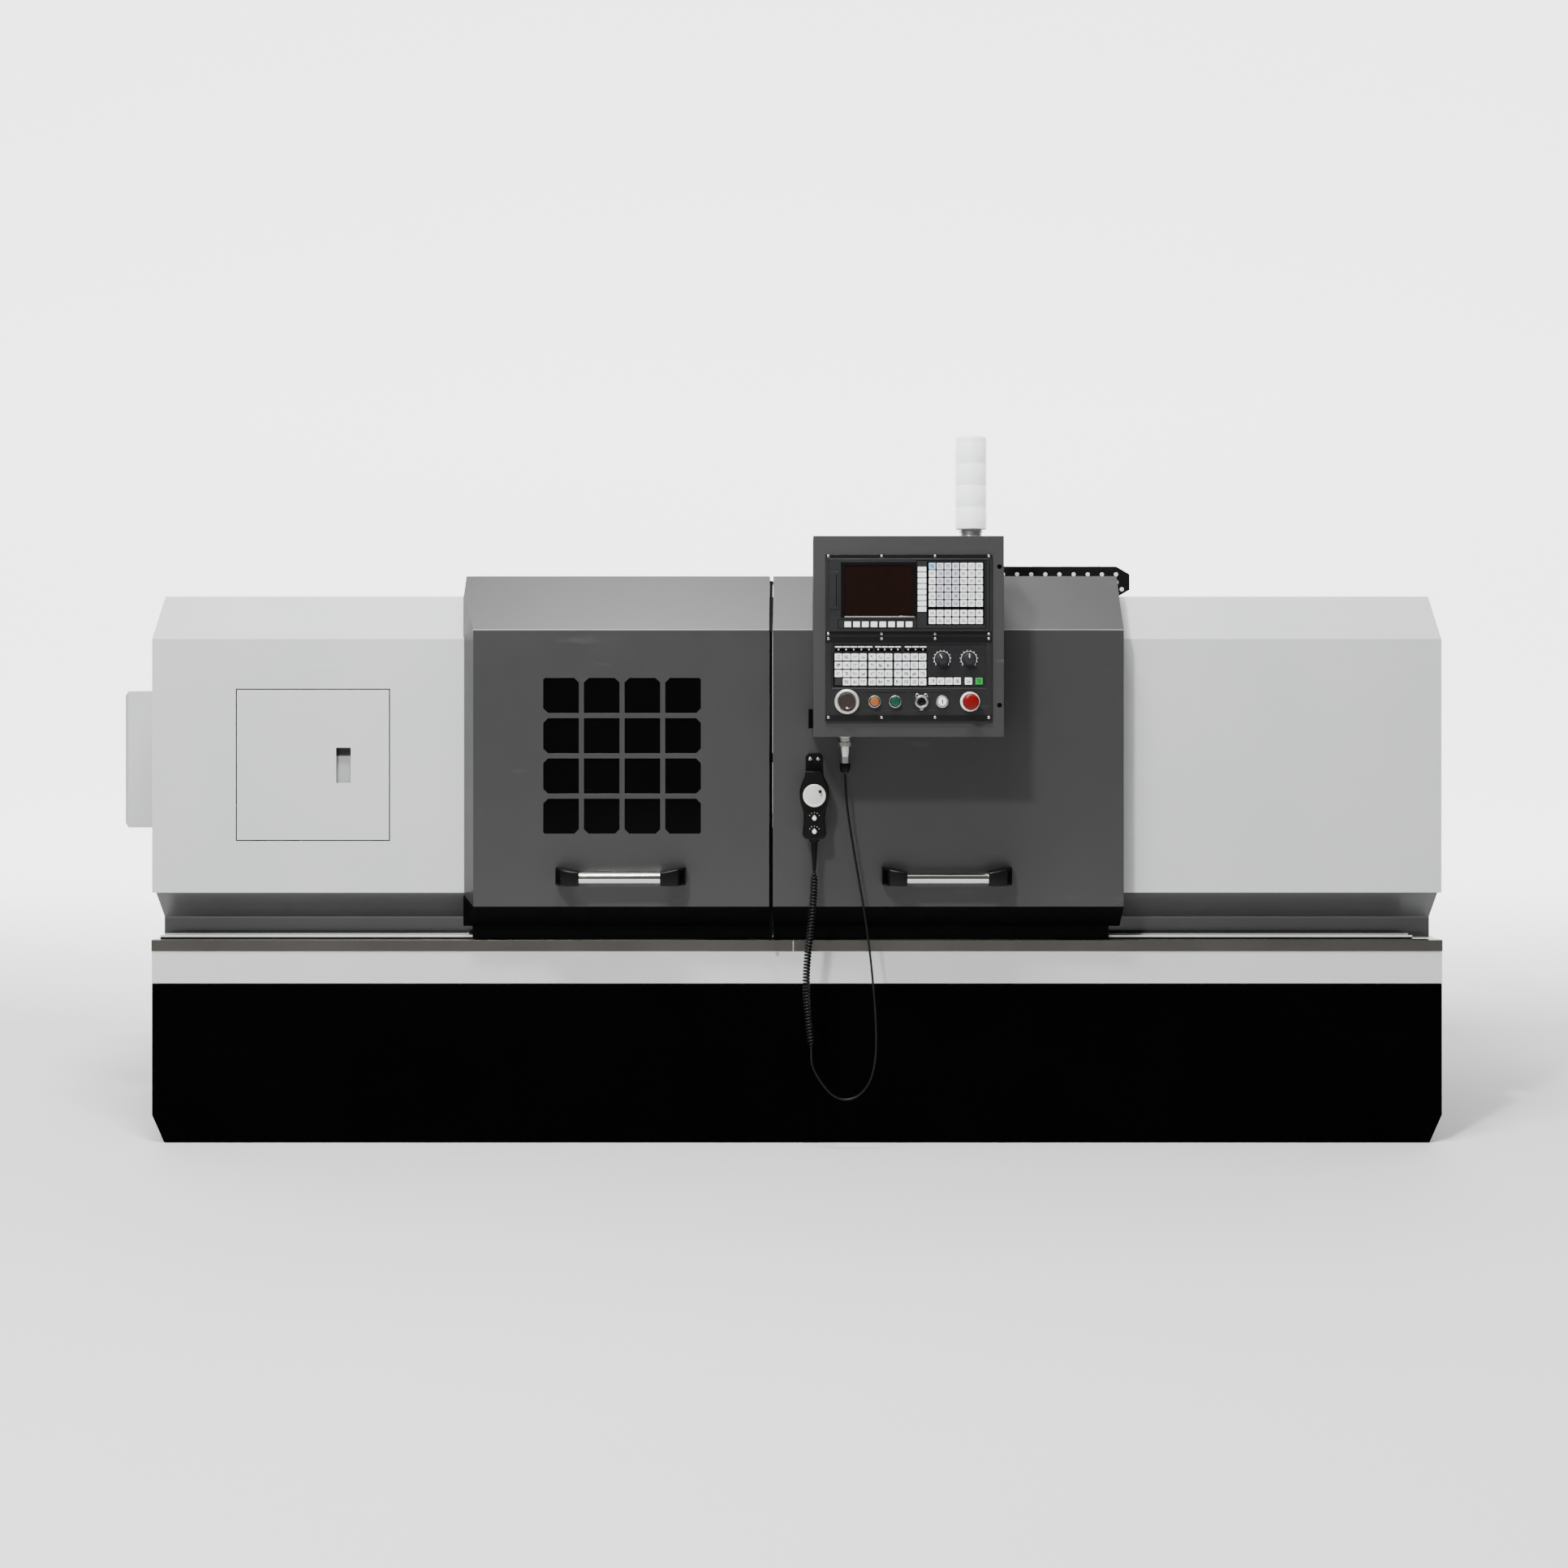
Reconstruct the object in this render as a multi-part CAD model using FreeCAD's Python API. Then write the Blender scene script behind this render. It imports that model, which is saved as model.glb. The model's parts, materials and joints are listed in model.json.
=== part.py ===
import FreeCAD, Part
import math
import os

from FreeCAD import Placement, Rotation, Vector

# CNC turning lathe with a flat bed, two sliding doors and a box of controls on the right door.
# Millimetres. Origin: middle of the plinth's underside. +X to the right, -Y to the operator, +Z up.

# ---------------------------------------------------------------- driving dimensions
# base and tray
BASE_LENGTH = 3340.0
BASE_DEPTH = 1400.0
PLINTH_HEIGHT = 412.0
PLINTH_WALL = 14.0
PLINTH_BEAM = 160.0
PLINTH_CORNER = (32.0, 72.0)
TRAY_HEIGHT = 110.5
TRAY_RIM = 80.0
TRAY_SHEET = 4.0
LIP_SHEET = 2.5
LIP_DROP = 29.0
LIP_RETURN = 22.0
LIP_JOINT_X = -10.0
LIP_JOINT_GAP = 3.0

# fixed housings, side view
HOUSING_INSET = 10.0
HOUSING_FOOT_RISE = 123.5
HOUSING_SLOPE_DROP = 114.0
HOUSING_ROOF_RISE = 895.5
HOUSING_SLOPE_DEPTH = 110.0
HOUSING_REAR_INSET = 60.0
HOUSING_SHEET = 3.0
HOUSING_FLANGE = 24.0
HOUSING_OVERHANGS = (2.0, 1.0)
HOUSING_INNER_ENDS = (-800.0, 760.0)
SKIRT_SET_BACK = 70.0
SKIRT_END_INSET = 10.0

# sliding doors, side view
DOOR_OVERHANG = 60.0
DOOR_FOOT_RISE = 5.5
DOOR_BEVEL_RISE = (37.5, 95.5)
DOOR_BEND_GAP = 22.0
DOOR_ROOF_GAP = 51.0
DOOR_SLOPE_DEPTH = 120.0
DOOR_ROOF_DEPTH = 100.0
DOOR_SHEET = 3.0
DOOR_CLEARANCE = 5.0
DOOR_CHAMFER = 37.0
LEFT_DOOR = (-865.0, -71.0)
RIGHT_DOOR = (-62.0, 836.0)
DOOR_FOOT_INSET = 28.0

# window
WINDOW_CENTRE_X = -447.5
WINDOW_CENTRE_RISE = 481.0
WINDOW_CELLS = 4
WINDOW_CELL = (91.0, 90.0)
WINDOW_BAR = 13.0
WINDOW_CHAMFER = 12.0
PANE_THICKNESS = 6.0
PANE_MARGIN = 24.0

# door handles
HANDLE_CENTRES = (-449.0, 382.0)
HANDLE_RISE = 172.5
HANDLE_TUBE_D = 30.0
HANDLE_TUBE_LENGTH = 210.0
HANDLE_LENGTH = 330.0
HANDLE_STAND_OFF = 47.0
HANDLE_BRACKET_HEIGHT = 33.0

# door guides
RAIL_INSET = 45.0
RAIL_WIDTH = 40.0
RAIL_HEIGHT = 11.5
RAIL_SHEET = 3.0
RAIL_END_INSETS = (15.0, 70.0)
CHANNEL_INSET = 168.0
CHANNEL_WIDTH = 40.0
CHANNEL_DEPTH = 36.0
CHANNEL_SHEET = 4.0
SHOE_LENGTH = 90.0
SHOE_CLEARANCE = 0.3

# service door in the left housing
HATCH_FROM_END = (220.0, 614.0)
HATCH_RISE = (260.5, 649.5)
HATCH_GAP = 3.0
HATCH_RETURN = 20.0
HATCH_PIVOT_INSET = 6.0
HATCH_PIN_D = 6.0
PULL_FROM_END = (477.0, 515.0)
PULL_RISE = (407.5, 499.5)
PULL_DEPTH = 18.0

# gear end cover
COVER_LENGTH = 203.0
COVER_Y = (-300.0, 150.0)
COVER_RISE = (262.5, 642.5)
COVER_CHAMFER = 12.0

# electrical cabinet on the rear wall
CABINET_LEFT_X = 840.0
CABINET_END_INSET = 130.0
CABINET_RISE = (97.5, 817.5)
CABINET_DEPTH = 240.0
CABINET_LIP = 25.0
CABINET_DOOR_DEPTH = 20.0
KNUCKLE_RADIUS = 7.4
HINGE_PIN_D = 8.0
PIN_SIDES = 12

# bed and ways
BED_END_INSETS = (270.0, 170.0)
BED_CENTRE_Y = -60.0
BED_WIDTH = 400.0
BED_WALL = 60.0
WAY_RISE = 222.5
VEE_HEIGHT = 12.0
SLIDE_CLEARANCE = 0.1

# headstock, spindle and chuck
SPINDLE_RISE = 477.5
HEADSTOCK_NOSE_X = -812.0
HEADSTOCK_WIDTH = 500.0
HEADSTOCK_RISE = 702.5
SPINDLE_BORE_D = 82.0
FRONT_JOURNAL_D = 130.0
REAR_JOURNAL_D = 110.0
BEARING_HOUSING = 190.0
BEARING_WIDTH = 45.0
RUNNING_CLEARANCE = 0.05
SPINDLE_OVERHANG = 93.0
SPINDLE_FACE_X = -740.0
NOSE_D = 180.0
NOSE_WIDTH = 40.0
CHUCK_D = 250.0
CHUCK_WIDTH = 95.0
JAW_WIDTH = 36.0
JAW_NECK = 18.0

# belt drive
PULLEY_FROM_END = (32.0, 80.0)
SPINDLE_PULLEY_D = 230.0
MOTOR_PULLEY_D = 170.0
PULLEY_SIDES = 36
SHAFT_SIDES = 16
BELT_THICKNESS = 9.0
BELT_ARC_STEPS = 12
BELT_WIDTH = 36.0
MOTOR_Y = 395.0
MOTOR_RISE = 117.5
MOTOR_SIZE = 250.0
MOTOR_FROM_END = (112.0, 482.0)
MOTOR_SHAFT_D = 48.0

# carriage, cross slide and turret
CARRIAGE_X = (-160.0, 260.0)
SADDLE_HEIGHT = 50.0
SADDLE_FRONT_Y = -430.0
SCREW_Y = -305.0
SCREW_RISE = 117.5
SCREW_D = 40.0
NUT_D = 66.0
APRON_X = (-90.0, 190.0)
CROSS_WIDTH = 200.0
CROSS_HEIGHT = 48.0
CROSS_ENDS = (-540.0, 40.0)
CROSS_SCREW_D = 20.0
TURRET_Y = -330.0
TURRET_SIDE = 150.0
TURRET_HEIGHT = 120.0
TOOL_SHANK = 25.0
TOOL_REACH = 42.0
TURRET_STATIONS = 4

# tailstock
TAILSTOCK_X = (880.0, 1150.0)
QUILL_D = 80.0
QUILL_NOSE = 40.0
CENTRE_D = 38.0
TAIL_WHEEL_D = 190.0

# operator box and its panels
BOX_X = (40.0, 511.0)
BOX_RISE = (535.5, 1031.5)
BOX_OVERHANG = 240.0
BOX_SHEET = 2.5
BOX_SPACER = 12.0
PANEL_X = (70.0, 481.0)
UNIT_RISE = (785.5, 985.5)
PANEL_RISE = (573.5, 785.5)
PANEL_THICKNESS = 6.0
PANEL_EDGE = 6.0
UNIT_BODY_DEPTH = 90.0
SCREEN_X = (114.0, 287.0)
SCREEN_RISE = (831.5, 961.5)
SCREEN_DEPTH = 4.0
KEY_HEIGHT = 2.0
RECESS_X = (85.0, 466.0)
RECESS_RISE = (655.5, 765.5)
RECESS_DEPTH = 2.5
CONTROL_RISE = 622.5
PULSE_WHEEL_X = 123.0
START_X = 191.0
STOP_X = 242.0
PORT_X = 307.0
KEY_SWITCH_X = 358.0
ESTOP_X = 426.0
OVERRIDE_RISE = 727.5
OVERRIDE_X = (358.0, 424.0)
STEM_D = 10.0
STEM_CLEARANCE = 0.1
STEM_LENGTH = 14.0
BUTTON_D = 22.0
BUTTON_TRAVEL = 4.0
BEZEL_D = 30.0
BEZEL_HEIGHT = 4.0
WHEEL_RING_D = 61.0
WHEEL_RING_HEIGHT = 5.0
ESTOP_COLLAR_D = 47.5
ESTOP_COLLAR_HEIGHT = 8.0
ESTOP_CAP_D = 40.0
PULSE_WHEEL_D = 42.0
LOCK_BARREL_D = 20.0
SMALL_SIDES = 20
DIAL_SIDES = 28
ESTOP_TRAVEL = 6.0

# signal tower
TOWER_X = 437.0
TOWER_OVERHANG = 150.0
TOWER_D = 78.0
TOWER_TOP_RISE = 1286.5
TOWER_FOOT_D = 60.0
TOWER_FOOT_HEIGHT = 22.0

# pendant, its hook and its cord
PENDANT_X = 44.0
PENDANT_OVERHANG = 105.0
PENDANT_DIAL_RISE = 383.5
PENDANT_DIAL_D = 58.0
PENDANT_THICKNESS = 34.0
SELECTOR_RISE = (326.5, 292.5)
HOOK_TOP_RISE = 487.5
CONNECTOR_X = 122.0
CONNECTOR_SIDES = 14
CORD_D = 5.6
CORD_SIDES = 5
CURL_SIDES = 4
COIL_OUTER_D = 20.0
COIL_TURNS = 14
COIL_LEAD_TURNS = 1.5
COIL_SWAY = 15.0
RELIEF_TOP_RISE = 272.5
RELIEF_LENGTH = 80.0
CORD_STRAIGHT_RISE = [
    (122.0, 438.5), (123.0, 398.5), (129.0, 338.5), (141.0, 260.5), (155.0, 178.5), (169.5, 97.5),
    (181.0, 17.5), (190.0, -62.5), (197.0, -140.5), (201.0, -216.5), (200.0, -284.5), (187.0, -342.5),
    (158.0, -379.5), (124.0, -391.5), (90.0, -379.5), (62.0, -346.5), (36.0, -302.5), (36.0, -260.5),
]

# cable chain on the roof
CHAIN_INSET = (204.0, 264.0)
CHAIN_PITCH = 38.0
CHAIN_LINK_HEIGHT = 34.0
CHAIN_BEND_RADIUS = 25.0
CHAIN_BEND_X = 858.0
CHAIN_UPPER_LINKS = 14
CHAIN_LOWER_LINKS = 3
CHAIN_PLATE = 8.0
CHAIN_BRIDGE = 4.0

# ---------------------------------------------------------------- sizes that follow
TRAY_TOP = PLINTH_HEIGHT + TRAY_HEIGHT
TRAY_FLOOR = PLINTH_HEIGHT + TRAY_SHEET
HALF_LENGTH = BASE_LENGTH / 2
HALF_DEPTH = BASE_DEPTH / 2


def above_tray(rises):
    """Heights over the floor of things measured from the tray's top."""
    return tuple(TRAY_TOP + rise for rise in rises)


HOUSING_FRONT_Y = HOUSING_INSET - HALF_DEPTH
HOUSING_REAR_Y = HALF_DEPTH - HOUSING_REAR_INSET
HOUSING_FOOT_Z = TRAY_TOP + HOUSING_FOOT_RISE
HOUSING_ROOF_Z = TRAY_TOP + HOUSING_ROOF_RISE
HOUSING_BEND_Z = HOUSING_ROOF_Z - HOUSING_SLOPE_DROP
HOUSING_LEFT = (-HALF_LENGTH - HOUSING_OVERHANGS[0], HOUSING_INNER_ENDS[0])
HOUSING_RIGHT = (HOUSING_INNER_ENDS[1], HALF_LENGTH + HOUSING_OVERHANGS[1])
DOOR_FRONT_Y = -HALF_DEPTH - DOOR_OVERHANG
DOOR_FOOT_Z = TRAY_TOP + DOOR_FOOT_RISE
DOOR_BEVEL_Z = above_tray(DOOR_BEVEL_RISE)
DOOR_BEND_Z = HOUSING_BEND_Z + DOOR_BEND_GAP
DOOR_ROOF_Z = HOUSING_ROOF_Z + DOOR_ROOF_GAP
WINDOW_CENTRE = (WINDOW_CENTRE_X, TRAY_TOP + WINDOW_CENTRE_RISE)
HANDLE_Z = TRAY_TOP + HANDLE_RISE
RAIL_Y = RAIL_INSET - HALF_DEPTH
RAIL_ENDS = (RAIL_END_INSETS[0] - HALF_LENGTH, HALF_LENGTH - RAIL_END_INSETS[1])
CHANNEL_Y = CHANNEL_INSET - HALF_DEPTH
HATCH = tuple(HOUSING_LEFT[0] + x for x in HATCH_FROM_END) + above_tray(HATCH_RISE)
PULL = tuple(HOUSING_LEFT[0] + x for x in PULL_FROM_END) + above_tray(PULL_RISE)
COVER = (HOUSING_LEFT[0] - COVER_LENGTH,) + COVER_Y + above_tray(COVER_RISE)
CABINET = (CABINET_LEFT_X, HALF_LENGTH - CABINET_END_INSET) + above_tray(CABINET_RISE)
BED = (BED_END_INSETS[0] - HALF_LENGTH, HALF_LENGTH - BED_END_INSETS[1])
WAY_Z = TRAY_TOP + WAY_RISE
SPINDLE_Z = TRAY_TOP + SPINDLE_RISE
HEADSTOCK = (BED[0], HEADSTOCK_NOSE_X)
HEADSTOCK_TOP = TRAY_TOP + HEADSTOCK_RISE
SPINDLE_ENDS = (HOUSING_LEFT[0] - SPINDLE_OVERHANG, SPINDLE_FACE_X)
PULLEY_X = tuple(HOUSING_LEFT[0] + x for x in PULLEY_FROM_END)
MOTOR_AXIS = (MOTOR_Y, TRAY_TOP + MOTOR_RISE)
MOTOR_X = tuple(HOUSING_LEFT[0] + x for x in MOTOR_FROM_END)
SCREW_Z = TRAY_TOP + SCREW_RISE
BOX_Z = above_tray(BOX_RISE)
BOX_FRONT_Y = -HALF_DEPTH - BOX_OVERHANG
UNIT_Z = above_tray(UNIT_RISE)
PANEL_Z = above_tray(PANEL_RISE)
SCREEN = SCREEN_X + above_tray(SCREEN_RISE)
RECESS = RECESS_X + above_tray(RECESS_RISE)
CONTROL_Z = TRAY_TOP + CONTROL_RISE
OVERRIDE_Z = TRAY_TOP + OVERRIDE_RISE
TOWER_Y = -HALF_DEPTH - TOWER_OVERHANG
TOWER_TOP_Z = TRAY_TOP + TOWER_TOP_RISE
PENDANT_Y = -HALF_DEPTH - PENDANT_OVERHANG
PENDANT_DIAL_Z = TRAY_TOP + PENDANT_DIAL_RISE
SELECTOR_Z = above_tray(SELECTOR_RISE)
HOOK_TOP_Z = TRAY_TOP + HOOK_TOP_RISE
RELIEF_TOP_Z = TRAY_TOP + RELIEF_TOP_RISE
CORD_Y = PENDANT_Y
CORD_STRAIGHT_XZ = [(x, TRAY_TOP + rise) for x, rise in CORD_STRAIGHT_RISE]
CHAIN_Y = tuple(y - HALF_DEPTH for y in CHAIN_INSET)
SPINDLE_Y = BED_CENTRE_Y
BED_FRONT_Y = BED_CENTRE_Y - BED_WIDTH / 2
BED_REAR_Y = BED_CENTRE_Y + BED_WIDTH / 2
SADDLE_Z = WAY_Z + SADDLE_HEIGHT
CROSS_Z = SADDLE_Z + CROSS_HEIGHT
CARRIAGE_CENTRE_X = sum(CARRIAGE_X) / 2
PANEL_FRONT_Y = BOX_FRONT_Y - PANEL_THICKNESS
ALONG_X = Vector(1, 0, 0)
ALONG_Y = Vector(0, 1, 0)
ALONG_Z = Vector(0, 0, 1)


# ---------------------------------------------------------------- helpers
def box(x0, x1, y0, y1, z0, z1):
    """Block between two corners."""
    return Part.makeBox(x1 - x0, y1 - y0, z1 - z0, Vector(x0, y0, z0))


def rod(start, axis, diameter, length):
    """Round bar from a start point."""
    return Part.makeCylinder(diameter / 2, length, Vector(*start), axis)


def face_of(points):
    """Flat face inside a closed outline."""
    return Part.Face(Part.makePolygon([Vector(*p) for p in points] + [Vector(*points[0])]))


def prism_x(outline, x0, x1):
    """Outline in (y, z), carried from x0 to x1."""
    return face_of([(x0, y, z) for y, z in outline]).extrude(Vector(x1 - x0, 0, 0))


def prism_y(outline, y0, y1):
    """Outline in (x, z), carried from y0 to y1."""
    return face_of([(x, y0, z) for x, z in outline]).extrude(Vector(0, y1 - y0, 0))


def prism_z(outline, z0, z1):
    """Outline in (x, y), carried from z0 to z1."""
    return face_of([(x, y, z0) for x, y in outline]).extrude(Vector(0, 0, z1 - z0))


def turned(profile, start, axis):
    """Lathe-turned solid: profile in (distance along the axis, radius)."""
    face = face_of([(r, 0, t) for t, r in profile])
    solid = face.revolve(Vector(0, 0, 0), ALONG_Z, 360)
    solid.Placement = Placement(Vector(*start), Rotation(ALONG_Z, axis))
    return solid


def polygon(sides, radius, turn=0.0):
    """Corners of a regular outline round the origin."""
    step = 2 * math.pi / sides
    return [(radius * math.cos(turn + i * step), radius * math.sin(turn + i * step)) for i in range(sides)]


def turned_facets(profile, start, axis, sides):
    """Small turned piece with flat facets: profile in (distance along the axis, radius), both above zero."""
    rings = [[Vector(x, y, distance) for x, y in polygon(sides, radius)] for distance, radius in profile]
    faces = [face_of(list(reversed(rings[0]))), face_of(rings[-1])]
    for low, high in zip(rings, rings[1:]):
        faces += [face_of([low[i - 1], low[i], high[i], high[i - 1]]) for i in range(sides)]
    solid = Part.makeSolid(Part.makeShell(faces))
    solid.Placement = Placement(Vector(*start), Rotation(ALONG_Z, axis))
    return solid


def round_prism_y(x, z, diameter, y0, y1, sides):
    """Many-sided boss along Y."""
    return prism_y(moved_outline(polygon(sides, diameter / 2), x, z), y0, y1)


def pin_bore(x, y, z0, z1, diameter, sides):
    """Many-sided hole along Z whose flats touch a circle."""
    return prism_z(moved_outline(polygon(sides, diameter / 2 / math.cos(math.pi / sides)), x, y), z0, z1)


def moved_outline(outline, dx, dz):
    """Outline shifted in its own plane."""
    return [(x + dx, z + dz) for x, z in outline]


def inset(outline, distance):
    """Closed outline, counter-clockwise, with each side moved inwards; a negative distance moves it out."""
    count = len(outline)
    lines = []
    for i in range(count):
        (x0, y0), (x1, y1) = outline[i], outline[(i + 1) % count]
        length = math.hypot(x1 - x0, y1 - y0)
        nx, ny = -(y1 - y0) / length, (x1 - x0) / length
        lines.append((nx, ny, nx * x0 + ny * y0 + distance))
    result = []
    for i in range(count):
        (a, b, c), (d, e, f) = lines[i - 1], lines[i]
        det = a * e - b * d
        result.append(((c * e - b * f) / det, (a * f - c * d) / det))
    return result


def fused(shapes):
    """One solid from touching shapes."""
    return shapes[0].multiFuse(shapes[1:]).removeSplitter()


def cut(shape, tools):
    """Shape with each tool taken away."""
    return shape.cut(Part.makeCompound(tools))


def write(node, shapes):
    """Writes a node as one solid or a group of separate solids."""
    shape = shapes[0] if len(shapes) == 1 else Part.makeCompound(shapes)
    shape.exportStep(f"parts/{node}.step")


# ---------------------------------------------------------------- base, tray and rails
def plinth_outline(wall):
    """End chamfered front view of the plinth, set in by a wall."""
    run, rise = PLINTH_CORNER
    half = HALF_LENGTH
    full = [(-half + run, 0), (half - run, 0), (half, rise), (half, PLINTH_HEIGHT), (-half, PLINTH_HEIGHT), (-half, rise)]
    return inset(full, wall) if wall else full


def base_plinth():
    shell = prism_y(plinth_outline(0), -HALF_DEPTH, HALF_DEPTH)
    room = prism_y(plinth_outline(PLINTH_WALL), -HALF_DEPTH + PLINTH_WALL, HALF_DEPTH - PLINTH_WALL)
    foot = HALF_LENGTH - PLINTH_CORNER[0] - 4 * PLINTH_WALL
    reach = HALF_DEPTH - 4 * PLINTH_WALL
    half_beam = PLINTH_BEAM / 2
    mouths = [box(-foot, -half_beam, -reach, reach, -1, PLINTH_WALL + 1),
              box(half_beam, foot, -reach, reach, -1, PLINTH_WALL + 1)]
    return cut(shell, [room] + mouths)


def chip_tray():
    rim = TRAY_RIM
    sheet = TRAY_SHEET
    shell = box(-HALF_LENGTH, HALF_LENGTH, -HALF_DEPTH, HALF_DEPTH, PLINTH_HEIGHT, TRAY_TOP)
    trough = box(-HALF_LENGTH + rim, HALF_LENGTH - rim, -HALF_DEPTH + rim, HALF_DEPTH - rim, TRAY_FLOOR, TRAY_TOP + 1)
    under = box(-HALF_LENGTH + sheet, HALF_LENGTH - sheet, -HALF_DEPTH + sheet, HALF_DEPTH - sheet,
                PLINTH_HEIGHT - 1, TRAY_TOP - sheet)
    core = box(-HALF_LENGTH + rim - sheet, HALF_LENGTH - rim + sheet, -HALF_DEPTH + rim - sheet,
               HALF_DEPTH - rim + sheet, PLINTH_HEIGHT - 1, TRAY_TOP)
    return cut(shell, [trough, under.cut(core)])


def tray_lips():
    front = -HALF_DEPTH - LIP_SHEET
    top = TRAY_TOP + LIP_SHEET
    outline = [(front, top - LIP_DROP), (-HALF_DEPTH, top - LIP_DROP), (-HALF_DEPTH, TRAY_TOP),
               (-HALF_DEPTH + LIP_RETURN, TRAY_TOP), (-HALF_DEPTH + LIP_RETURN, top), (front, top)]
    half_gap = LIP_JOINT_GAP / 2
    return [prism_x(outline, -HALF_LENGTH, LIP_JOINT_X - half_gap),
            prism_x(outline, LIP_JOINT_X + half_gap, HALF_LENGTH)]


def channel(centre_y, width, z0, z1, sheet, x0, x1):
    """U-section rail, open upwards."""
    body = box(x0, x1, centre_y - width / 2, centre_y + width / 2, z0, z1)
    groove = box(x0 - 1, x1 + 1, centre_y - width / 2 + sheet, centre_y + width / 2 - sheet, z0 + sheet, z1 + 1)
    return body.cut(groove)


def door_rail():
    return channel(RAIL_Y, RAIL_WIDTH, TRAY_TOP, TRAY_TOP + RAIL_HEIGHT, RAIL_SHEET, *RAIL_ENDS)


def top_channel():
    return channel(CHANNEL_Y, CHANNEL_WIDTH, HOUSING_ROOF_Z - CHANNEL_DEPTH, HOUSING_ROOF_Z, CHANNEL_SHEET,
                   HOUSING_LEFT[0] + HOUSING_SHEET, HOUSING_RIGHT[1] - HOUSING_SHEET)


# ---------------------------------------------------------------- fixed housings
def housing_outline(foot_z):
    """Side view of a fixed housing, counter-clockwise seen from the right."""
    bend_y = HOUSING_FRONT_Y + HOUSING_SLOPE_DEPTH
    return [(HOUSING_FRONT_Y, foot_z), (HOUSING_REAR_Y, foot_z), (HOUSING_REAR_Y, HOUSING_ROOF_Z),
            (bend_y, HOUSING_ROOF_Z), (HOUSING_FRONT_Y, HOUSING_BEND_Z)]


def housing(x0, x1, open_left):
    """Bent sheet hood with an inward foot flange, open at its left end or closed at both."""
    sheet = HOUSING_SHEET
    flange = HOUSING_FLANGE
    shell = prism_x(housing_outline(HOUSING_FOOT_Z), x0, x1)
    inner_x0 = x0 - 1 if open_left else x0 + sheet
    room = prism_x(inset(housing_outline(HOUSING_FOOT_Z), sheet), inner_x0, x1 - sheet)
    mouth_x0 = x0 - 1 if open_left else x0 + flange
    mouth_x1 = x1 - flange
    mouth = box(mouth_x0, mouth_x1, HOUSING_FRONT_Y + flange, HOUSING_REAR_Y - flange,
                HOUSING_FOOT_Z - 1, HOUSING_FOOT_Z + sheet + 1)
    slot_ends = (x0 + sheet, x1 + 1) if x1 < 0 else (x0 - 1, x1 - sheet)
    slot = box(*slot_ends, CHANNEL_Y - CHANNEL_WIDTH / 2, CHANNEL_Y + CHANNEL_WIDTH / 2,
               HOUSING_ROOF_Z - CHANNEL_DEPTH, HOUSING_ROOF_Z + 1)
    return cut(shell, [room, mouth, slot])


def headstock_notch():
    """Room in the left housing's inner wall for the bed, the screw and the headstock's foot."""
    return box(HOUSING_LEFT[1] - 4 * HOUSING_FLANGE, HOUSING_LEFT[1] + 1, SADDLE_FRONT_Y, BED_REAR_Y + 10,
               TRAY_TOP - 1, WAY_Z + VEE_HEIGHT + 8)


def left_housing():
    x0, x1, z0, z1 = HATCH
    gap = HATCH_GAP
    front = HOUSING_FRONT_Y
    hatch = box(x0 - gap, x1 + gap, front - 1, front + HOUSING_SHEET + 1, z0 - gap, z1 + gap)
    nose = prism_x(moved_outline(polygon(24, NOSE_D / 2 + 12), SPINDLE_Y, SPINDLE_Z), HOUSING_LEFT[1] - 10,
                   HOUSING_LEFT[1] + 10)
    tail = prism_x(moved_outline(polygon(16, REAR_JOURNAL_D / 2 + 25), SPINDLE_Y, SPINDLE_Z), HOUSING_LEFT[0] - 1,
                   HOUSING_LEFT[0] + 10)
    body = cut(housing(*HOUSING_LEFT, False), [hatch, nose, tail, headstock_notch()])
    lugs = []
    pin_x = x0 + HATCH_PIVOT_INSET
    pin_y = front + HATCH_PIVOT_INSET
    for edge_z, side in ((z1 + gap, 1), (z0 - gap, -1)):
        lug_far = edge_z + side * 14
        low, high = sorted((edge_z, lug_far))
        lugs.append(box(pin_x - 10, pin_x + 10, front + HOUSING_SHEET, pin_y + 10, low, high))
        pin_low = min(edge_z - side * 10, edge_z + side)
        lugs.append(prism_z(moved_outline(polygon(PIN_SIDES, HATCH_PIN_D / 2), pin_x, pin_y), pin_low, pin_low + 11))
    return fused([body] + lugs)


def skirt(x0, x1, closed_left):
    """Set-back foot of a housing, with a bevel under the front edge."""
    front = HOUSING_FRONT_Y
    back = HOUSING_REAR_Y
    set_back = SKIRT_SET_BACK
    outline = [(front + set_back, TRAY_TOP), (back, TRAY_TOP), (back, HOUSING_FOOT_Z), (front, HOUSING_FOOT_Z),
               (front + set_back, HOUSING_FOOT_Z - set_back)]
    sheet = HOUSING_SHEET
    shell = prism_x(outline, x0, x1)
    open_outline = [(y, z - 3 * sheet if z == TRAY_TOP else z + 3 * sheet if z == HOUSING_FOOT_Z else z)
                    for y, z in outline]
    open_outline[3] = (front - 3 * sheet, HOUSING_FOOT_Z + 3 * sheet)
    inner_x0 = x0 + sheet if closed_left else x0 - 1
    inner_x1 = x1 + 1 if closed_left else x1 - sheet
    room = prism_x(inset(open_outline, sheet), inner_x0, inner_x1)
    return shell.cut(room)


def housing_skirts():
    return [skirt(HOUSING_LEFT[0] + SKIRT_END_INSET, HOUSING_LEFT[1], True),
            skirt(HOUSING_RIGHT[0], HOUSING_RIGHT[1] - SKIRT_END_INSET, False)]


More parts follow.
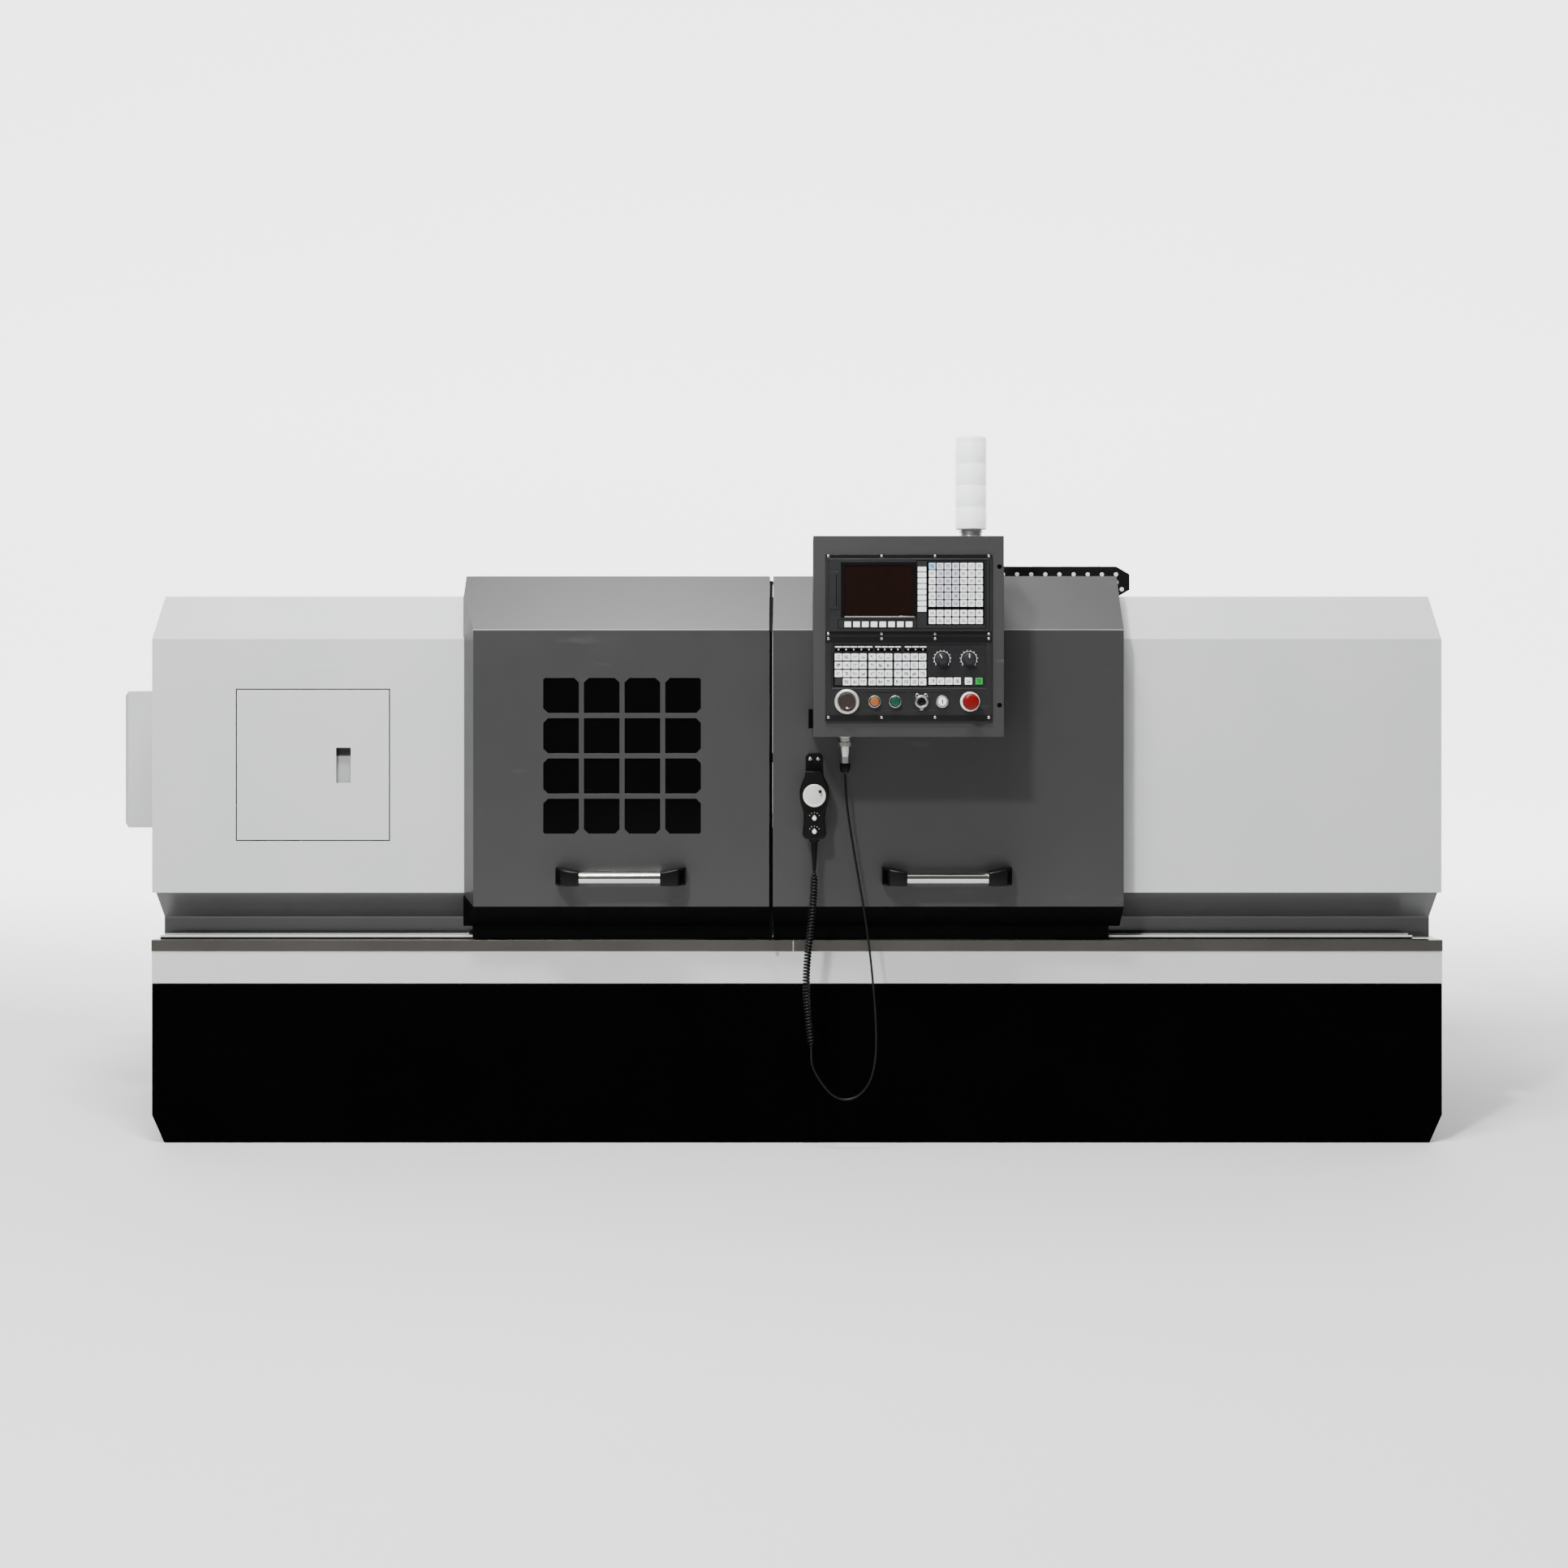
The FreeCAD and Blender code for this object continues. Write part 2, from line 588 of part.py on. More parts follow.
def service_door():
    x0, x1, z0, z1 = HATCH
    px0, px1, pz0, pz1 = PULL
    front = HOUSING_FRONT_Y
    sheet = HOUSING_SHEET
    shell = box(x0, x1, front, front + HATCH_RETURN, z0, z1)
    room = box(x0 + sheet, x1 - sheet, front + sheet, front + HATCH_RETURN + 1, z0 + sheet, z1 - sheet)
    pocket = box(px0 - sheet, px1 + sheet, front, front + PULL_DEPTH + sheet, pz0 - sheet, pz1 + sheet)
    finger = box(px0, px1, front - 1, front + PULL_DEPTH, pz0, pz1)
    pin = pin_bore(x0 + HATCH_PIVOT_INSET, front + HATCH_PIVOT_INSET, z0 - 1, z1 + 1,
                   HATCH_PIN_D + 2 * RUNNING_CLEARANCE, PIN_SIDES)
    knuckles = box(x0, x0 + 2 * HATCH_PIVOT_INSET, front, front + 2 * HATCH_PIVOT_INSET, z0, z0 + 12)
    upper = box(x0, x0 + 2 * HATCH_PIVOT_INSET, front, front + 2 * HATCH_PIVOT_INSET, z1 - 12, z1)
    return cut(fused([shell.cut(room), pocket, knuckles, upper]), [finger, pin])


def gear_end_cover():
    x0, y0, y1, z0, z1 = COVER
    x1 = HOUSING_LEFT[0]
    sheet = HOUSING_SHEET
    shell = box(x0, x1, y0, y1, z0, z1)
    shell = shell.makeChamfer(COVER_CHAMFER, [e for e in shell.Edges if e.CenterOfMass.x < x0 + 1])
    room = box(x0 + sheet, x1 + 1, y0 + sheet, y1 - sheet, z0 + sheet, z1 - sheet)
    room = room.makeChamfer(COVER_CHAMFER, [e for e in room.Edges if e.CenterOfMass.x < x0 + sheet + 1])
    flange = box(x1 - sheet, x1, y0 - 15, y1 + 15, z0 - 15, z1 + 15)
    return cut(fused([shell, flange]), [room])


def rear_guard():
    x0, x1 = HOUSING_LEFT[1], HOUSING_RIGHT[0]
    back = HOUSING_REAR_Y
    sheet = HOUSING_SHEET
    outline = [(back - sheet, TRAY_TOP), (back, TRAY_TOP), (back, HOUSING_ROOF_Z), (back - 60, HOUSING_ROOF_Z),
               (back - 60, HOUSING_ROOF_Z - sheet), (back - sheet, HOUSING_ROOF_Z - sheet)]
    return prism_x(outline, x0, x1)


# ---------------------------------------------------------------- electrical cabinet
def hinge_heights():
    z0, z1 = CABINET[2], CABINET[3]
    return [z0 + 120, z1 - 120]


def cabinet():
    x0, x1, z0, z1 = CABINET
    y0 = HOUSING_REAR_Y
    y1 = y0 + CABINET_DEPTH
    sheet = HOUSING_SHEET
    shell = box(x0, x1, y0, y1, z0, z1)
    room = box(x0 + sheet, x1 - sheet, y0 + sheet, y1 - sheet, z0 + sheet, z1 - sheet)
    lip = CABINET_LIP
    mouth = box(x0 + lip, x1 - lip, y1 - sheet - 1, y1 + 1, z0 + lip, z1 - lip)
    pieces = [cut(shell, [room, mouth])]
    for z in hinge_heights():
        pieces.append(prism_z(moved_outline(polygon(24, KNUCKLE_RADIUS), x0 - 8, y1 + 0.5), z - 30, z - 2))
        pieces.append(box(x0 - 8, x0 + 1, y1 - 12, y1, z - 30, z - 2))
        pieces.append(prism_z(moved_outline(polygon(PIN_SIDES, HINGE_PIN_D / 2), x0 - 8, y1 + 0.5), z - 4, z + 28))
    return fused(pieces)


def cabinet_door():
    x0, x1, z0, z1 = CABINET
    y0 = HOUSING_REAR_Y + CABINET_DEPTH + 0.5
    y1 = y0 + CABINET_DOOR_DEPTH
    sheet = HOUSING_SHEET
    shell = box(x0, x1, y0, y1, z0, z1)
    room = box(x0 + sheet, x1 - sheet, y0 - 1, y1 - sheet, z0 + sheet, z1 - sheet)
    pieces = [shell.cut(room)]
    for z in hinge_heights():
        knuckle = prism_z(moved_outline(polygon(24, KNUCKLE_RADIUS), x0 - 8, y0), z - 1.5, z + 28.5)
        web = box(x0 - 8, x0 + 1, y0, y0 + 6, z - 1.5, z + 28.5)
        bore = pin_bore(x0 - 8, y0, z - 6, z + 34, HINGE_PIN_D + 2 * RUNNING_CLEARANCE, PIN_SIDES)
        pieces.append(cut(fused([knuckle, web]), [bore]))
    lock_z = (z0 + z1) / 2
    pieces.append(prism_y(moved_outline(polygon(16, 14), x1 - 40, lock_z), y1 - 1, y1 + 8))
    return fused(pieces)


def control_gear():
    """Mounting plate with drives, a contactor row and terminals."""
    x0, x1, z0, z1 = CABINET
    y0 = HOUSING_REAR_Y + HOUSING_SHEET
    plate = box(x0 + 40, x1 - 40, y0, y0 + 4, z0 + 40, z1 - 40)
    front = y0 + 4
    gear = [plate]
    for i in range(3):
        left = x0 + 80 + i * 120
        gear.append(box(left, left + 95, front, front + 150, z1 - 340, z1 - 80))
    for i in range(6):
        left = x0 + 80 + i * 60
        gear.append(box(left, left + 48, front, front + 85, z0 + 210, z0 + 295))
    gear.append(box(x0 + 80, x1 - 90, front, front + 45, z0 + 80, z0 + 130))
    gear.append(box(x1 - 220, x1 - 90, front, front + 110, z1 - 300, z1 - 100))
    return fused(gear)


# ---------------------------------------------------------------- sliding doors
def door_outline():
    """Side view of a door's outer skin with a closed back."""
    front = DOOR_FRONT_Y
    back = front + DOOR_SLOPE_DEPTH + DOOR_ROOF_DEPTH
    foot = front + (DOOR_BEVEL_Z[1] - DOOR_BEVEL_Z[0]) * 1.2
    return [(foot, DOOR_FOOT_Z), (back, DOOR_FOOT_Z), (back, DOOR_ROOF_Z),
            (front + DOOR_SLOPE_DEPTH, DOOR_ROOF_Z), (front, DOOR_BEND_Z),
            (front, DOOR_BEVEL_Z[1]), (foot, DOOR_BEVEL_Z[0])]


def housing_clearance(x0, x1):
    """Everything behind the doors: the housings' side view, grown by the door clearance."""
    grown = inset(housing_outline(HOUSING_FOOT_Z), -DOOR_CLEARANCE)
    back = DOOR_FRONT_Y + DOOR_SLOPE_DEPTH + DOOR_ROOF_DEPTH - DOOR_SHEET
    clear = [(y, z) for y, z in grown]
    clear[1] = (back, clear[1][1])
    clear[2] = (back, clear[2][1])
    return prism_x(clear, x0 - 1, x1 + 1)


def door_shell(x0, x1, chamfered_left, foot_x):
    """Bent sheet door: face, slope, roof, bottom bevel and side walls, open at the back."""
    outline = door_outline()
    sheet = DOOR_SHEET
    back = outline[1][0]
    solid = prism_x(outline, x0, x1)
    inner_outline = inset(outline, sheet)
    inner_outline[0] = (inner_outline[0][0], DOOR_FOOT_Z - 1)
    inner_outline[1] = (inner_outline[1][0], DOOR_FOOT_Z - 1)
    room = prism_x(inner_outline, x0 + sheet, x1 - sheet)
    below_roof = box(x0 - 1, x1 + 1, back - sheet - 1, back + 1, DOOR_FOOT_Z - 1,
                     HOUSING_ROOF_Z + 12)
    foot_back = box(x0 - 1, x1 + 1, outline[0][0] + 40, back + 1, DOOR_FOOT_Z - 1, HOUSING_FOOT_Z)
    rail_room = box(x0 - 1, x1 + 1, RAIL_Y - RAIL_WIDTH / 2 - 2, back + 1, DOOR_FOOT_Z - 1,
                    TRAY_TOP + RAIL_HEIGHT + DOOR_CLEARANCE)
    skirt_y = HOUSING_FRONT_Y - DOOR_CLEARANCE * 1.5
    skirt_room = prism_x([(skirt_y, HOUSING_FOOT_Z + 1), (skirt_y, HOUSING_FOOT_Z),
                          (skirt_y + SKIRT_SET_BACK, HOUSING_FOOT_Z - SKIRT_SET_BACK),
                          (back + 1, HOUSING_FOOT_Z - SKIRT_SET_BACK), (back + 1, HOUSING_FOOT_Z + 1)], x0 - 1, x1 + 1)
    foot_sides = [box(x0 - 1, foot_x[0], DOOR_FRONT_Y - 1, back + 1, DOOR_FOOT_Z - 1, DOOR_BEVEL_Z[0]),
                  box(foot_x[1], x1 + 1, DOOR_FRONT_Y - 1, back + 1, DOOR_FOOT_Z - 1, DOOR_BEVEL_Z[0])]
    if chamfered_left:
        run = HOUSING_FRONT_Y - DOOR_FRONT_Y
        edge = [(x0 - 1, DOOR_FRONT_Y - 1), (x0 + DOOR_CHAMFER + DOOR_CHAMFER / run, DOOR_FRONT_Y - 1), (x0, HOUSING_FRONT_Y),
                (x0 - 1, HOUSING_FRONT_Y)]
        slant = math.hypot(run, DOOR_CHAMFER) / run * sheet
        inner_edge = [(x + slant, y) for x, y in edge]
        inner_edge[0] = (x0 - 1, edge[0][1])
        inner_edge[3] = (x0 - 1, edge[3][1])
        solid = solid.cut(prism_z(edge, DOOR_FOOT_Z - 1, DOOR_ROOF_Z + 1))
        room = room.cut(prism_z(inner_edge, DOOR_FOOT_Z - 2, DOOR_ROOF_Z + 2))
    return cut(solid, [room, below_roof, foot_back, rail_room, skirt_room, housing_clearance(x0, x1)] + foot_sides)


def window_cell(column, row):
    """Outline of one opening in (x, z): corners on the window's edge are chamfered where a bar meets them."""
    width, height = WINDOW_CELL
    pitch_x, pitch_z = width + WINDOW_BAR, height + WINDOW_BAR
    middle = (WINDOW_CELLS - 1) / 2
    cx = WINDOW_CENTRE[0] + (column - middle) * pitch_x
    cz = WINDOW_CENTRE[1] + (row - middle) * pitch_z
    last = WINDOW_CELLS - 1
    outline = []
    for sx, sz in ((-1, -1), (1, -1), (1, 1), (-1, 1)):
        on_side = (column == 0 and sx < 0) or (column == last and sx > 0)
        on_end = (row == 0 and sz < 0) or (row == last and sz > 0)
        x, z = cx + sx * width / 2, cz + sz * height / 2
        cham = WINDOW_CHAMFER if on_side != on_end else 4.0 if on_side else 0.0
        if cham:
            first, second = (x - sx * cham, z), (x, z - sz * cham)
            outline += [second, first] if sx * sz < 0 and sx < 0 else [first, second]
        else:
            outline.append((x, z))
    return sorted_round(outline, cx, cz)


def sorted_round(outline, cx, cz):
    """Corners in counter-clockwise order round a centre."""
    return sorted(outline, key=lambda p: math.atan2(p[1] - cz, p[0] - cx))


def window_cut():
    return [prism_y(window_cell(c, r), DOOR_FRONT_Y - 1, DOOR_FRONT_Y + DOOR_SHEET + 1)
            for c in range(WINDOW_CELLS) for r in range(WINDOW_CELLS)]


def shoes(x0, x1):
    """Plastic skids: two in the bottom rail and two in the top channel, each with its steel post."""
    pieces = []
    rail_top = TRAY_TOP + RAIL_SHEET
    groove = RAIL_WIDTH - 2 * RAIL_SHEET - 2 * SHOE_CLEARANCE
    top_groove = CHANNEL_WIDTH - 2 * CHANNEL_SHEET - 2 * SHOE_CLEARANCE
    foot_y = door_outline()[0][0] + DOOR_SHEET
    for x in (x0 + 120, x1 - 120):
        low = box(x - SHOE_LENGTH / 2, x + SHOE_LENGTH / 2, RAIL_Y - groove / 2, RAIL_Y + groove / 2, rail_top,
                  rail_top + 22)
        arm = box(x - SHOE_LENGTH / 2, x + SHOE_LENGTH / 2, foot_y, RAIL_Y + groove / 2, rail_top + 22, rail_top + 28)
        high = box(x - SHOE_LENGTH / 2, x + SHOE_LENGTH / 2, CHANNEL_Y - top_groove / 2, CHANNEL_Y + top_groove / 2,
                   HOUSING_ROOF_Z - 20, HOUSING_ROOF_Z + 10)
        lip_y = DOOR_FRONT_Y + DOOR_SLOPE_DEPTH + DOOR_ROOF_DEPTH
        post = box(x - SHOE_LENGTH / 2, x + SHOE_LENGTH / 2, lip_y, lip_y + 5, HOUSING_ROOF_Z + 6,
                   DOOR_ROOF_Z - 8)
        arm_top = box(x - SHOE_LENGTH / 2, x + SHOE_LENGTH / 2, CHANNEL_Y - top_groove / 2, lip_y + 5,
                      HOUSING_ROOF_Z + 6, HOUSING_ROOF_Z + 10)
        pieces += [fused([low, arm]), fused([high, arm_top, post])]
    return pieces


def handle(centre_x):
    """Steel tube between two angled end brackets."""
    half = HANDLE_TUBE_LENGTH / 2
    reach = HANDLE_LENGTH / 2
    axis_y = DOOR_FRONT_Y - HANDLE_STAND_OFF
    radius = HANDLE_TUBE_D / 2
    tube = rod((centre_x - half, axis_y, HANDLE_Z), ALONG_X, HANDLE_TUBE_D, HANDLE_TUBE_LENGTH)
    plan = [(half, axis_y - radius - 1.5), (half + 20, axis_y - radius - 1.5), (reach, DOOR_FRONT_Y - 22),
            (reach, DOOR_FRONT_Y), (half + 26, DOOR_FRONT_Y), (half + 14, axis_y + radius + 1.5),
            (half, axis_y + radius + 1.5)]
    low, high = HANDLE_Z - HANDLE_BRACKET_HEIGHT / 2, HANDLE_Z + HANDLE_BRACKET_HEIGHT / 2
    right = prism_z([(centre_x + x, y) for x, y in plan], low, high)
    left = prism_z([(centre_x - x, y) for x, y in plan], low, high)
    return [tube, left, right]


def window_pane():
    width, height = WINDOW_CELL
    half_w = (WINDOW_CELLS * width + (WINDOW_CELLS - 1) * WINDOW_BAR) / 2 + PANE_MARGIN
    half_h = (WINDOW_CELLS * height + (WINDOW_CELLS - 1) * WINDOW_BAR) / 2 + PANE_MARGIN
    cx, cz = WINDOW_CENTRE
    y0 = DOOR_FRONT_Y + DOOR_SHEET
    return box(cx - half_w, cx + half_w, y0, y0 + PANE_THICKNESS, cz - half_h, cz + half_h)


def left_door():
    x0, x1 = LEFT_DOOR
    shell = door_shell(x0, x1, True, (x0 + DOOR_FOOT_INSET - 4, x1))
    return cut(shell, window_cut())


def right_door():
    x0, x1 = RIGHT_DOOR
    return door_shell(x0, x1, False, (x0, x1 - DOOR_FOOT_INSET))


# ---------------------------------------------------------------- bed, headstock and drive
def way_outline(clearance):
    """Front way: flat top with a raised vee, in (y, z)."""
    middle = BED_FRONT_Y + BED_WALL / 2
    top = WAY_Z + clearance
    return [(middle - 14 - clearance, top), (middle + 14 + clearance, top), (middle, top + VEE_HEIGHT)]


def bed():
    x0, x1 = BED
    front, rear, wall = BED_FRONT_Y, BED_REAR_Y, BED_WALL
    foot = TRAY_FLOOR
    pieces = [box(x0, x1, front, front + wall, foot, WAY_Z), box(x0, x1, rear - wall, rear, foot, WAY_Z),
              prism_x(way_outline(0), x0 + 0.0, x1)]
    ribs = 6
    for i in range(ribs + 1):
        x = x0 + (x1 - x0 - 40) * i / ribs
        pieces.append(box(x, x + 40, front, rear, foot, WAY_Z - 60))
    pieces.append(box(x0, HEADSTOCK[1], front, rear, WAY_Z - 60, WAY_Z))
    return fused(pieces)


def headstock():
    x0, x1 = HEADSTOCK
    half = HEADSTOCK_WIDTH / 2
    y0, y1 = SPINDLE_Y - half, SPINDLE_Y + half
    bevel = 60.0
    outline = [(y0, WAY_Z + VEE_HEIGHT + 8), (BED_FRONT_Y + BED_WALL + 1, WAY_Z + VEE_HEIGHT + 8),
               (BED_FRONT_Y + BED_WALL + 1, WAY_Z), (BED_REAR_Y, WAY_Z), (y1, WAY_Z + VEE_HEIGHT + 8),
               (y1, HEADSTOCK_TOP - bevel), (y1 - bevel, HEADSTOCK_TOP), (y0 + bevel, HEADSTOCK_TOP),
               (y0, HEADSTOCK_TOP - bevel)]
    body = prism_x(outline, x0, x1)
    side = BEARING_HOUSING / 2
    passage = box(x0 - 1, x1 + 1, SPINDLE_Y - side, SPINDLE_Y + side, SPINDLE_Z - side, SPINDLE_Z + side)
    return cut(body, [passage])


def spindle_bearings():
    """Square bearing housings let into both ends of the headstock."""
    housings = []
    side = BEARING_HOUSING / 2
    for x, journal in ((HEADSTOCK[1] - BEARING_WIDTH, FRONT_JOURNAL_D), (HEADSTOCK[0], REAR_JOURNAL_D)):
        block = box(x, x + BEARING_WIDTH, SPINDLE_Y - side, SPINDLE_Y + side, SPINDLE_Z - side, SPINDLE_Z + side)
        hole = rod((x - 1, SPINDLE_Y, SPINDLE_Z), ALONG_X, journal + 2 * RUNNING_CLEARANCE, BEARING_WIDTH + 2)
        housings.append(block.cut(hole))
    return housings


def spindle():
    start, end = SPINDLE_ENDS
    bore = SPINDLE_BORE_D / 2
    rear, front = HEADSTOCK
    profile = [(0, bore), (0, REAR_JOURNAL_D / 2), (rear - start + BEARING_WIDTH + 15, REAR_JOURNAL_D / 2),
               (rear - start + BEARING_WIDTH + 15, FRONT_JOURNAL_D / 2), (end - NOSE_WIDTH - start, FRONT_JOURNAL_D / 2),
               (end - NOSE_WIDTH - start, NOSE_D / 2), (end - start, NOSE_D / 2), (end - start, bore)]
    shaft = turned(profile, (start, SPINDLE_Y, SPINDLE_Z), ALONG_X)
    return fused([shaft, pulley(*PULLEY_X, SPINDLE_Y, SPINDLE_Z, SPINDLE_PULLEY_D, REAR_JOURNAL_D - 2)])


def pulley(x0, x1, centre_y, centre_z, diameter, bore):
    """Plain belt pulley on an X shaft."""
    rim = prism_x(moved_outline(polygon(PULLEY_SIDES, diameter / 2), centre_y, centre_z), x0, x1)
    return rim.cut(rod((x0 - 1, centre_y, centre_z), ALONG_X, bore, x1 - x0 + 2)) if bore else rim


def motor_pulley():
    """Pulley pressed on the rotor shaft, which runs into the motor."""
    wheel = pulley(*PULLEY_X, *MOTOR_AXIS, MOTOR_PULLEY_D, 0)
    shaft = prism_x(moved_outline(polygon(SHAFT_SIDES, MOTOR_SHAFT_D / 2), *MOTOR_AXIS), PULLEY_X[0], MOTOR_X[0] + 60)
    return fused([wheel, shaft])


def belt_loop(grow):
    """Closed outline in (y, z) round both pulleys, in short flats that touch circles grown from their rims."""
    centres = ((SPINDLE_Y, SPINDLE_Z), MOTOR_AXIS)
    radii = (SPINDLE_PULLEY_D / 2 + grow, MOTOR_PULLEY_D / 2 + grow)
    run, rise = centres[1][0] - centres[0][0], centres[1][1] - centres[0][1]
    lean = math.atan2(rise, run)
    half = math.acos((radii[0] - radii[1]) / math.hypot(run, rise))
    outline = []
    for (y, z), radius, start, sweep in ((centres[0], radii[0], lean + half, 2 * (math.pi - half)),
                                         (centres[1], radii[1], lean - half, 2 * half)):
        step = sweep / BELT_ARC_STEPS
        outer = radius / math.cos(step / 2)
        angles = [start + step * (i + 0.5) for i in range(BELT_ARC_STEPS)]
        outline += [(y + outer * math.cos(a), z + outer * math.sin(a)) for a in angles]
    return outline


def drive_belt():
    x = (PULLEY_X[0] + PULLEY_X[1] - BELT_WIDTH) / 2
    outer = prism_x(belt_loop(BELT_THICKNESS), x, x + BELT_WIDTH)
    return outer.cut(prism_x(belt_loop(SHOE_CLEARANCE), x - 1, x + BELT_WIDTH + 1))


def main_motor():
    y, z = MOTOR_AXIS
    half = MOTOR_SIZE / 2
    x0, x1 = MOTOR_X
    outline = [(y - half + 40, z - half), (y + half - 40, z - half), (y + half, z - half + 40), (y + half, z + half - 40),
               (y + half - 40, z + half), (y - half + 40, z + half), (y - half, z + half - 40), (y - half, z - half + 40)]
    body = prism_x(outline, x0, x1)
    feet = [box(x, x + 70, y - half - 20, y + half + 20, TRAY_FLOOR, TRAY_FLOOR + 16) for x in (x0 + 40, x1 - 110)]
    stands = [box(x, x + 70, y - half + 40, y + half - 40, TRAY_FLOOR + 16, z - half + 10) for x in (x0 + 40, x1 - 110)]
    bore = rod((x0 - 1, y, z), ALONG_X, MOTOR_SHAFT_D + 2 * RUNNING_CLEARANCE, 70)
    return cut(fused([body] + feet + stands), [bore])


def tee(face, clearance, low, high):
    """T-shaped key of a jaw, lying along +Z before it is turned."""
    neck = JAW_NECK / 2 - clearance
    wide = JAW_WIDTH / 2 - clearance
    head = box(face - 36 + clearance, face - 20 - clearance, -wide, wide, low, high)
    return fused([head, box(face - 21, face + 1, -neck, neck, low, high)])


def chuck_slot(angle):
    face = SPINDLE_ENDS[1] + CHUCK_WIDTH
    return turn_about_spindle(tee(face, 0.0, SPINDLE_BORE_D / 2 - 6, CHUCK_D / 2 + 5), angle)


def turn_about_spindle(shape, angle):
    """Shape made on the X axis, turned and carried to the spindle."""
    shape = shape.copy()
    shape.rotate(Vector(0, 0, 0), ALONG_X, angle)
    shape.translate(Vector(0, SPINDLE_Y, SPINDLE_Z))
    return shape


def chuck_body():
    x0 = SPINDLE_ENDS[1]
    x1 = x0 + CHUCK_WIDTH
    drum = prism_x(moved_outline(polygon(PULLEY_SIDES, CHUCK_D / 2), SPINDLE_Y, SPINDLE_Z), x0, x1)
    bore = prism_x(moved_outline(polygon(SMALL_SIDES, SPINDLE_BORE_D / 2), SPINDLE_Y, SPINDLE_Z), x0 - 1, x1 + 1)
    return cut(drum, [bore] + [chuck_slot(120 * i) for i in range(3)])


def chuck_jaw(index):
    face = SPINDLE_ENDS[1] + CHUCK_WIDTH
    low, high = 44.0, 116.0
    wide = JAW_WIDTH / 2 - 0.15
    root = tee(face, 0.15, low, high)
    steps = [(face + 0.3, low), (face + 54, low), (face + 54, low + 24), (face + 36, low + 24), (face + 36, low + 48),
             (face + 18, low + 48), (face + 18, high), (face + 0.3, high)]
    jaw = prism_y(steps, -wide, wide)
    return turn_about_spindle(fused([root, jaw]), 120 * index)


# ---------------------------------------------------------------- carriage, cross slide and turret
def dovetail(half_top, half_foot, height):
    """Dovetail outline in (x, z) standing on z = 0."""
    return [(-half_foot, 0), (half_foot, 0), (half_top, height), (-half_top, height)]


def carriage():
    """Saddle on both ways with the apron and the nut of the lead screw."""
    x0, x1 = CARRIAGE_X
    rear = BED_REAR_Y + 30
    gap = SLIDE_CLEARANCE
    saddle = box(x0, x1, SADDLE_FRONT_Y, rear, WAY_Z + gap, SADDLE_Z)
    groove = prism_x(way_outline(gap), x0 - 1, x1 + 1)
    rear_keep = box(x0, x1, BED_REAR_Y + gap, rear, WAY_Z - 30, WAY_Z + gap + 1)
    apron = box(*APRON_X, SCREW_Y - 50, BED_FRONT_Y - 2, SCREW_Z - 60, WAY_Z + gap + 1)
    waist = [box(x, x + 90, BED_FRONT_Y + BED_WALL, BED_REAR_Y - BED_WALL, WAY_Z, SADDLE_Z + 1) for x in (x0 - 1, x1 - 89)]
    half = CROSS_WIDTH / 2
    key = prism_y(moved_outline(dovetail(half - 40, half - 54, 22), CARRIAGE_CENTRE_X, SADDLE_Z), SADDLE_FRONT_Y, rear)
    nut_bore = rod((APRON_X[0] - 1, SCREW_Y, SCREW_Z), ALONG_X, SCREW_D + 2 * RUNNING_CLEARANCE, APRON_X[1] - APRON_X[0] + 2)
    screw_way = round_prism_y(CARRIAGE_CENTRE_X, SADDLE_Z - 16, CROSS_SCREW_D + 6, SADDLE_FRONT_Y - 1, rear + 1, 8)
    return cut(fused([saddle, rear_keep, apron, key]), [groove, nut_bore, screw_way] + waist)


def lead_screw():
    return rod((BED[0] + 30, SCREW_Y, SCREW_Z), ALONG_X, SCREW_D, BED[1] - BED[0] - 60)


def lead_screw_blocks():
    """Bearing blocks bolted to the bed's front wall, and the feed motor on the right one."""
    bore = SCREW_D + 2 * RUNNING_CLEARANCE
    pieces = []
    for x in (BED[0] + 60, BED[1] - 120):
        block = box(x, x + 60, SCREW_Y - 45, BED_FRONT_Y, SCREW_Z - 45, SCREW_Z + 45)
        hole = rod((x - 1, SCREW_Y, SCREW_Z), ALONG_X, bore, 62)
        pieces.append(block.cut(hole))
    motor_x = BED[1] - 28
    pieces.append(box(motor_x, motor_x + 90, SCREW_Y - 45, SCREW_Y + 45, SCREW_Z - 45, SCREW_Z + 45))
    bridge = box(BED[1] - 60, motor_x + 2, SCREW_Y + 28, SCREW_Y + 45, SCREW_Z - 45, SCREW_Z + 45)
    pieces[-1] = fused([pieces[1], pieces[-1], bridge])
    del pieces[1]
    return pieces


def cross_slide():
    half = CROSS_WIDTH / 2
    cx = CARRIAGE_CENTRE_X
    gap = SLIDE_CLEARANCE
    plate = box(cx - half, cx + half, *CROSS_ENDS, SADDLE_Z + gap, CROSS_Z)
    way = prism_y(moved_outline(dovetail(half - 40 + 3 * gap, half - 54 + gap, 22 + 2 * gap), cx, SADDLE_Z),
                  CROSS_ENDS[0] - 1, CROSS_ENDS[1] + 1)
    lug = box(cx - 22, cx + 22, CROSS_ENDS[0] - 30, CROSS_ENDS[0] + 0.5, SADDLE_Z - 34, CROSS_Z - 12)
    screw = round_prism_y(cx, SADDLE_Z - 16, CROSS_SCREW_D, CROSS_ENDS[0] - 10, CROSS_ENDS[1] + 60, 8)
    return fused([plate.cut(way), lug, screw])


def tool_post_base():
    cx = CARRIAGE_CENTRE_X
    side = TURRET_SIDE / 2 + 15
    foot = box(cx - side, cx + side, TURRET_Y - side, TURRET_Y + side, CROSS_Z, CROSS_Z + 62)
    spigot = rod((cx, TURRET_Y, CROSS_Z + 61), ALONG_Z, 60, 30)
    return fused([foot, spigot])


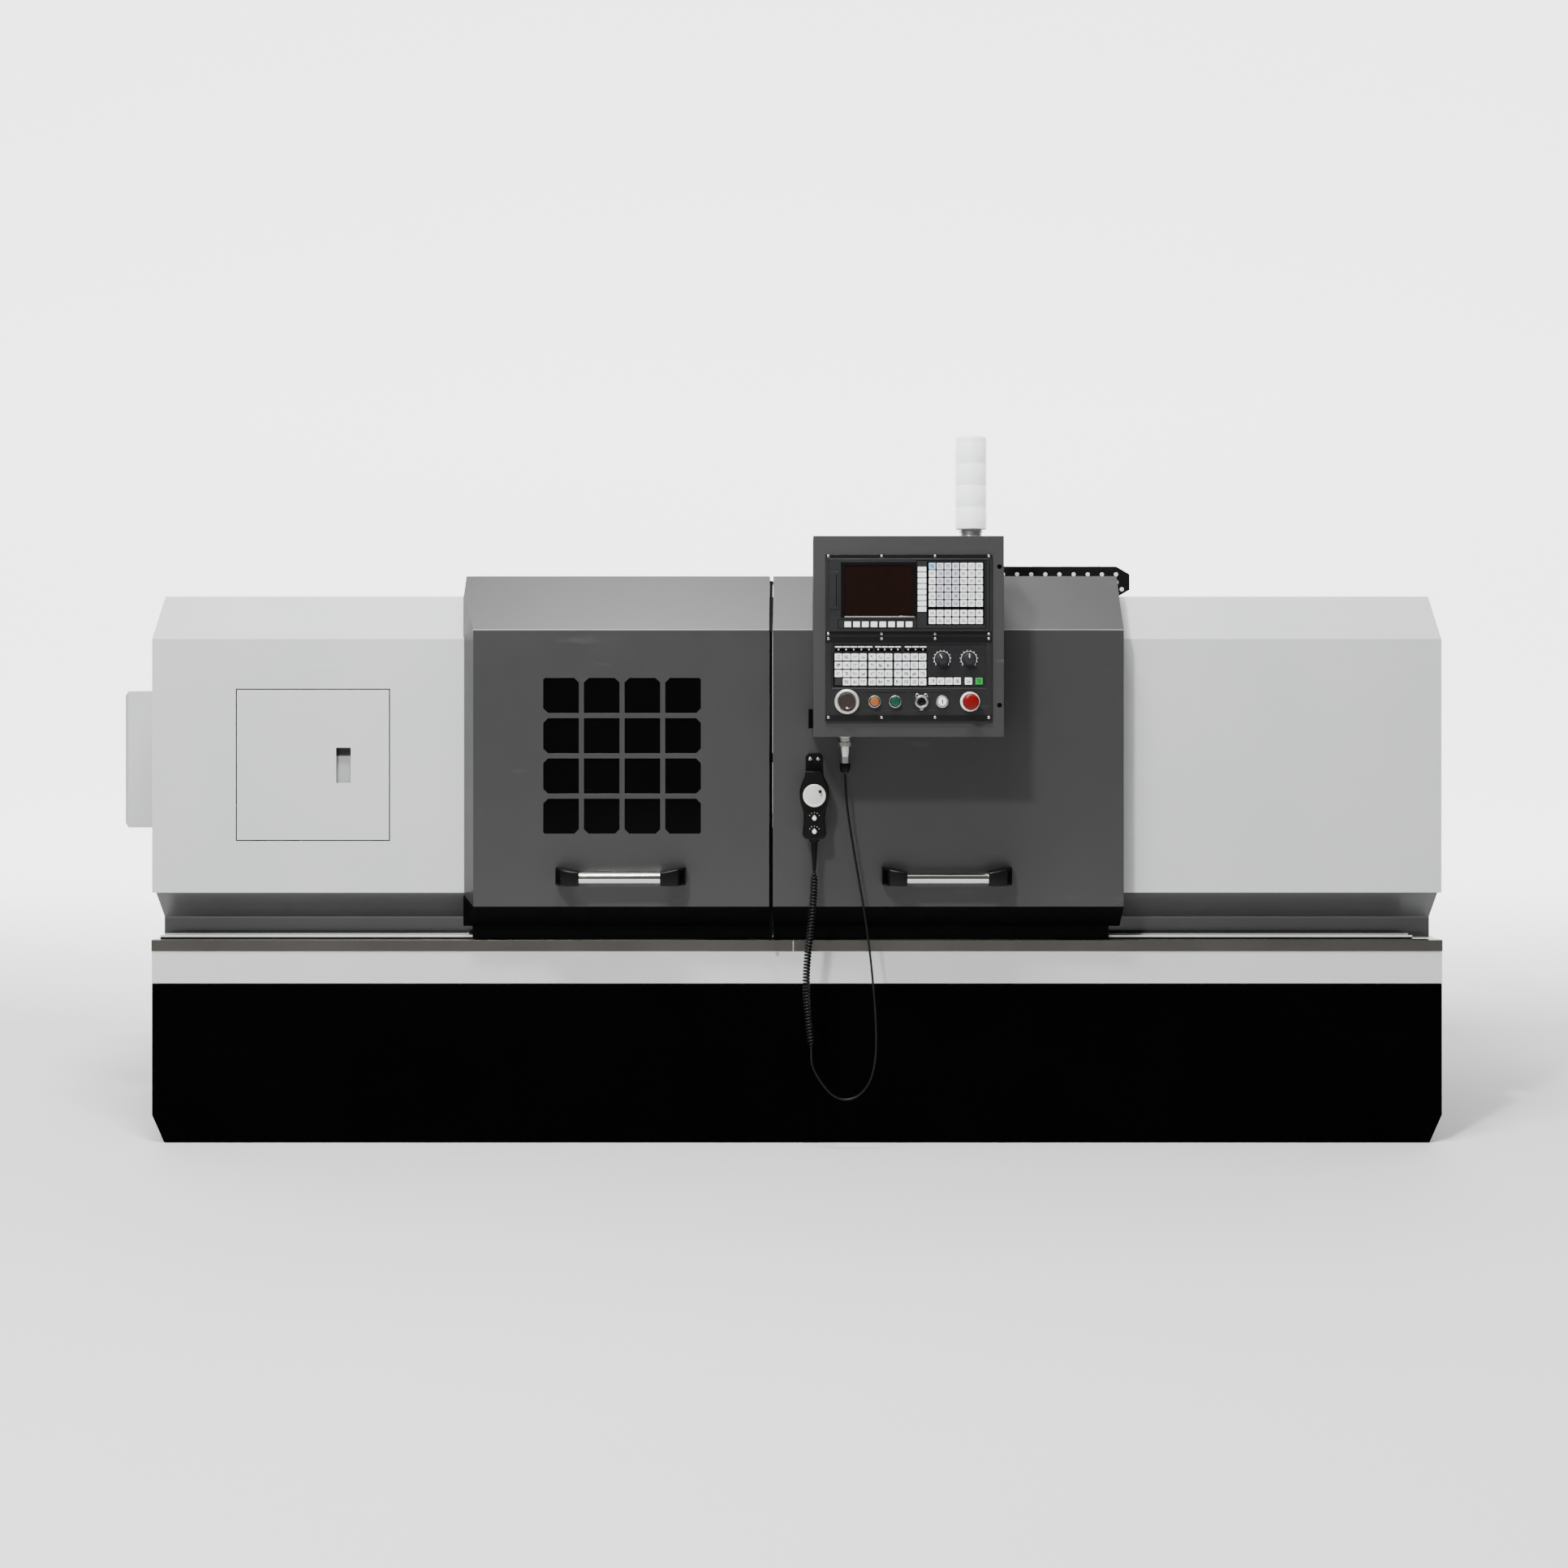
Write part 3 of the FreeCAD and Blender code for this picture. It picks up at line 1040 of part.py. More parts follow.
def turret_foot_z():
    return CROSS_Z + 62 + SHOE_CLEARANCE


def tool_turret():
    """Square turret head with a slot on each side for a tool shank."""
    cx = CARRIAGE_CENTRE_X
    half = TURRET_SIDE / 2
    z0 = turret_foot_z()
    z1 = z0 + TURRET_HEIGHT
    slot_top = SPINDLE_Z + 4
    corner = 18.0
    plan = [(cx - half + corner, TURRET_Y - half), (cx + half - corner, TURRET_Y - half),
            (cx + half, TURRET_Y - half + corner), (cx + half, TURRET_Y + half - corner),
            (cx + half - corner, TURRET_Y + half), (cx - half + corner, TURRET_Y + half),
            (cx - half, TURRET_Y + half - corner), (cx - half, TURRET_Y - half + corner)]
    head = prism_z(plan, z0, z1)
    slots = [turn_about_turret(box(cx - half - 1, cx + half + 1, TURRET_Y + half - TOOL_SHANK - 6, TURRET_Y + half + 1,
                                   slot_top - TOOL_SHANK - 8, slot_top), 90 * i) for i in range(TURRET_STATIONS)]
    socket = rod((cx, TURRET_Y, z0 - 1), ALONG_Z, 60 + 2 * RUNNING_CLEARANCE, 32)
    return cut(head, slots + [socket])


def turn_about_turret(shape, angle):
    shape = shape.copy()
    shape.rotate(Vector(CARRIAGE_CENTRE_X, TURRET_Y, 0), ALONG_Z, angle)
    return shape


def turning_tools():
    """One shank with its tip and two clamp screws in each slot."""
    cx = CARRIAGE_CENTRE_X
    half = TURRET_SIDE / 2
    floor = SPINDLE_Z + 4 - TOOL_SHANK - 8
    y0 = TURRET_Y + half - TOOL_SHANK - 6
    tools = []
    for i in range(TURRET_STATIONS):
        outline = [(-half + 20, y0), (half + TOOL_REACH, y0), (half + TOOL_REACH + 8, y0 + TOOL_SHANK),
                   (-half + 20, y0 + TOOL_SHANK)]
        shank = prism_z([(cx + x, y) for x, y in outline], floor, floor + TOOL_SHANK)
        grip = [box(cx + x - 6, cx + x + 6, y0 + 6, y0 + 18, floor + TOOL_SHANK, SPINDLE_Z + 4) for x in (-35, 25)]
        tools.append(turn_about_turret(fused([shank] + grip), 90 * i))
    return tools


# ---------------------------------------------------------------- tailstock
def tailstock():
    x0, x1 = TAILSTOCK_X
    gap = SLIDE_CLEARANCE
    front, rear = BED_FRONT_Y, BED_REAR_Y
    base = box(x0, x1, front - 10, rear + 10, WAY_Z + gap, WAY_Z + 90)
    groove = prism_x(way_outline(gap), x0 - 1, x1 + 1)
    outline = [(SPINDLE_Y - 120, WAY_Z + 89), (SPINDLE_Y + 120, WAY_Z + 89), (SPINDLE_Y + 75, SPINDLE_Z + 45),
               (SPINDLE_Y + 45, SPINDLE_Z + 75), (SPINDLE_Y - 45, SPINDLE_Z + 75), (SPINDLE_Y - 75, SPINDLE_Z + 45)]
    barrel = prism_x(outline, x0, x1)
    bore = rod((x0 - 1, SPINDLE_Y, SPINDLE_Z), ALONG_X, QUILL_D + 2 * RUNNING_CLEARANCE, x1 - x0 - 20)
    shaft = rod((x1 - 30, SPINDLE_Y, SPINDLE_Z), ALONG_X, 30 + 2 * RUNNING_CLEARANCE, 40)
    keeper = box(x0 + 40, x1 - 40, front + BED_WALL + 20, rear - BED_WALL - 20, WAY_Z - 40, WAY_Z + gap + 1)
    return cut(fused([base, barrel, keeper]), [groove, bore, shaft])


def quill():
    """Quill with its dead centre."""
    x0 = TAILSTOCK_X[0] - QUILL_NOSE
    body = rod((x0, SPINDLE_Y, SPINDLE_Z), ALONG_X, QUILL_D, QUILL_NOSE + 180)
    half = CENTRE_D / 2
    point = [(0, half), (78 - half * 1.73, half), (78, 0.4)]
    centre = turned_facets(point, (x0, SPINDLE_Y, SPINDLE_Z), Vector(-1, 0, 0), 16)
    return [body, centre]


def tail_wheel():
    """Handwheel on the quill's screw shaft, with a crank grip."""
    x1 = TAILSTOCK_X[1]
    rim = TAIL_WHEEL_D / 2
    shaft = prism_x(moved_outline(polygon(12, 15), SPINDLE_Y, SPINDLE_Z), x1 - 28, x1 + 31)
    wheel = prism_x(moved_outline(polygon(36, rim), SPINDLE_Y, SPINDLE_Z), x1 + 30, x1 + 46)
    windows = [prism_x(moved_outline(polygon(10, rim * 0.26), SPINDLE_Y + rim * 0.56 * math.cos(a),
                                     SPINDLE_Z + rim * 0.56 * math.sin(a)), x1 + 29, x1 + 47)
               for a in (math.pi / 2 + math.pi * 2 / 3 * (i + 0.5) for i in range(3))]
    grip = prism_x(moved_outline(polygon(12, 11), SPINDLE_Y, SPINDLE_Z + rim - 20), x1 + 45, x1 + 110)
    return fused([shaft, cut(wheel, windows), grip])


# ---------------------------------------------------------------- operator box
def operator_box():
    x0, x1 = BOX_X
    z0, z1 = BOX_Z
    sheet = BOX_SHEET
    rear = DOOR_FRONT_Y - BOX_SPACER
    shell = box(x0, x1, BOX_FRONT_Y, rear, z0, z1)
    room = box(x0 + sheet, x1 - sheet, BOX_FRONT_Y + sheet, rear - sheet, z0 + sheet, z1 - sheet)
    px0, px1 = PANEL_X
    edge = PANEL_EDGE
    unit_hole = box(px0 + edge, px1 - edge, BOX_FRONT_Y - 1, BOX_FRONT_Y + sheet + 1, UNIT_Z[0] + edge, UNIT_Z[1] - edge)
    panel_hole = box(px0 + edge, px1 - edge, BOX_FRONT_Y - 1, BOX_FRONT_Y + sheet + 1, PANEL_Z[0] + edge,
                     PANEL_Z[1] - edge)
    knockouts = [round_prism_y(x1 - 11, z, 12, BOX_FRONT_Y - 1, BOX_FRONT_Y + sheet + 1, 10) for z in (z1 - 76, z0 + 78)]
    spacer = box(x0 + 60, x1 - 60, rear, DOOR_FRONT_Y, z0 + 40, DOOR_BEND_Z - 20)
    spacer_room = box(x0 + 90, x1 - 90, rear - 1, DOOR_FRONT_Y + 1, z0 + 70, DOOR_BEND_Z - 50)
    bracket = box(x0 - 12, x0, DOOR_FRONT_Y - 90, DOOR_FRONT_Y - 30, z0 + 18, z0 + 67)
    return fused([cut(shell, [room, unit_hole, panel_hole, spacer_room] + knockouts), spacer.cut(spacer_room), bracket])


def key(x, z, width, height, front):
    """One key standing proud of a panel face."""
    return box(x, x + width, front - KEY_HEIGHT, front, z - height, z)


def control_unit():
    """Screen and keypad unit: front plate with flanges and its body inside the box."""
    px0, px1 = PANEL_X
    z0, z1 = UNIT_Z
    front = PANEL_FRONT_Y
    plate = box(px0, px1, front, BOX_FRONT_Y, z0, z1)
    body = box(px0 + 12, px1 - 12, BOX_FRONT_Y, BOX_FRONT_Y + UNIT_BODY_DEPTH, z0 + 12, z1 - 12)
    raised = box(px0 + 8, px1 - 8, front - 5, front, z0 + 11, z1 - 11)
    sx0, sx1, sz0, sz1 = SCREEN
    recess = box(sx0, sx1, front - 6, front - 5 + SCREEN_DEPTH, sz0, sz1)
    return cut(fused([plate, body, raised]), [recess])


def screen():
    sx0, sx1, sz0, sz1 = SCREEN
    front = PANEL_FRONT_Y - 5 + SCREEN_DEPTH
    return box(sx0 + 0.3, sx1 - 0.3, front - 2, front, sz0 + 0.3, sz1 - 0.3)


def machine_panel():
    """Front plate of the machine controls with a sunk key field and the bosses of the round controls."""
    px0, px1 = PANEL_X
    z0, z1 = PANEL_Z
    front = PANEL_FRONT_Y
    rx0, rx1, rz0, rz1 = RECESS
    plate = box(px0, px1, front, BOX_FRONT_Y, z0, z1)
    backing = box(px0 + 12, px1 - 12, BOX_FRONT_Y, BOX_FRONT_Y + 45, z0 + 12, z1 - 12)
    recess = box(rx0, rx1, front - 1, front + RECESS_DEPTH, rz0, rz1)
    bosses = []
    for x, diameter, proud in ((PULSE_WHEEL_X, WHEEL_RING_D, WHEEL_RING_HEIGHT), (START_X, BEZEL_D, BEZEL_HEIGHT),
                               (STOP_X, BEZEL_D, BEZEL_HEIGHT), (KEY_SWITCH_X, BEZEL_D, BEZEL_HEIGHT),
                               (ESTOP_X, ESTOP_COLLAR_D, ESTOP_COLLAR_HEIGHT)):
        bosses.append(round_prism_y(x, CONTROL_Z, diameter, front - proud, front + 1, SMALL_SIDES))
    port_ears = box(PORT_X - 21, PORT_X + 21, front - 3, front, CONTROL_Z - 12, CONTROL_Z + 12)
    port = round_prism_y(PORT_X, CONTROL_Z, 26, front - 8, front + 1, 16)
    socket = prism_y(moved_outline(polygon(8, 9), PORT_X, CONTROL_Z), front - 9, front - 1)
    panel = cut(fused([plate, backing] + bosses + [port_ears, port]), [recess, socket])
    hole_d = STEM_D + 2 * STEM_CLEARANCE
    stems = []
    for x, z in [(x, CONTROL_Z) for x in (PULSE_WHEEL_X, START_X, STOP_X, KEY_SWITCH_X, ESTOP_X)] + [
            (x, OVERRIDE_Z) for x in OVERRIDE_X]:
        stems.append(round_prism_y(x, z, hole_d / math.cos(math.pi / 8), front - 10, front + 30, 8))
    return cut(panel, stems)


def panel_keys():
    """Key mats of both panels: soft keys, keypad rows, function rows and the cycle keys."""
    front = PANEL_FRONT_Y - 5
    left = PANEL_X[0]
    keys = [key(left + 47.0 + i * 21.7, UNIT_Z[0] + 36.0, 17.0, 16.0, front) for i in range(8)]
    keys += [key(left + 228.0, UNIT_Z[1] - 30.0 - i * 14.2, 20.0, 11.6, front) for i in range(8)]
    for row in range(8):
        top = UNIT_Z[1] - 20.5 - row * 18.3 - (0.0 if row < 6 else 5.5)
        keys.append(key(left + 253.0, top, 135.0, 16.8, front))
    field = PANEL_FRONT_Y + RECESS_DEPTH
    for row in range(4):
        top = RECESS[3] - 24.5 - row * 20.4
        for start, count in ((22.0, 4), (105.5, 3), (169.0, 4)):
            keys.append(key(left + start, top, 20.4 * (count - 1) + 17.4, 17.4, field))
    for start in (254.0, 274.6, 295.2, 315.8, 343.0, 368.5):
        keys.append(key(left + start, RECESS[2] + 26.0, 18.0, 17.8, field))
    return keys


def stem(x, z, front, sides, turn=0.0):
    """Stem behind a control, in its hole in the panel."""
    outline = moved_outline(polygon(sides, STEM_D / 2, turn), x, z)
    return prism_y(outline, front, front + STEM_LENGTH)


def push_button(x):
    """Flat cap that stands clear of its bezel by its travel."""
    back = PANEL_FRONT_Y - BEZEL_HEIGHT - BUTTON_TRAVEL - 0.5
    cap = prism_y(moved_outline(polygon(SMALL_SIDES, BUTTON_D / 2), x, CONTROL_Z), back - 7, back)
    return fused([cap, stem(x, CONTROL_Z, back - 0.5, 4, math.pi / 4)])


def emergency_stop():
    back = PANEL_FRONT_Y - ESTOP_COLLAR_HEIGHT - ESTOP_TRAVEL - 0.5
    radius = ESTOP_CAP_D / 2
    profile = [(0, radius - 5), (8, radius - 4), (12, radius), (24, radius), (28, radius - 4), (30, radius - 11)]
    cap = turned_facets(profile, (ESTOP_X, back, CONTROL_Z), Vector(0, -1, 0), SMALL_SIDES)
    return fused([cap, stem(ESTOP_X, CONTROL_Z, back - 2, 6)])


def key_switch():
    """Lock barrel with its key slot."""
    back = PANEL_FRONT_Y - BEZEL_HEIGHT - STEM_CLEARANCE
    barrel = prism_y(moved_outline(polygon(SMALL_SIDES, LOCK_BARREL_D / 2), KEY_SWITCH_X, CONTROL_Z), back - 5, back)
    slot = box(KEY_SWITCH_X - 1.6, KEY_SWITCH_X + 1.6, back - 6, back - 2, CONTROL_Z - 6, CONTROL_Z + 6)
    return fused([barrel.cut(slot), stem(KEY_SWITCH_X, CONTROL_Z, back - 0.5, 6)])


def pulse_wheel():
    back = PANEL_FRONT_Y - WHEEL_RING_HEIGHT - STEM_CLEARANCE
    radius = PULSE_WHEEL_D / 2
    disc = turned_facets([(0, radius), (9, radius), (12, radius - 2)], (PULSE_WHEEL_X, back, CONTROL_Z),
                         Vector(0, -1, 0), DIAL_SIDES)
    return fused([disc, stem(PULSE_WHEEL_X, CONTROL_Z, back - 0.5, 6)])


def override_knob(x):
    """Fluted skirt with a raised pointer bar."""
    field = PANEL_FRONT_Y + RECESS_DEPTH - STEM_CLEARANCE
    skirt_outline = moved_outline(polygon(20, 17), x, OVERRIDE_Z)
    skirt_ring = prism_y(skirt_outline, field - 6, field)
    grip = prism_y(moved_outline(polygon(12, 12.5), x, OVERRIDE_Z), field - 18, field - 5)
    return fused([skirt_ring, grip, stem(x, OVERRIDE_Z, field - 0.5, 6)])


def signal_tower():
    """Column of stacked lenses on a narrower clamp base."""
    z0 = BOX_Z[1]
    top = TOWER_TOP_Z - z0
    foot = prism_z(moved_outline(polygon(DIAL_SIDES, TOWER_FOOT_D / 2), TOWER_X, TOWER_Y), z0, z0 + TOWER_FOOT_HEIGHT)
    lenses = prism_z(moved_outline(polygon(DIAL_SIDES, TOWER_D / 2), TOWER_X, TOWER_Y), z0 + TOWER_FOOT_HEIGHT, z0 + top)
    return fused([foot, lenses])


# ---------------------------------------------------------------- pendant and cord
def cord_connector():
    """Screw connector under the box, tapering to the cord."""
    z0 = BOX_Z[0]
    foot = z0 - CORD_STRAIGHT_XZ[0][1]
    profile = [(0, 20), (5, 20), (6, 14), (16, 14), (17, 16.5), (28, 16.5), (29, 12.5), (55, 9.5), (72, 10.5), (74, 13.5),
               (foot, 8)]
    return turned_facets(profile, (CONNECTOR_X, CORD_Y, z0), Vector(0, 0, -1), CONNECTOR_SIDES)


def pendant_hook():
    """Hanging plate screwed to the door, with a ledge under the pendant's hook."""
    front = DOOR_FRONT_Y
    low = PENDANT_DIAL_Z + 40
    plate = prism_y([(PENDANT_X - 22, low), (PENDANT_X + 22, low), (PENDANT_X + 22, HOOK_TOP_Z - 8),
                     (PENDANT_X + 14, HOOK_TOP_Z), (PENDANT_X - 14, HOOK_TOP_Z), (PENDANT_X - 22, HOOK_TOP_Z - 8)],
                    front - 5, front)
    back = PENDANT_Y + PENDANT_THICKNESS / 2
    ledge = box(PENDANT_X - 12, PENDANT_X + 12, back, front - 4, low, low + 14)
    screws = [prism_y(moved_outline(polygon(10, 5), PENDANT_X + s * 10, HOOK_TOP_Z - 14), front - 9, front - 4)
              for s in (-1, 1)]
    return fused([plate, ledge] + screws)


def pendant_body():
    """Hand unit: wide head round the dial, narrow waist, wider foot, and a strain relief below."""
    half = [(20, 61), (30, 44), (38, 19), (38, -21), (29, -48), (27, -66), (29, -91), (26, -108), (14, -112)]
    half = [(x, PENDANT_DIAL_Z + rise) for x, rise in half]
    outline = [(PENDANT_X + x, z) for x, z in half] + [(PENDANT_X - x, z) for x, z in reversed(half)]
    y0, y1 = PENDANT_Y - PENDANT_THICKNESS / 2, PENDANT_Y + PENDANT_THICKNESS / 2
    body = prism_y(outline, y0, y1)
    relief = turned_facets([(0, 10), (RELIEF_LENGTH, 5.5)], (PENDANT_X, PENDANT_Y, RELIEF_TOP_Z), Vector(0, 0, -1), 10)
    holes = [prism_y(moved_outline(polygon(6, 5), PENDANT_X, z), y0 - 1, y0 + 12) for z in (PENDANT_DIAL_Z, *SELECTOR_Z)]
    return cut(fused([body, relief]), holes)


def pendant_control(z, outline, height):
    """Dial or selector standing on the pendant's face, with a square stem in its hole."""
    y0 = PENDANT_Y - PENDANT_THICKNESS / 2 - STEM_CLEARANCE
    cap = prism_y(moved_outline(outline, PENDANT_X, z), y0 - height, y0)
    spindle_stem = prism_y(moved_outline(polygon(6, 3.8), PENDANT_X, z), y0 - 0.5, y0 + 9)
    return fused([cap, spindle_stem])


def pendant_dial():
    y0 = PENDANT_Y - PENDANT_THICKNESS / 2 - STEM_CLEARANCE
    radius = PENDANT_DIAL_D / 2
    disc = turned_facets([(0, radius), (9, radius), (11, radius - 2)], (PENDANT_X, y0, PENDANT_DIAL_Z),
                         Vector(0, -1, 0), DIAL_SIDES)
    crank = prism_y(moved_outline(polygon(10, 5), PENDANT_X, PENDANT_DIAL_Z + 19), y0 - 20, y0 - 10)
    spindle_stem = prism_y(moved_outline(polygon(6, 3.8), PENDANT_X, PENDANT_DIAL_Z), y0 - 0.5, y0 + 9)
    return fused([disc, crank, spindle_stem])


def rounded_path(points):
    """Straight runs joined by tangent arcs, each as large as its two runs allow; also gives the radii."""
    edges = []
    radii = []
    start = points[0]
    for before, corner, after in zip(points, points[1:], points[2:]):
        arrive = (corner - before).normalize()
        leave = (after - corner).normalize()
        turn = arrive.getAngle(leave)
        trim = 0.45 * min((corner - before).Length, (after - corner).Length)
        radius = trim / math.tan(turn / 2)
        radii.append(radius)
        first = corner - arrive * trim
        last = corner + leave * trim
        middle_dir = (leave - arrive).normalize()
        middle = corner + middle_dir * (radius / math.cos(turn / 2) - radius)
        edges.append(Part.LineSegment(start, first).toShape())
        edges.append(Part.Arc(first, middle, last).toShape())
        start = last
    edges.append(Part.LineSegment(start, points[-1]).toShape())
    return Part.Wire(edges), radii


def wire_section(centre, direction, radius, reference, sides):
    """Faceted section of the cord, square to its path."""
    side = reference.cross(direction).normalize()
    up = direction.cross(side).normalize()
    corners = [centre + side * x + up * y for x, y in polygon(sides, radius)]
    return Part.makePolygon(corners + [corners[0]])


def straight_cord():
    points = [Vector(x, CORD_Y, z) for x, z in CORD_STRAIGHT_XZ]
    path, radii = rounded_path(points)
    print("cord radii, mm:", [round(r) for r in radii], "length", round(path.Length, 1))
    section = wire_section(points[0], (points[1] - points[0]).normalize(), CORD_D / 2, ALONG_Y, CORD_SIDES)
    solid = path.makePipeShell([section], True, False)
    print("cord volume against section times length:",
          round(solid.Volume / (Part.Face(section).Area * path.Length), 4))
    return solid


def coil_line(t):
    """Middle line of the hanging coil, plumb at its foot, t = 0, and at the pendant, t = 1."""
    foot_x, foot_z = CORD_STRAIGHT_XZ[-1]
    ease = t * t * (3 - 2 * t)
    x = foot_x + (PENDANT_X - foot_x) * ease - COIL_SWAY * math.sin(math.pi * t ** 0.75) ** 2
    return Vector(x, CORD_Y, foot_z + (RELIEF_TOP_Z - RELIEF_LENGTH - foot_z) * t)


def coil_point(t):
    """Point on the helix, which draws in to its middle line over the first and last turns."""
    step = 1e-4
    ahead = (coil_line(min(t + step, 1.0)) - coil_line(max(t - step, 0.0))).normalize()
    side = ALONG_Y.cross(ahead).normalize()
    turns = COIL_TURNS * t
    lead = min(1.0, turns / COIL_LEAD_TURNS, (COIL_TURNS - turns) / COIL_LEAD_TURNS)
    radius = (COIL_OUTER_D - CORD_D) / 2 * lead * lead * (3 - 2 * lead)
    angle = 2 * math.pi * turns
    return coil_line(t) + side * (radius * math.cos(angle)) + ALONG_Y * (radius * math.sin(angle))


def tangent_arc(start, corner, end):
    """Arc that leaves start towards a corner and arrives at end from it."""
    chord = (start + end) * 0.5
    rise = (corner - chord).Length
    half = (end - start).Length / 2
    if rise < 1e-6:
        return Part.LineSegment(start, end).toShape()
    middle = chord + (corner - chord) * (half * math.tan(math.atan2(rise, half) / 2) / rise)
    return Part.Arc(start, middle, end).toShape()


def biarc(p0, t0, p1, t1):
    """Two arcs that join two points along their directions."""
    v = p1 - p0
    total = t0 + t1
    a = 2 * (t0.dot(t1) - 1)
    b = -2 * v.dot(total)
    c = v.dot(v)
    reach = (-b - math.sqrt(b * b - 4 * a * c)) / (2 * a) if abs(a) > 1e-9 else -c / b
    first = p0 + t0 * reach
    second = p1 - t1 * reach
    joint = (first + second) * 0.5
    return [tangent_arc(p0, first, joint), tangent_arc(joint, second, p1)]


def curly_cord():
    """Faceted wire on arcs of about a quarter turn along the helix."""
    steps = COIL_TURNS * 2
    step = 1e-4
    places = [i / steps for i in range(steps + 1)]
    points = [coil_point(t) for t in places]
    ways = [(coil_point(min(t + step, 1.0)) - coil_point(max(t - step, 0.0))).normalize() for t in places]
    edges = []
    for i in range(steps):
        edges += biarc(points[i], ways[i], points[i + 1], ways[i + 1])
    path = Part.Wire(edges)
    fine = [coil_point(i / (steps * 8)) for i in range(steps * 8 + 1)]
    gap = min((p - q).Length for i, p in enumerate(fine) for q in fine[i + 12:i + 21]) - CORD_D
    print("coil length, mm:", round(path.Length, 1), "least gap between curls, mm:", round(gap, 2))
    section = wire_section(points[0], ways[0], CORD_D / 2, ALONG_Y, CURL_SIDES)
    return path.makePipeShell([section], True, False)


# ---------------------------------------------------------------- cable chain
def chain_link(x, z):
    """Closed frame link along +X from its left pin."""
    y0, y1 = CHAIN_Y
    half = CHAIN_LINK_HEIGHT / 2
    length = CHAIN_PITCH - SHOE_CLEARANCE
    frame = box(x, x + length, y0, y1, z - half, z + half)
    hollow = box(x - 1, x + length + 1, y0 + CHAIN_PLATE, y1 - CHAIN_PLATE, z - half + CHAIN_BRIDGE, z + half - CHAIN_BRIDGE)
    return frame.cut(hollow)


def chain_levels():
    low = HOUSING_ROOF_Z + SHOE_CLEARANCE + CHAIN_LINK_HEIGHT / 2
    return low, low + 2 * CHAIN_BEND_RADIUS


def chain_upper():
    low, high = chain_levels()
    x0 = CHAIN_BEND_X - CHAIN_UPPER_LINKS * CHAIN_PITCH
    links = [chain_link(x0 + i * CHAIN_PITCH, high) for i in range(CHAIN_UPPER_LINKS)]
    return links


def chain_bracket():
    """Angle on the right door's roof that carries the chain's moving end."""
    low, high = chain_levels()
    x0 = CHAIN_BEND_X - CHAIN_UPPER_LINKS * CHAIN_PITCH
    half = CHAIN_LINK_HEIGHT / 2
    y_roof = DOOR_FRONT_Y + DOOR_SLOPE_DEPTH + DOOR_ROOF_DEPTH
    foot = box(x0 - 60, x0, y_roof - 40, CHAIN_Y[1], DOOR_ROOF_Z, DOOR_ROOF_Z + 3)
    wall = box(x0 - 4, x0, CHAIN_Y[0], CHAIN_Y[1], DOOR_ROOF_Z + 2, high + half)
    return fused([foot, wall])


def chain_bend():
    """Three fused links round the bend at the chain's right end."""
    low, high = chain_levels()
    half = CHAIN_LINK_HEIGHT / 2
    y0, y1 = CHAIN_Y
    frame = prism_y(half_ring(CHAIN_BEND_RADIUS - half, CHAIN_BEND_RADIUS + half, 0), y0, y1)
    hollow = prism_y(half_ring(CHAIN_BEND_RADIUS - half + CHAIN_BRIDGE, CHAIN_BEND_RADIUS + half - CHAIN_BRIDGE, 1),
                     y0 + CHAIN_PLATE, y1 - CHAIN_PLATE)
    return frame.cut(hollow)


def half_ring(inner, outer, beyond):
    """Half ring in (x, z) in three flats, open to the left and carried past its ends."""
    middle = sum(chain_levels()) / 2
    angles = [math.pi * (i / 3 - 0.5) for i in range(4)]
    ring = [(CHAIN_BEND_X + outer * math.cos(a), middle + outer * math.sin(a)) for a in angles]
    core = [(CHAIN_BEND_X + inner * math.cos(a), middle + inner * math.sin(a)) for a in reversed(angles)]
    if beyond:
        left = CHAIN_BEND_X - beyond
        ring = [(left, ring[0][1])] + ring + [(left, ring[-1][1])]
        core = [(left, core[0][1])] + core + [(left, core[-1][1])]
    return ring + core


def chain_lower():
    low, high = chain_levels()
    x0 = CHAIN_BEND_X - CHAIN_LOWER_LINKS * CHAIN_PITCH
    return [chain_link(x0 + i * CHAIN_PITCH, low) for i in range(CHAIN_LOWER_LINKS)]


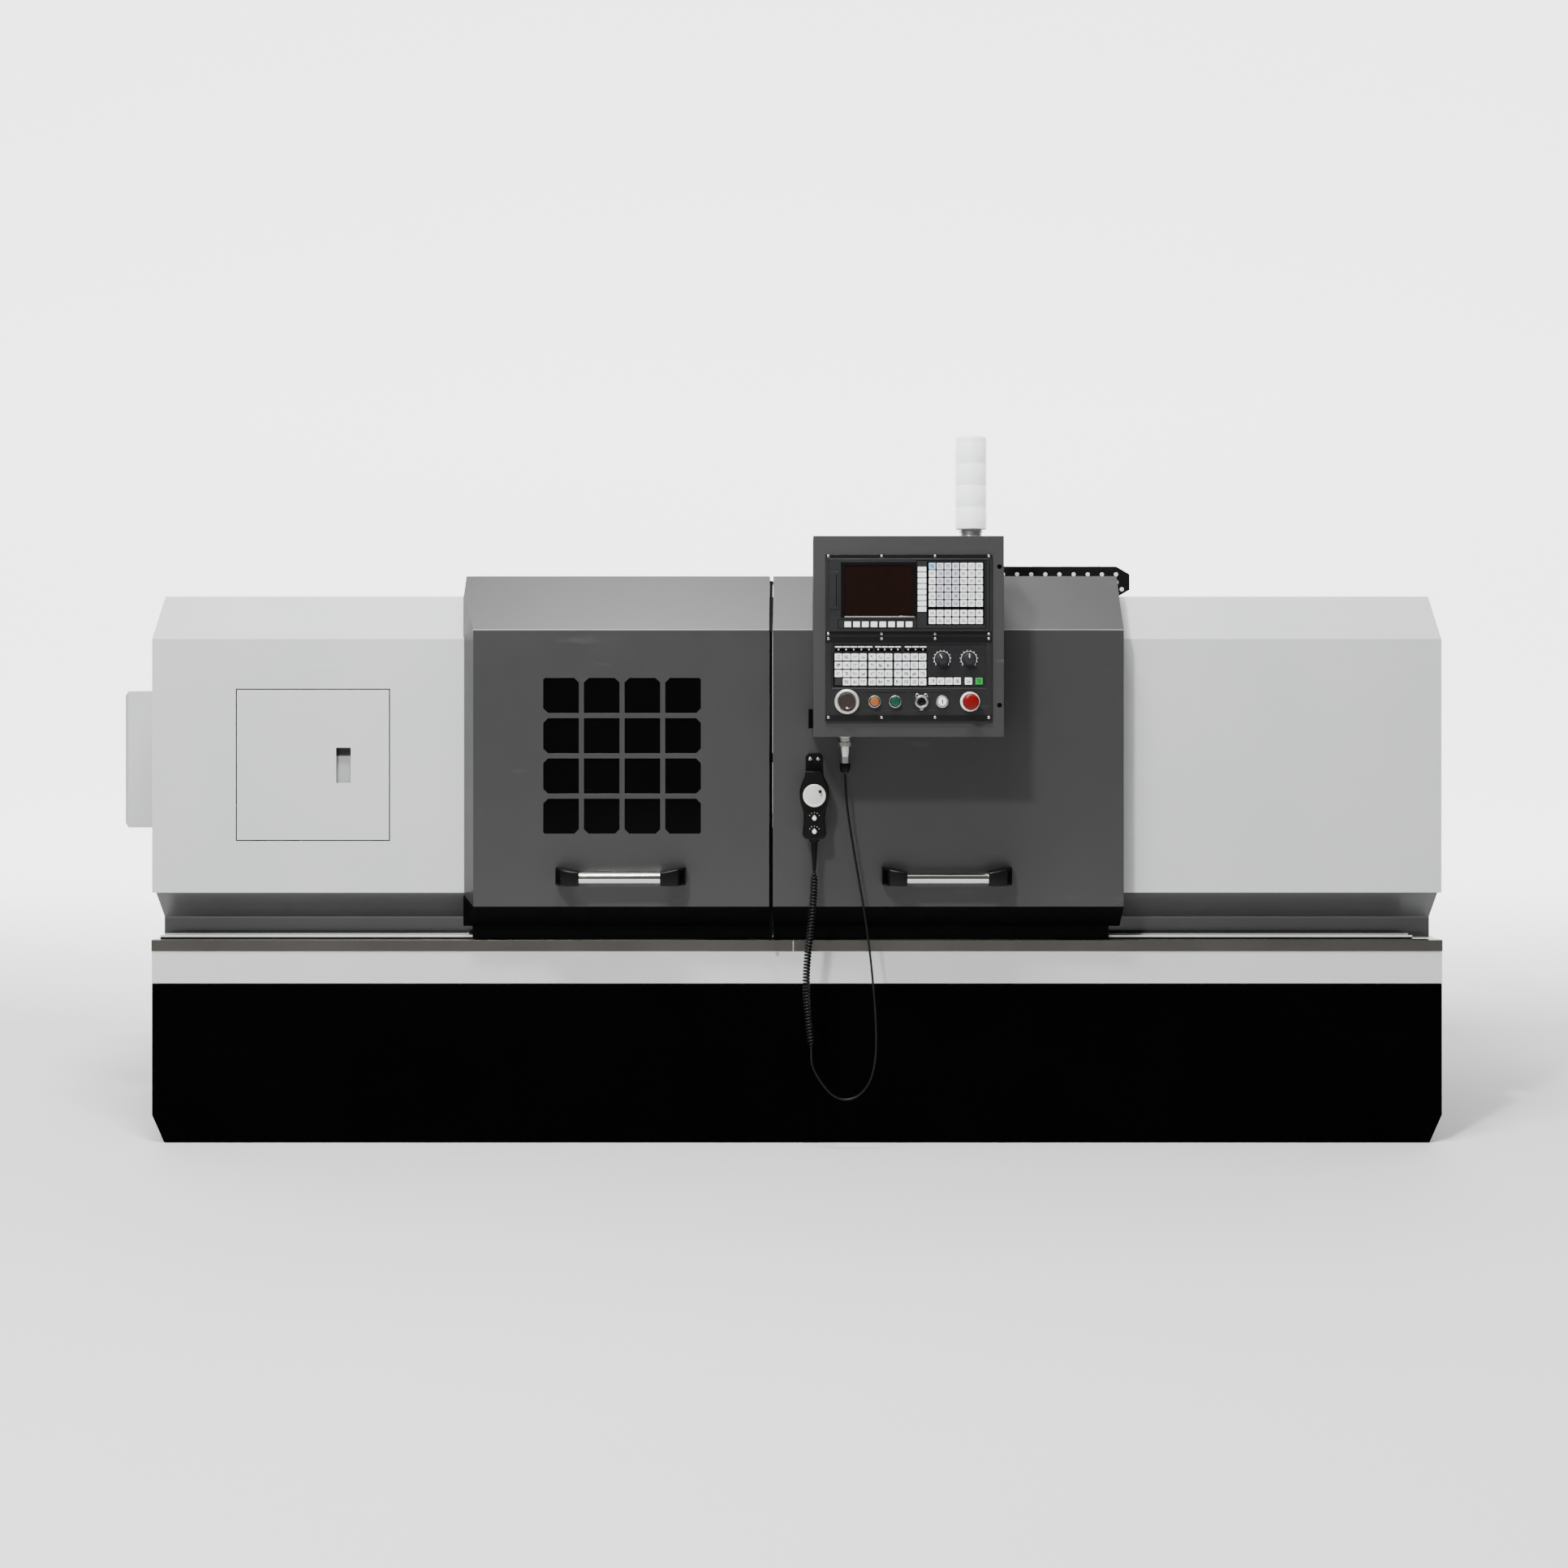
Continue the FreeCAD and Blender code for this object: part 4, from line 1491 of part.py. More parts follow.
# ---------------------------------------------------------------- writing the nodes
def main():
    os.makedirs("parts", exist_ok=True)
    nodes = {
        "base_plinth": [base_plinth()],
        "chip_tray": [chip_tray()],
        "tray_lips": tray_lips(),
        "door_guides": [door_rail(), top_channel()],
        "left_housing": [left_housing()],
        "right_housing": [housing(*HOUSING_RIGHT, True)],
        "housing_skirts": housing_skirts(),
        "service_door": [service_door()],
        "gear_end_cover": [gear_end_cover()],
        "rear_guard": [rear_guard()],
        "cabinet": [cabinet()],
        "cabinet_door": [cabinet_door()],
        "control_gear": [control_gear()],
        "left_door": [left_door()],
        "left_door_shoes": shoes(*LEFT_DOOR),
        "left_door_handle": handle(HANDLE_CENTRES[0]),
        "window_pane": [window_pane()],
        "right_door": [right_door()],
        "right_door_shoes": shoes(*RIGHT_DOOR),
        "right_door_handle": handle(HANDLE_CENTRES[1]),
        "bed": [bed()],
        "headstock": [headstock()] + spindle_bearings(),
        "spindle": [spindle(), chuck_body()],
        "motor_pulley": [motor_pulley()],
        "drive_belt": [drive_belt()],
        "main_motor": [main_motor()],
        "chuck_jaw_1": [chuck_jaw(0)],
        "chuck_jaw_2": [chuck_jaw(1)],
        "chuck_jaw_3": [chuck_jaw(2)],
        "carriage": [carriage()],
        "lead_screw": [lead_screw()],
        "lead_screw_blocks": lead_screw_blocks(),
        "cross_slide": [cross_slide(), tool_post_base()],
        "tool_turret": [tool_turret()],
        "turning_tools": turning_tools(),
        "tailstock": [tailstock()],
        "quill": quill(),
        "tail_wheel": [tail_wheel()],
        "operator_box": [operator_box(), cord_connector()],
        "control_unit": [control_unit(), screen()],
        "machine_panel": [machine_panel()],
        "panel_keys": panel_keys(),
        "start_button": [push_button(START_X)],
        "stop_button": [push_button(STOP_X)],
        "emergency_stop": [emergency_stop()],
        "key_switch": [key_switch()],
        "pulse_wheel": [pulse_wheel()],
        "feed_knob": [override_knob(OVERRIDE_X[0])],
        "spindle_knob": [override_knob(OVERRIDE_X[1])],
        "signal_tower": [signal_tower()],
        "pendant_hook": [pendant_hook()],
        "pendant_body": [pendant_body()],
        "pendant_dial": [pendant_dial()],
        "axis_selector": [pendant_control(SELECTOR_Z[0], polygon(14, 6), 9)],
        "step_selector": [pendant_control(SELECTOR_Z[1], polygon(14, 6), 9)],
        "straight_cord": [straight_cord()],
        "curly_cord": [curly_cord()],
        "chain_upper": chain_upper() + [chain_bracket()],
        "chain_bend": [chain_bend()],
        "chain_lower": chain_lower(),
    }
    for node, shapes in nodes.items():
        write(node, shapes)


main()
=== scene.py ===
"""Photo-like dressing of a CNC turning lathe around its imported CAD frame.

Lengths are written in millimetres and turned into metres where a mesh is made. The origin is the middle of
the plinth's underside, +X runs to the operator's right, -Y towards the operator and +Z up.
"""

from __future__ import annotations

import json
import logging
import math
from dataclasses import dataclass, replace
from enum import Enum
from typing import Iterator, Sequence

import bmesh
import bpy
from mathutils import Euler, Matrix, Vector

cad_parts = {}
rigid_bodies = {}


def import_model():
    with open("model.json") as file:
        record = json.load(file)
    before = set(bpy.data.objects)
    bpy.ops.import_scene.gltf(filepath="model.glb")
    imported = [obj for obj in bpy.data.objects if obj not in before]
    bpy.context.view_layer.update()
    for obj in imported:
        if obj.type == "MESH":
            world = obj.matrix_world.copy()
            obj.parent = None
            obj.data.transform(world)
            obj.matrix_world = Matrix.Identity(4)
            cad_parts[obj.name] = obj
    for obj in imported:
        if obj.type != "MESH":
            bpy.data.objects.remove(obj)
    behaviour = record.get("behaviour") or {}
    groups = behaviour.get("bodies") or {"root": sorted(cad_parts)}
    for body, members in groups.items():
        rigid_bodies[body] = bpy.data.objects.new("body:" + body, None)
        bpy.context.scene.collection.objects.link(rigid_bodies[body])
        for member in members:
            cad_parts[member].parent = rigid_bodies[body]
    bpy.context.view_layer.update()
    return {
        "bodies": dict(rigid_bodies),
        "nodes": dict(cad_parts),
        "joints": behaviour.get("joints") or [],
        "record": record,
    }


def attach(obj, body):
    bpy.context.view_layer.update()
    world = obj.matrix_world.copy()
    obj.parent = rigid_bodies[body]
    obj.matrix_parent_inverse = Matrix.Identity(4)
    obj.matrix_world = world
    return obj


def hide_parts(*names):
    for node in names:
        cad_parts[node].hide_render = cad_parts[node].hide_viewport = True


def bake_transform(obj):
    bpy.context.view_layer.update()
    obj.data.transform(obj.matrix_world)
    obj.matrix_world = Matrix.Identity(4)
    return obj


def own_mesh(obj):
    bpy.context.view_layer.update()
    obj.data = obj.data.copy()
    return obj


LOG = logging.getLogger("lathe")
MM = 0.001
IMAGE_SIDE = 1932
SENSOR = 36.0
EDGE_ANGLE = 34.0  # least angle, in degrees, of an edge that is rounded or kept sharp
THINNEST = 0.01  # least radius of a turned solid, in millimetres
SAME_SPOT = 1e-7  # distance at which corners are joined, in metres
TUBE_REFERENCE = (0.31, 0.52, 0.8)  # direction that no tube runs along
MIX_FIRST, MIX_SECOND, MIX_RESULT = 6, 7, 2  # colour sockets of the mixing node
SCRATCH_TINT = 0.35
SCRATCH_ROUGHNESS = 0.08
BUMP_DEPTH = 0.0006
ICON_INK = (26, 28, 36)

Point = tuple[float, float, float]
Flat = tuple[float, float]
Rgb = tuple[int, int, int]


def circle_angles(count: int) -> list[float]:
    """Evenly spaced angles round a circle, in radians."""
    return [2 * math.pi * i / count for i in range(count)]


class Axis(Enum):
    """World axes, as unit vectors."""

    X = (1.0, 0.0, 0.0)
    Y = (0.0, 1.0, 0.0)
    Z = (0.0, 0.0, 1.0)

    def spokes(self, sides: int, sign: float) -> tuple[Vector, list[Vector]]:
        """Directions for a solid that is turned about the axis.

        Args:
            sides: Number of sides of the solid.
            sign: Minus one to run against the axis.

        Returns:
            The way along the axis, and a unit vector across it for each side.
        """
        along = Vector(self.value) * sign
        first = Vector(Axis.X.value if self is Axis.Z else Axis.Z.value)
        second = along.cross(first)
        return along, [first * math.cos(a) + second * math.sin(a) for a in circle_angles(sides)]


class Body(str, Enum):
    """Moving groups that the pieces ride on."""

    MACHINE = "machine"
    LEFT_DOOR = "left_door"
    RIGHT_DOOR = "right_door"
    CABINET_DOOR = "cabinet_door"
    SPINDLE = "spindle"
    TURRET = "tool_turret"
    TAIL_WHEEL = "tail_wheel"
    CHAIN_BEND = "chain_bend"
    FEED_KNOB = "feed_knob"
    SPINDLE_KNOB = "spindle_knob"
    START_BUTTON = "start_button"
    STOP_BUTTON = "stop_button"
    EMERGENCY_STOP = "emergency_stop"
    KEY_SWITCH = "key_switch"
    PULSE_WHEEL = "pulse_wheel"
    PENDANT_DIAL = "pendant_dial"
    AXIS_SELECTOR = "axis_selector"
    STEP_SELECTOR = "step_selector"


# ---------------------------------------------------------------- finishes
@dataclass(frozen=True)
class Zone:
    """Box in which a finish changes, in millimetres; None leaves a side open.

    Attributes:
        low: Lowest corner.
        high: Highest corner.
        colour: Colour inside, 0 to 255.
        roughness: Roughness inside.
        metallic: Metallic inside.
        soft: Width of the edge.
    """

    low: tuple[float | None, float | None, float | None]
    high: tuple[float | None, float | None, float | None]
    colour: Rgb
    roughness: float = 0.5
    metallic: float = 0.0
    soft: float = 0.4


@dataclass(frozen=True)
class Finish:
    """A procedural surface.

    Attributes:
        name: Material name.
        colour: Main colour, 0 to 255.
        second: Colour of the slow mottling.
        roughness: Lowest and highest roughness.
        metallic: Metal or not.
        mottle: Mottling, in waves per metre.
        grain: Fine relief, in waves per metre.
        stretch: Stretch of the grain along X, Y and Z.
        relief: Strength of the bump.
        coat: Clear coat weight.
        scuff: Colour of scuffs.
        scuffs: Share of the surface that is scuffed.
        alpha: Opacity.
        emission: Strength of a weak glow; on the frosted lens it is a painted glow.
        gloss: Level of the plain reflection, one half for common paint.
        sweep: The light grows towards the back, as on a studio sweep.
        zones: Boxes with another finish.
        icons: Small marks on the face, as on keys.
    """

    name: str
    colour: Rgb
    second: Rgb
    roughness: Flat
    metallic: float = 0.0
    mottle: float = 3.0
    grain: float = 900.0
    stretch: Point = (1.0, 1.0, 1.0)
    relief: float = 0.08
    coat: float = 0.0
    scuff: Rgb = (150, 150, 150)
    scuffs: float = 0.04
    alpha: float = 1.0
    emission: float = 0.0
    gloss: float = 0.5
    sweep: bool = False
    zones: tuple[Zone, ...] = ()
    icons: bool = False


def linear(colour: Rgb) -> tuple[float, float, float, float]:
    """Turn a display colour into the renderer's linear one.

    Args:
        colour: Red, green and blue, 0 to 255.

    Returns:
        Linear colour with full alpha.
    """
    parts = [c / 255.0 for c in colour]
    return tuple(c / 12.92 if c <= 0.04045 else ((c + 0.055) / 1.055) ** 2.4 for c in parts) + (1.0,)


class Field:
    """A number that varies over a surface, with arithmetic."""

    def __init__(self, tree: bpy.types.NodeTree, socket: bpy.types.NodeSocket) -> None:
        """Keep the tree and the socket."""
        self.tree = tree
        self.socket = socket

    def _math(self, operation: str, *values: Field | float, clamp: bool = False) -> Field:
        """Run a mathematical node.

        Args:
            operation: Name of the operation.
            values: Its inputs.
            clamp: Keep the result within 0 and 1.

        Returns:
            The result.
        """
        node = self.tree.nodes.new("ShaderNodeMath")
        node.operation = operation
        node.use_clamp = clamp
        for index, value in enumerate(values):
            feed(self.tree, value, node.inputs[index])
        return Field(self.tree, node.outputs[0])

    def __add__(self, other: Field | float) -> Field:
        """Sum."""
        return self._math("ADD", self, other)

    def __sub__(self, other: Field | float) -> Field:
        """Difference."""
        return self._math("SUBTRACT", self, other)

    def __rsub__(self, other: float) -> Field:
        """A constant less this field."""
        return self._math("SUBTRACT", other, self)

    def __mul__(self, other: Field | float) -> Field:
        """Product."""
        return self._math("MULTIPLY", self, other)

    def ramp(self, low: float, high: float) -> Field:
        """Rise from 0 at low to 1 at high, and stay there.

        Args:
            low: Where the rise starts.
            high: Where it ends.

        Returns:
            The clamped rise.
        """
        return self._math("MULTIPLY", self - low, 1.0 / (high - low), clamp=True)

    def magnitude(self) -> Field:
        """Give the value without its sign."""
        return self._math("ABSOLUTE", self)


def feed(tree: bpy.types.NodeTree, value: Field | float | Sequence[float],
        socket: bpy.types.NodeSocket) -> None:
    """Link a field to a socket, or set a constant on it.

    Args:
        tree: Node tree of the socket.
        value: A field, or a constant.
        socket: Where it goes.
    """
    if isinstance(value, Field):
        tree.links.new(value.socket, socket)
    else:
        socket.default_value = value


class Surface:
    """Builds the node tree of one finish."""

    def __init__(self, finish: Finish) -> None:
        """Start the material and its coordinates.

        Args:
            finish: The finish.
        """
        self.finish = finish
        self.material = bpy.data.materials.new(finish.name)
        self.material.use_nodes = True
        self.tree = self.material.node_tree
        self.shader = self.tree.nodes["Principled BSDF"]
        coordinates = self.tree.nodes.new("ShaderNodeTexCoord")
        self.place = coordinates.outputs["Object"]
        self.sheet = coordinates.outputs["UV"]
        split = self.tree.nodes.new("ShaderNodeSeparateXYZ")
        self.tree.links.new(self.place, split.inputs[0])
        self.x, self.y, self.z = (Field(self.tree, split.outputs[i]) for i in range(3))

    def noise(self, scale: float, detail: float = 3.0, stretch: Point = (1.0, 1.0, 1.0)) -> Field:
        """Noise over the object's own coordinates.

        Args:
            scale: Waves per metre.
            detail: Octaves.
            stretch: Stretch along X, Y and Z.

        Returns:
            A value around one half.
        """
        mapping = self.tree.nodes.new("ShaderNodeMapping")
        mapping.inputs["Scale"].default_value = [1.0 / s for s in stretch]
        self.tree.links.new(self.place, mapping.inputs["Vector"])
        node = self.tree.nodes.new("ShaderNodeTexNoise")
        node.inputs["Scale"].default_value = scale
        node.inputs["Detail"].default_value = detail
        self.tree.links.new(mapping.outputs[0], node.inputs["Vector"])
        return Field(self.tree, node.outputs[0])

    def mix(self, factor: Field, first: Field | Sequence[float], second: Field | Sequence[float]) -> Field:
        """Blend two colours by a factor.

        Args:
            factor: 0 for the first colour, 1 for the second.
            first: First colour.
            second: Second colour.

        Returns:
            The blend.
        """
        node = self.tree.nodes.new("ShaderNodeMix")
        node.data_type = "RGBA"
        feed(self.tree, factor, node.inputs[0])
        feed(self.tree, first, node.inputs[MIX_FIRST])
        feed(self.tree, second, node.inputs[MIX_SECOND])
        return Field(self.tree, node.outputs[MIX_RESULT])

    def inside(self, zone: Zone) -> Field:
        """Mask of a zone, from 0 outside to 1 inside.

        Args:
            zone: The zone.

        Returns:
            The mask.
        """
        mask: Field | None = None
        soft = zone.soft * MM
        for axis, low, high in zip((self.x, self.y, self.z), zone.low, zone.high):
            sides = []
            if low is not None:
                sides.append(axis.ramp(low * MM - soft, low * MM + soft))
            if high is not None:
                sides.append(1.0 - axis.ramp(high * MM - soft, high * MM + soft))
            for side in sides:
                mask = side if mask is None else mask * side
        return mask

    def icon_mask(self) -> Field:
        """Small pictogram-like marks in the middle of each key.

        Returns:
            The mask.
        """
        split = self.tree.nodes.new("ShaderNodeSeparateXYZ")
        self.tree.links.new(self.sheet, split.inputs[0])
        u, v = (Field(self.tree, split.outputs[i]) for i in range(2))
        near = (1.0 - (u - 0.5).magnitude().ramp(0.27, 0.3)) * (1.0
            - (v - 0.5).magnitude().ramp(0.24, 0.27))
        return near * self.noise(380.0, 1.0).ramp(0.47, 0.52)

    def far_glow(self) -> Field:
        """Light of the sweep, which grows behind the object."""
        return self.mix(self.y.ramp(1.0, 6.0), (0.0, 0.0, 0.0, 1.0), (1.0, 1.0, 1.0, 1.0))

    def build(self) -> bpy.types.Material:
        """Wire the finish and give its material.

        Returns:
            The material.
        """
        f = self.finish
        slow = self.noise(f.mottle, 4.0).ramp(0.36, 0.66)
        colour = self.mix(slow, linear(f.colour), linear(f.second))
        scratch = self.noise(26.0, 5.0, (6.0, 6.0, 1.0)).ramp(0.71 - f.scuffs, 0.76 - f.scuffs * 0.5)
        colour = self.mix(scratch * SCRATCH_TINT, colour, linear(f.scuff))
        rough = self.noise(f.mottle * 3.1, 3.0) * (f.roughness[1] - f.roughness[0]) + f.roughness[0]
        rough = rough + scratch * SCRATCH_ROUGHNESS
        metal: Field | float = f.metallic
        for zone in f.zones:
            mask = self.inside(zone)
            shade = self.mix(slow, linear(zone.colour), linear(tuple(int(c * 0.9) for c in zone.colour)))
            colour = self.mix(mask, colour, shade)
            rough = rough * (1.0 - mask) + mask * zone.roughness
            if zone.metallic != f.metallic or isinstance(metal, Field):
                metal = (1.0 - mask) * metal + mask * zone.metallic
        if f.icons:
            colour = self.mix(self.icon_mask() * 0.95, colour, linear(ICON_INK))
        shader = self.shader
        feed(self.tree, colour, shader.inputs["Base Color"])
        feed(self.tree, rough, shader.inputs["Roughness"])
        feed(self.tree, metal, shader.inputs["Metallic"])
        shader.inputs["Specular IOR Level"].default_value = f.gloss
        shader.inputs["Coat Weight"].default_value = f.coat
        shader.inputs["Alpha"].default_value = f.alpha
        if f.emission:
            feed(self.tree, self.far_glow() if f.sweep else colour, shader.inputs["Emission Color"])
            shader.inputs["Emission Strength"].default_value = f.emission
        bump = self.tree.nodes.new("ShaderNodeBump")
        bump.inputs["Strength"].default_value = f.relief
        bump.inputs["Distance"].default_value = BUMP_DEPTH
        feed(self.tree, self.noise(f.grain, 2.0, f.stretch) + self.noise(f.grain * 0.12, 2.0, f.stretch)
            * 0.6, bump.inputs["Height"])
        self.tree.links.new(bump.outputs[0], shader.inputs["Normal"])
        return self.material


PAINT = Finish("paint_light_grey", (186, 188, 187), (182, 184, 184), (0.36, 0.46), relief=0.05,
    scuff=(170, 172, 172), coat=0.15)
FINISHES = {
    # The light finish's zones are painted shade: near black in the gap round the service door, a darker
    # pocket of its finger pull and a painted shadow across the top of that pocket.
    "light": replace(PAINT, zones=(Zone((-1455.6, -688.6, 779.4), (-1054.4, -640, 1175.6), (14, 14, 14),
        0.5, soft=0.3), Zone((-1200, -689.4, 925), (-1152, -640, 1027), (150, 151, 151), 0.4, soft=0.3),
        Zone((-1200, -688.0, 1000), (-1152, -640, 1027), (20, 20, 20), 0.5, soft=0.3))),
    "tray": replace(PAINT, name="paint_tray", colour=(190, 191, 190),
        second=(184, 186, 185), roughness=(0.42, 0.55)),
    # The skirt's zone is painted shade: the skirt is darker below 573 mm, on its recessed vertical part
    # under the bevel.
    "skirt": replace(PAINT, name="paint_skirt", colour=(84, 84, 85), second=(80, 80, 81),
        roughness=(0.22, 0.3), coat=0.3, scuff=(50, 50, 51), scuffs=-0.3,
        zones=(Zone((None, None, None), (None, None, 573.0), (44, 44, 45), 0.3, soft=3.0),)),
    "plinth": Finish("paint_plinth", (1, 1, 1), (2, 2, 2), (0.5, 0.6),
        relief=0.04, scuff=(12, 12, 12), scuffs=0.02, gloss=0.01),
    # The door's zone is a painted highlight: a lighter line along the bend between the face and the slope.
    "door": Finish("paint_door", (42, 42, 42), (40, 40, 40), (0.34, 0.44), relief=0.04, coat=0.1,
        scuff=(58, 58, 58),
        zones=(Zone((None, None, 1324.2), (None, -752, 1327.8), (104, 104, 104), 0.3, soft=0.5),)),
    "door_foot": Finish("paint_door_foot", (1, 1, 1), (2, 2, 2),
        (0.45, 0.55), relief=0.04, gloss=0.04, scuff=(16, 16, 16)),
    "box": Finish("paint_box", (36, 36, 36), (34, 34, 34), (0.45, 0.58), relief=0.1, scuff=(90, 90, 90),
        zones=(Zone((90, -845, 987), (155, -765, 1057.5), (176, 174, 168), 0.32, 1.0),
        Zone((90, -845, 940), (155, -765, 986.5), (16, 16, 16), 0.5, 0.0))),
    "unit": Finish("panel_unit", (14, 15, 17), (12, 13, 15), (0.34, 0.46), relief=0.12, scuff=(70, 70, 72),
        zones=(Zone((114, None, 1356), (287, None, 1485), (19, 7, 5), 0.07),
        Zone((289, None, 1326), (466, None, 1494), (30, 31, 33), 0.3),
        Zone((None, None, 1499), (None, None, 1509), (4, 4, 5), 0.3),
        Zone((None, None, 1300), (None, None, 1318), (2, 2, 2), 0.3))),
    "panel": Finish("panel_machine", (11, 11, 12), (9, 9, 10), (0.34, 0.46), relief=0.12,
        scuff=(70, 70, 72), zones=(Zone((86, None, 1179), (466, None, 1287), (27, 26, 28), 0.26),
        Zone((None, None, 1289.5), (None, None, 1306), (2, 2, 2), 0.3),
        Zone((None, None, 1096), (None, None, 1112), (2, 2, 2), 0.3))),
    "glass": Finish("tinted_pane", (3, 3, 4), (4, 4, 4),
        (0.05, 0.1), relief=0.01, gloss=0.12, scuff=(20, 20, 20)),
    "stainless": Finish("stainless_sheet", (84, 82, 78), (77, 75, 71), (0.26, 0.36), metallic=1.0,
        relief=0.02, scuff=(120, 118, 114), stretch=(20.0, 1.0, 1.0)),
    # The rail's near-white colour is a painted highlight along its top; below 529 mm at the front it takes a
    # dark steel colour.
    "rail": Finish("bright_rail", (222, 221, 218), (214, 213, 210), (0.3, 0.38), metallic=0.35, relief=0.02,
        scuff=(190, 188, 184),
        zones=(Zone((None, None, None), (None, -630, 529.0), (60, 58, 57), 0.3, 1.0, 0.4),)),
    "tube": Finish("polished_tube", (205, 203, 198), (196, 194, 189), (0.05, 0.1), metallic=1.0,
        relief=0.01, scuff=(190, 188, 184)),
    "machined": Finish("machined_steel", (168, 170, 172), (148, 150, 152), (0.24, 0.4), metallic=1.0,
        grain=800.0, stretch=(1.0, 6.0, 6.0), relief=0.2, scuff=(110, 108, 104)),
    "dark_steel": Finish("blackened_steel", (58, 58, 60), (46, 46, 48), (0.34, 0.5), metallic=0.9,
        relief=0.2, scuff=(130, 130, 130)),
    "cast": Finish("painted_casting", (128, 136, 138), (114, 122, 124), (0.45, 0.6), grain=350.0,
        relief=0.35, scuff=(90, 92, 92)),
    "motor": Finish("motor_paint", (74, 80, 86), (66, 71, 77), (0.4, 0.55), grain=400.0, relief=0.3),
    "gear": Finish("drive_cases", (180, 180, 174), (150, 150, 146), (0.45, 0.6), relief=0.12),
    "rubber": Finish("rubber", (5, 5, 5), (8, 8, 8), (0.5, 0.65),
        relief=0.15, gloss=0.12, scuff=(20, 20, 20)),
    "plastic": Finish("black_plastic", (4, 4, 4), (6, 6, 6),
        (0.3, 0.42), grain=1400.0, gloss=0.16, scuff=(20, 20, 20)),
    "nylon": Finish("black_nylon", (6, 6, 6), (9, 9, 9), (0.4, 0.5),
        grain=500.0, relief=0.1, gloss=0.16, scuff=(24, 24, 24)),
    "cord": Finish("cord_sheath", (4, 4, 4), (6, 6, 6),
        (0.3, 0.4), grain=1200.0, gloss=0.2, scuff=(16, 16, 16)),
    "silver": Finish("silver_metal", (205, 205, 202), (184, 184, 182), (0.22, 0.34), metallic=1.0,
        relief=0.12, scuff=(140, 140, 140)),
    "satin": Finish("satin_aluminium", (214, 214, 212), (204, 204, 202), (0.38, 0.48), metallic=0.7,
        relief=0.03, scuff=(206, 206, 204)),
    "pale": Finish("pale_plastic", (214, 212, 204), (202, 200, 193), (0.36, 0.48), relief=0.1),
    "dial_face": Finish("dial_face", (196, 196, 190), (184, 184, 178), (0.3, 0.42), relief=0.1),
    "white": Finish("white_plastic", (232, 232, 230), (222, 222, 221), (0.36, 0.5)),
    "key": Finish("key_white", (236, 237, 239), (230, 231, 234), (0.42, 0.52), relief=0.03, icons=True),
    "key_grey": Finish("key_grey", (196, 196, 206), (184, 184, 195), (0.42, 0.52), icons=True),
    "key_plain": Finish("key_plain", (230, 230, 232), (218, 219, 222), (0.42, 0.52)),
    "key_blue": Finish("key_blue", (132, 186, 214), (118, 172, 202), (0.42, 0.52), icons=True),
    "key_green": Finish("key_green", (20, 140, 52), (16, 128, 46),
        (0.42, 0.52), relief=0.03, gloss=0.3, icons=True),
    "key_dark": Finish("key_dark", (12, 12, 13), (9, 9, 10), (0.42, 0.52)),
    "knob": Finish("knob_cap", (26, 27, 29), (22, 23, 25), (0.4, 0.5), relief=0.06, gloss=0.3),
    "amber": Finish("amber_cap", (138, 80, 34), (128, 72, 30), (0.28, 0.4), relief=0.04, coat=0.2),
    "green": Finish("green_cap", (0, 68, 48), (0, 58, 40), (0.28, 0.4), relief=0.04, coat=0.2, gloss=0.3),
    "red": Finish("red_cap", (104, 1, 4), (94, 1, 3), (0.34, 0.44), relief=0.04, gloss=0.2),
    "wheel": Finish("wheel_face", (44, 34, 31), (36, 27, 25), (0.34, 0.46), relief=0.06, gloss=0.3),
    # The lens's weak emission is a painted glow that brightens the frosted column.
    "lens": Finish("frosted_lens", (240, 242, 242), (234, 236, 237), (0.3, 0.42), relief=0.04, coat=0.2,
        alpha=0.86, emission=0.6, scuff=(232, 234, 235)),
    "lens_core": Finish("lamp_core", (150, 154, 156), (128, 132, 134), (0.4, 0.5), relief=0.1),
    "floor": Finish("studio_floor", (240, 240, 240), (237, 237, 237), (0.55, 0.65), relief=0.0, mottle=0.6,
        scuffs=-0.3, emission=3.2, sweep=True, gloss=0.2),
}
MATERIALS: dict[str, bpy.types.Material] = {}


def material(name: str) -> bpy.types.Material:
    """Give the material of a finish, built at its first use.

    Args:
        name: Key in FINISHES.

    Returns:
        The material.
    """
    if name not in MATERIALS:
        MATERIALS[name] = Surface(FINISHES[name]).build()
    return MATERIALS[name]


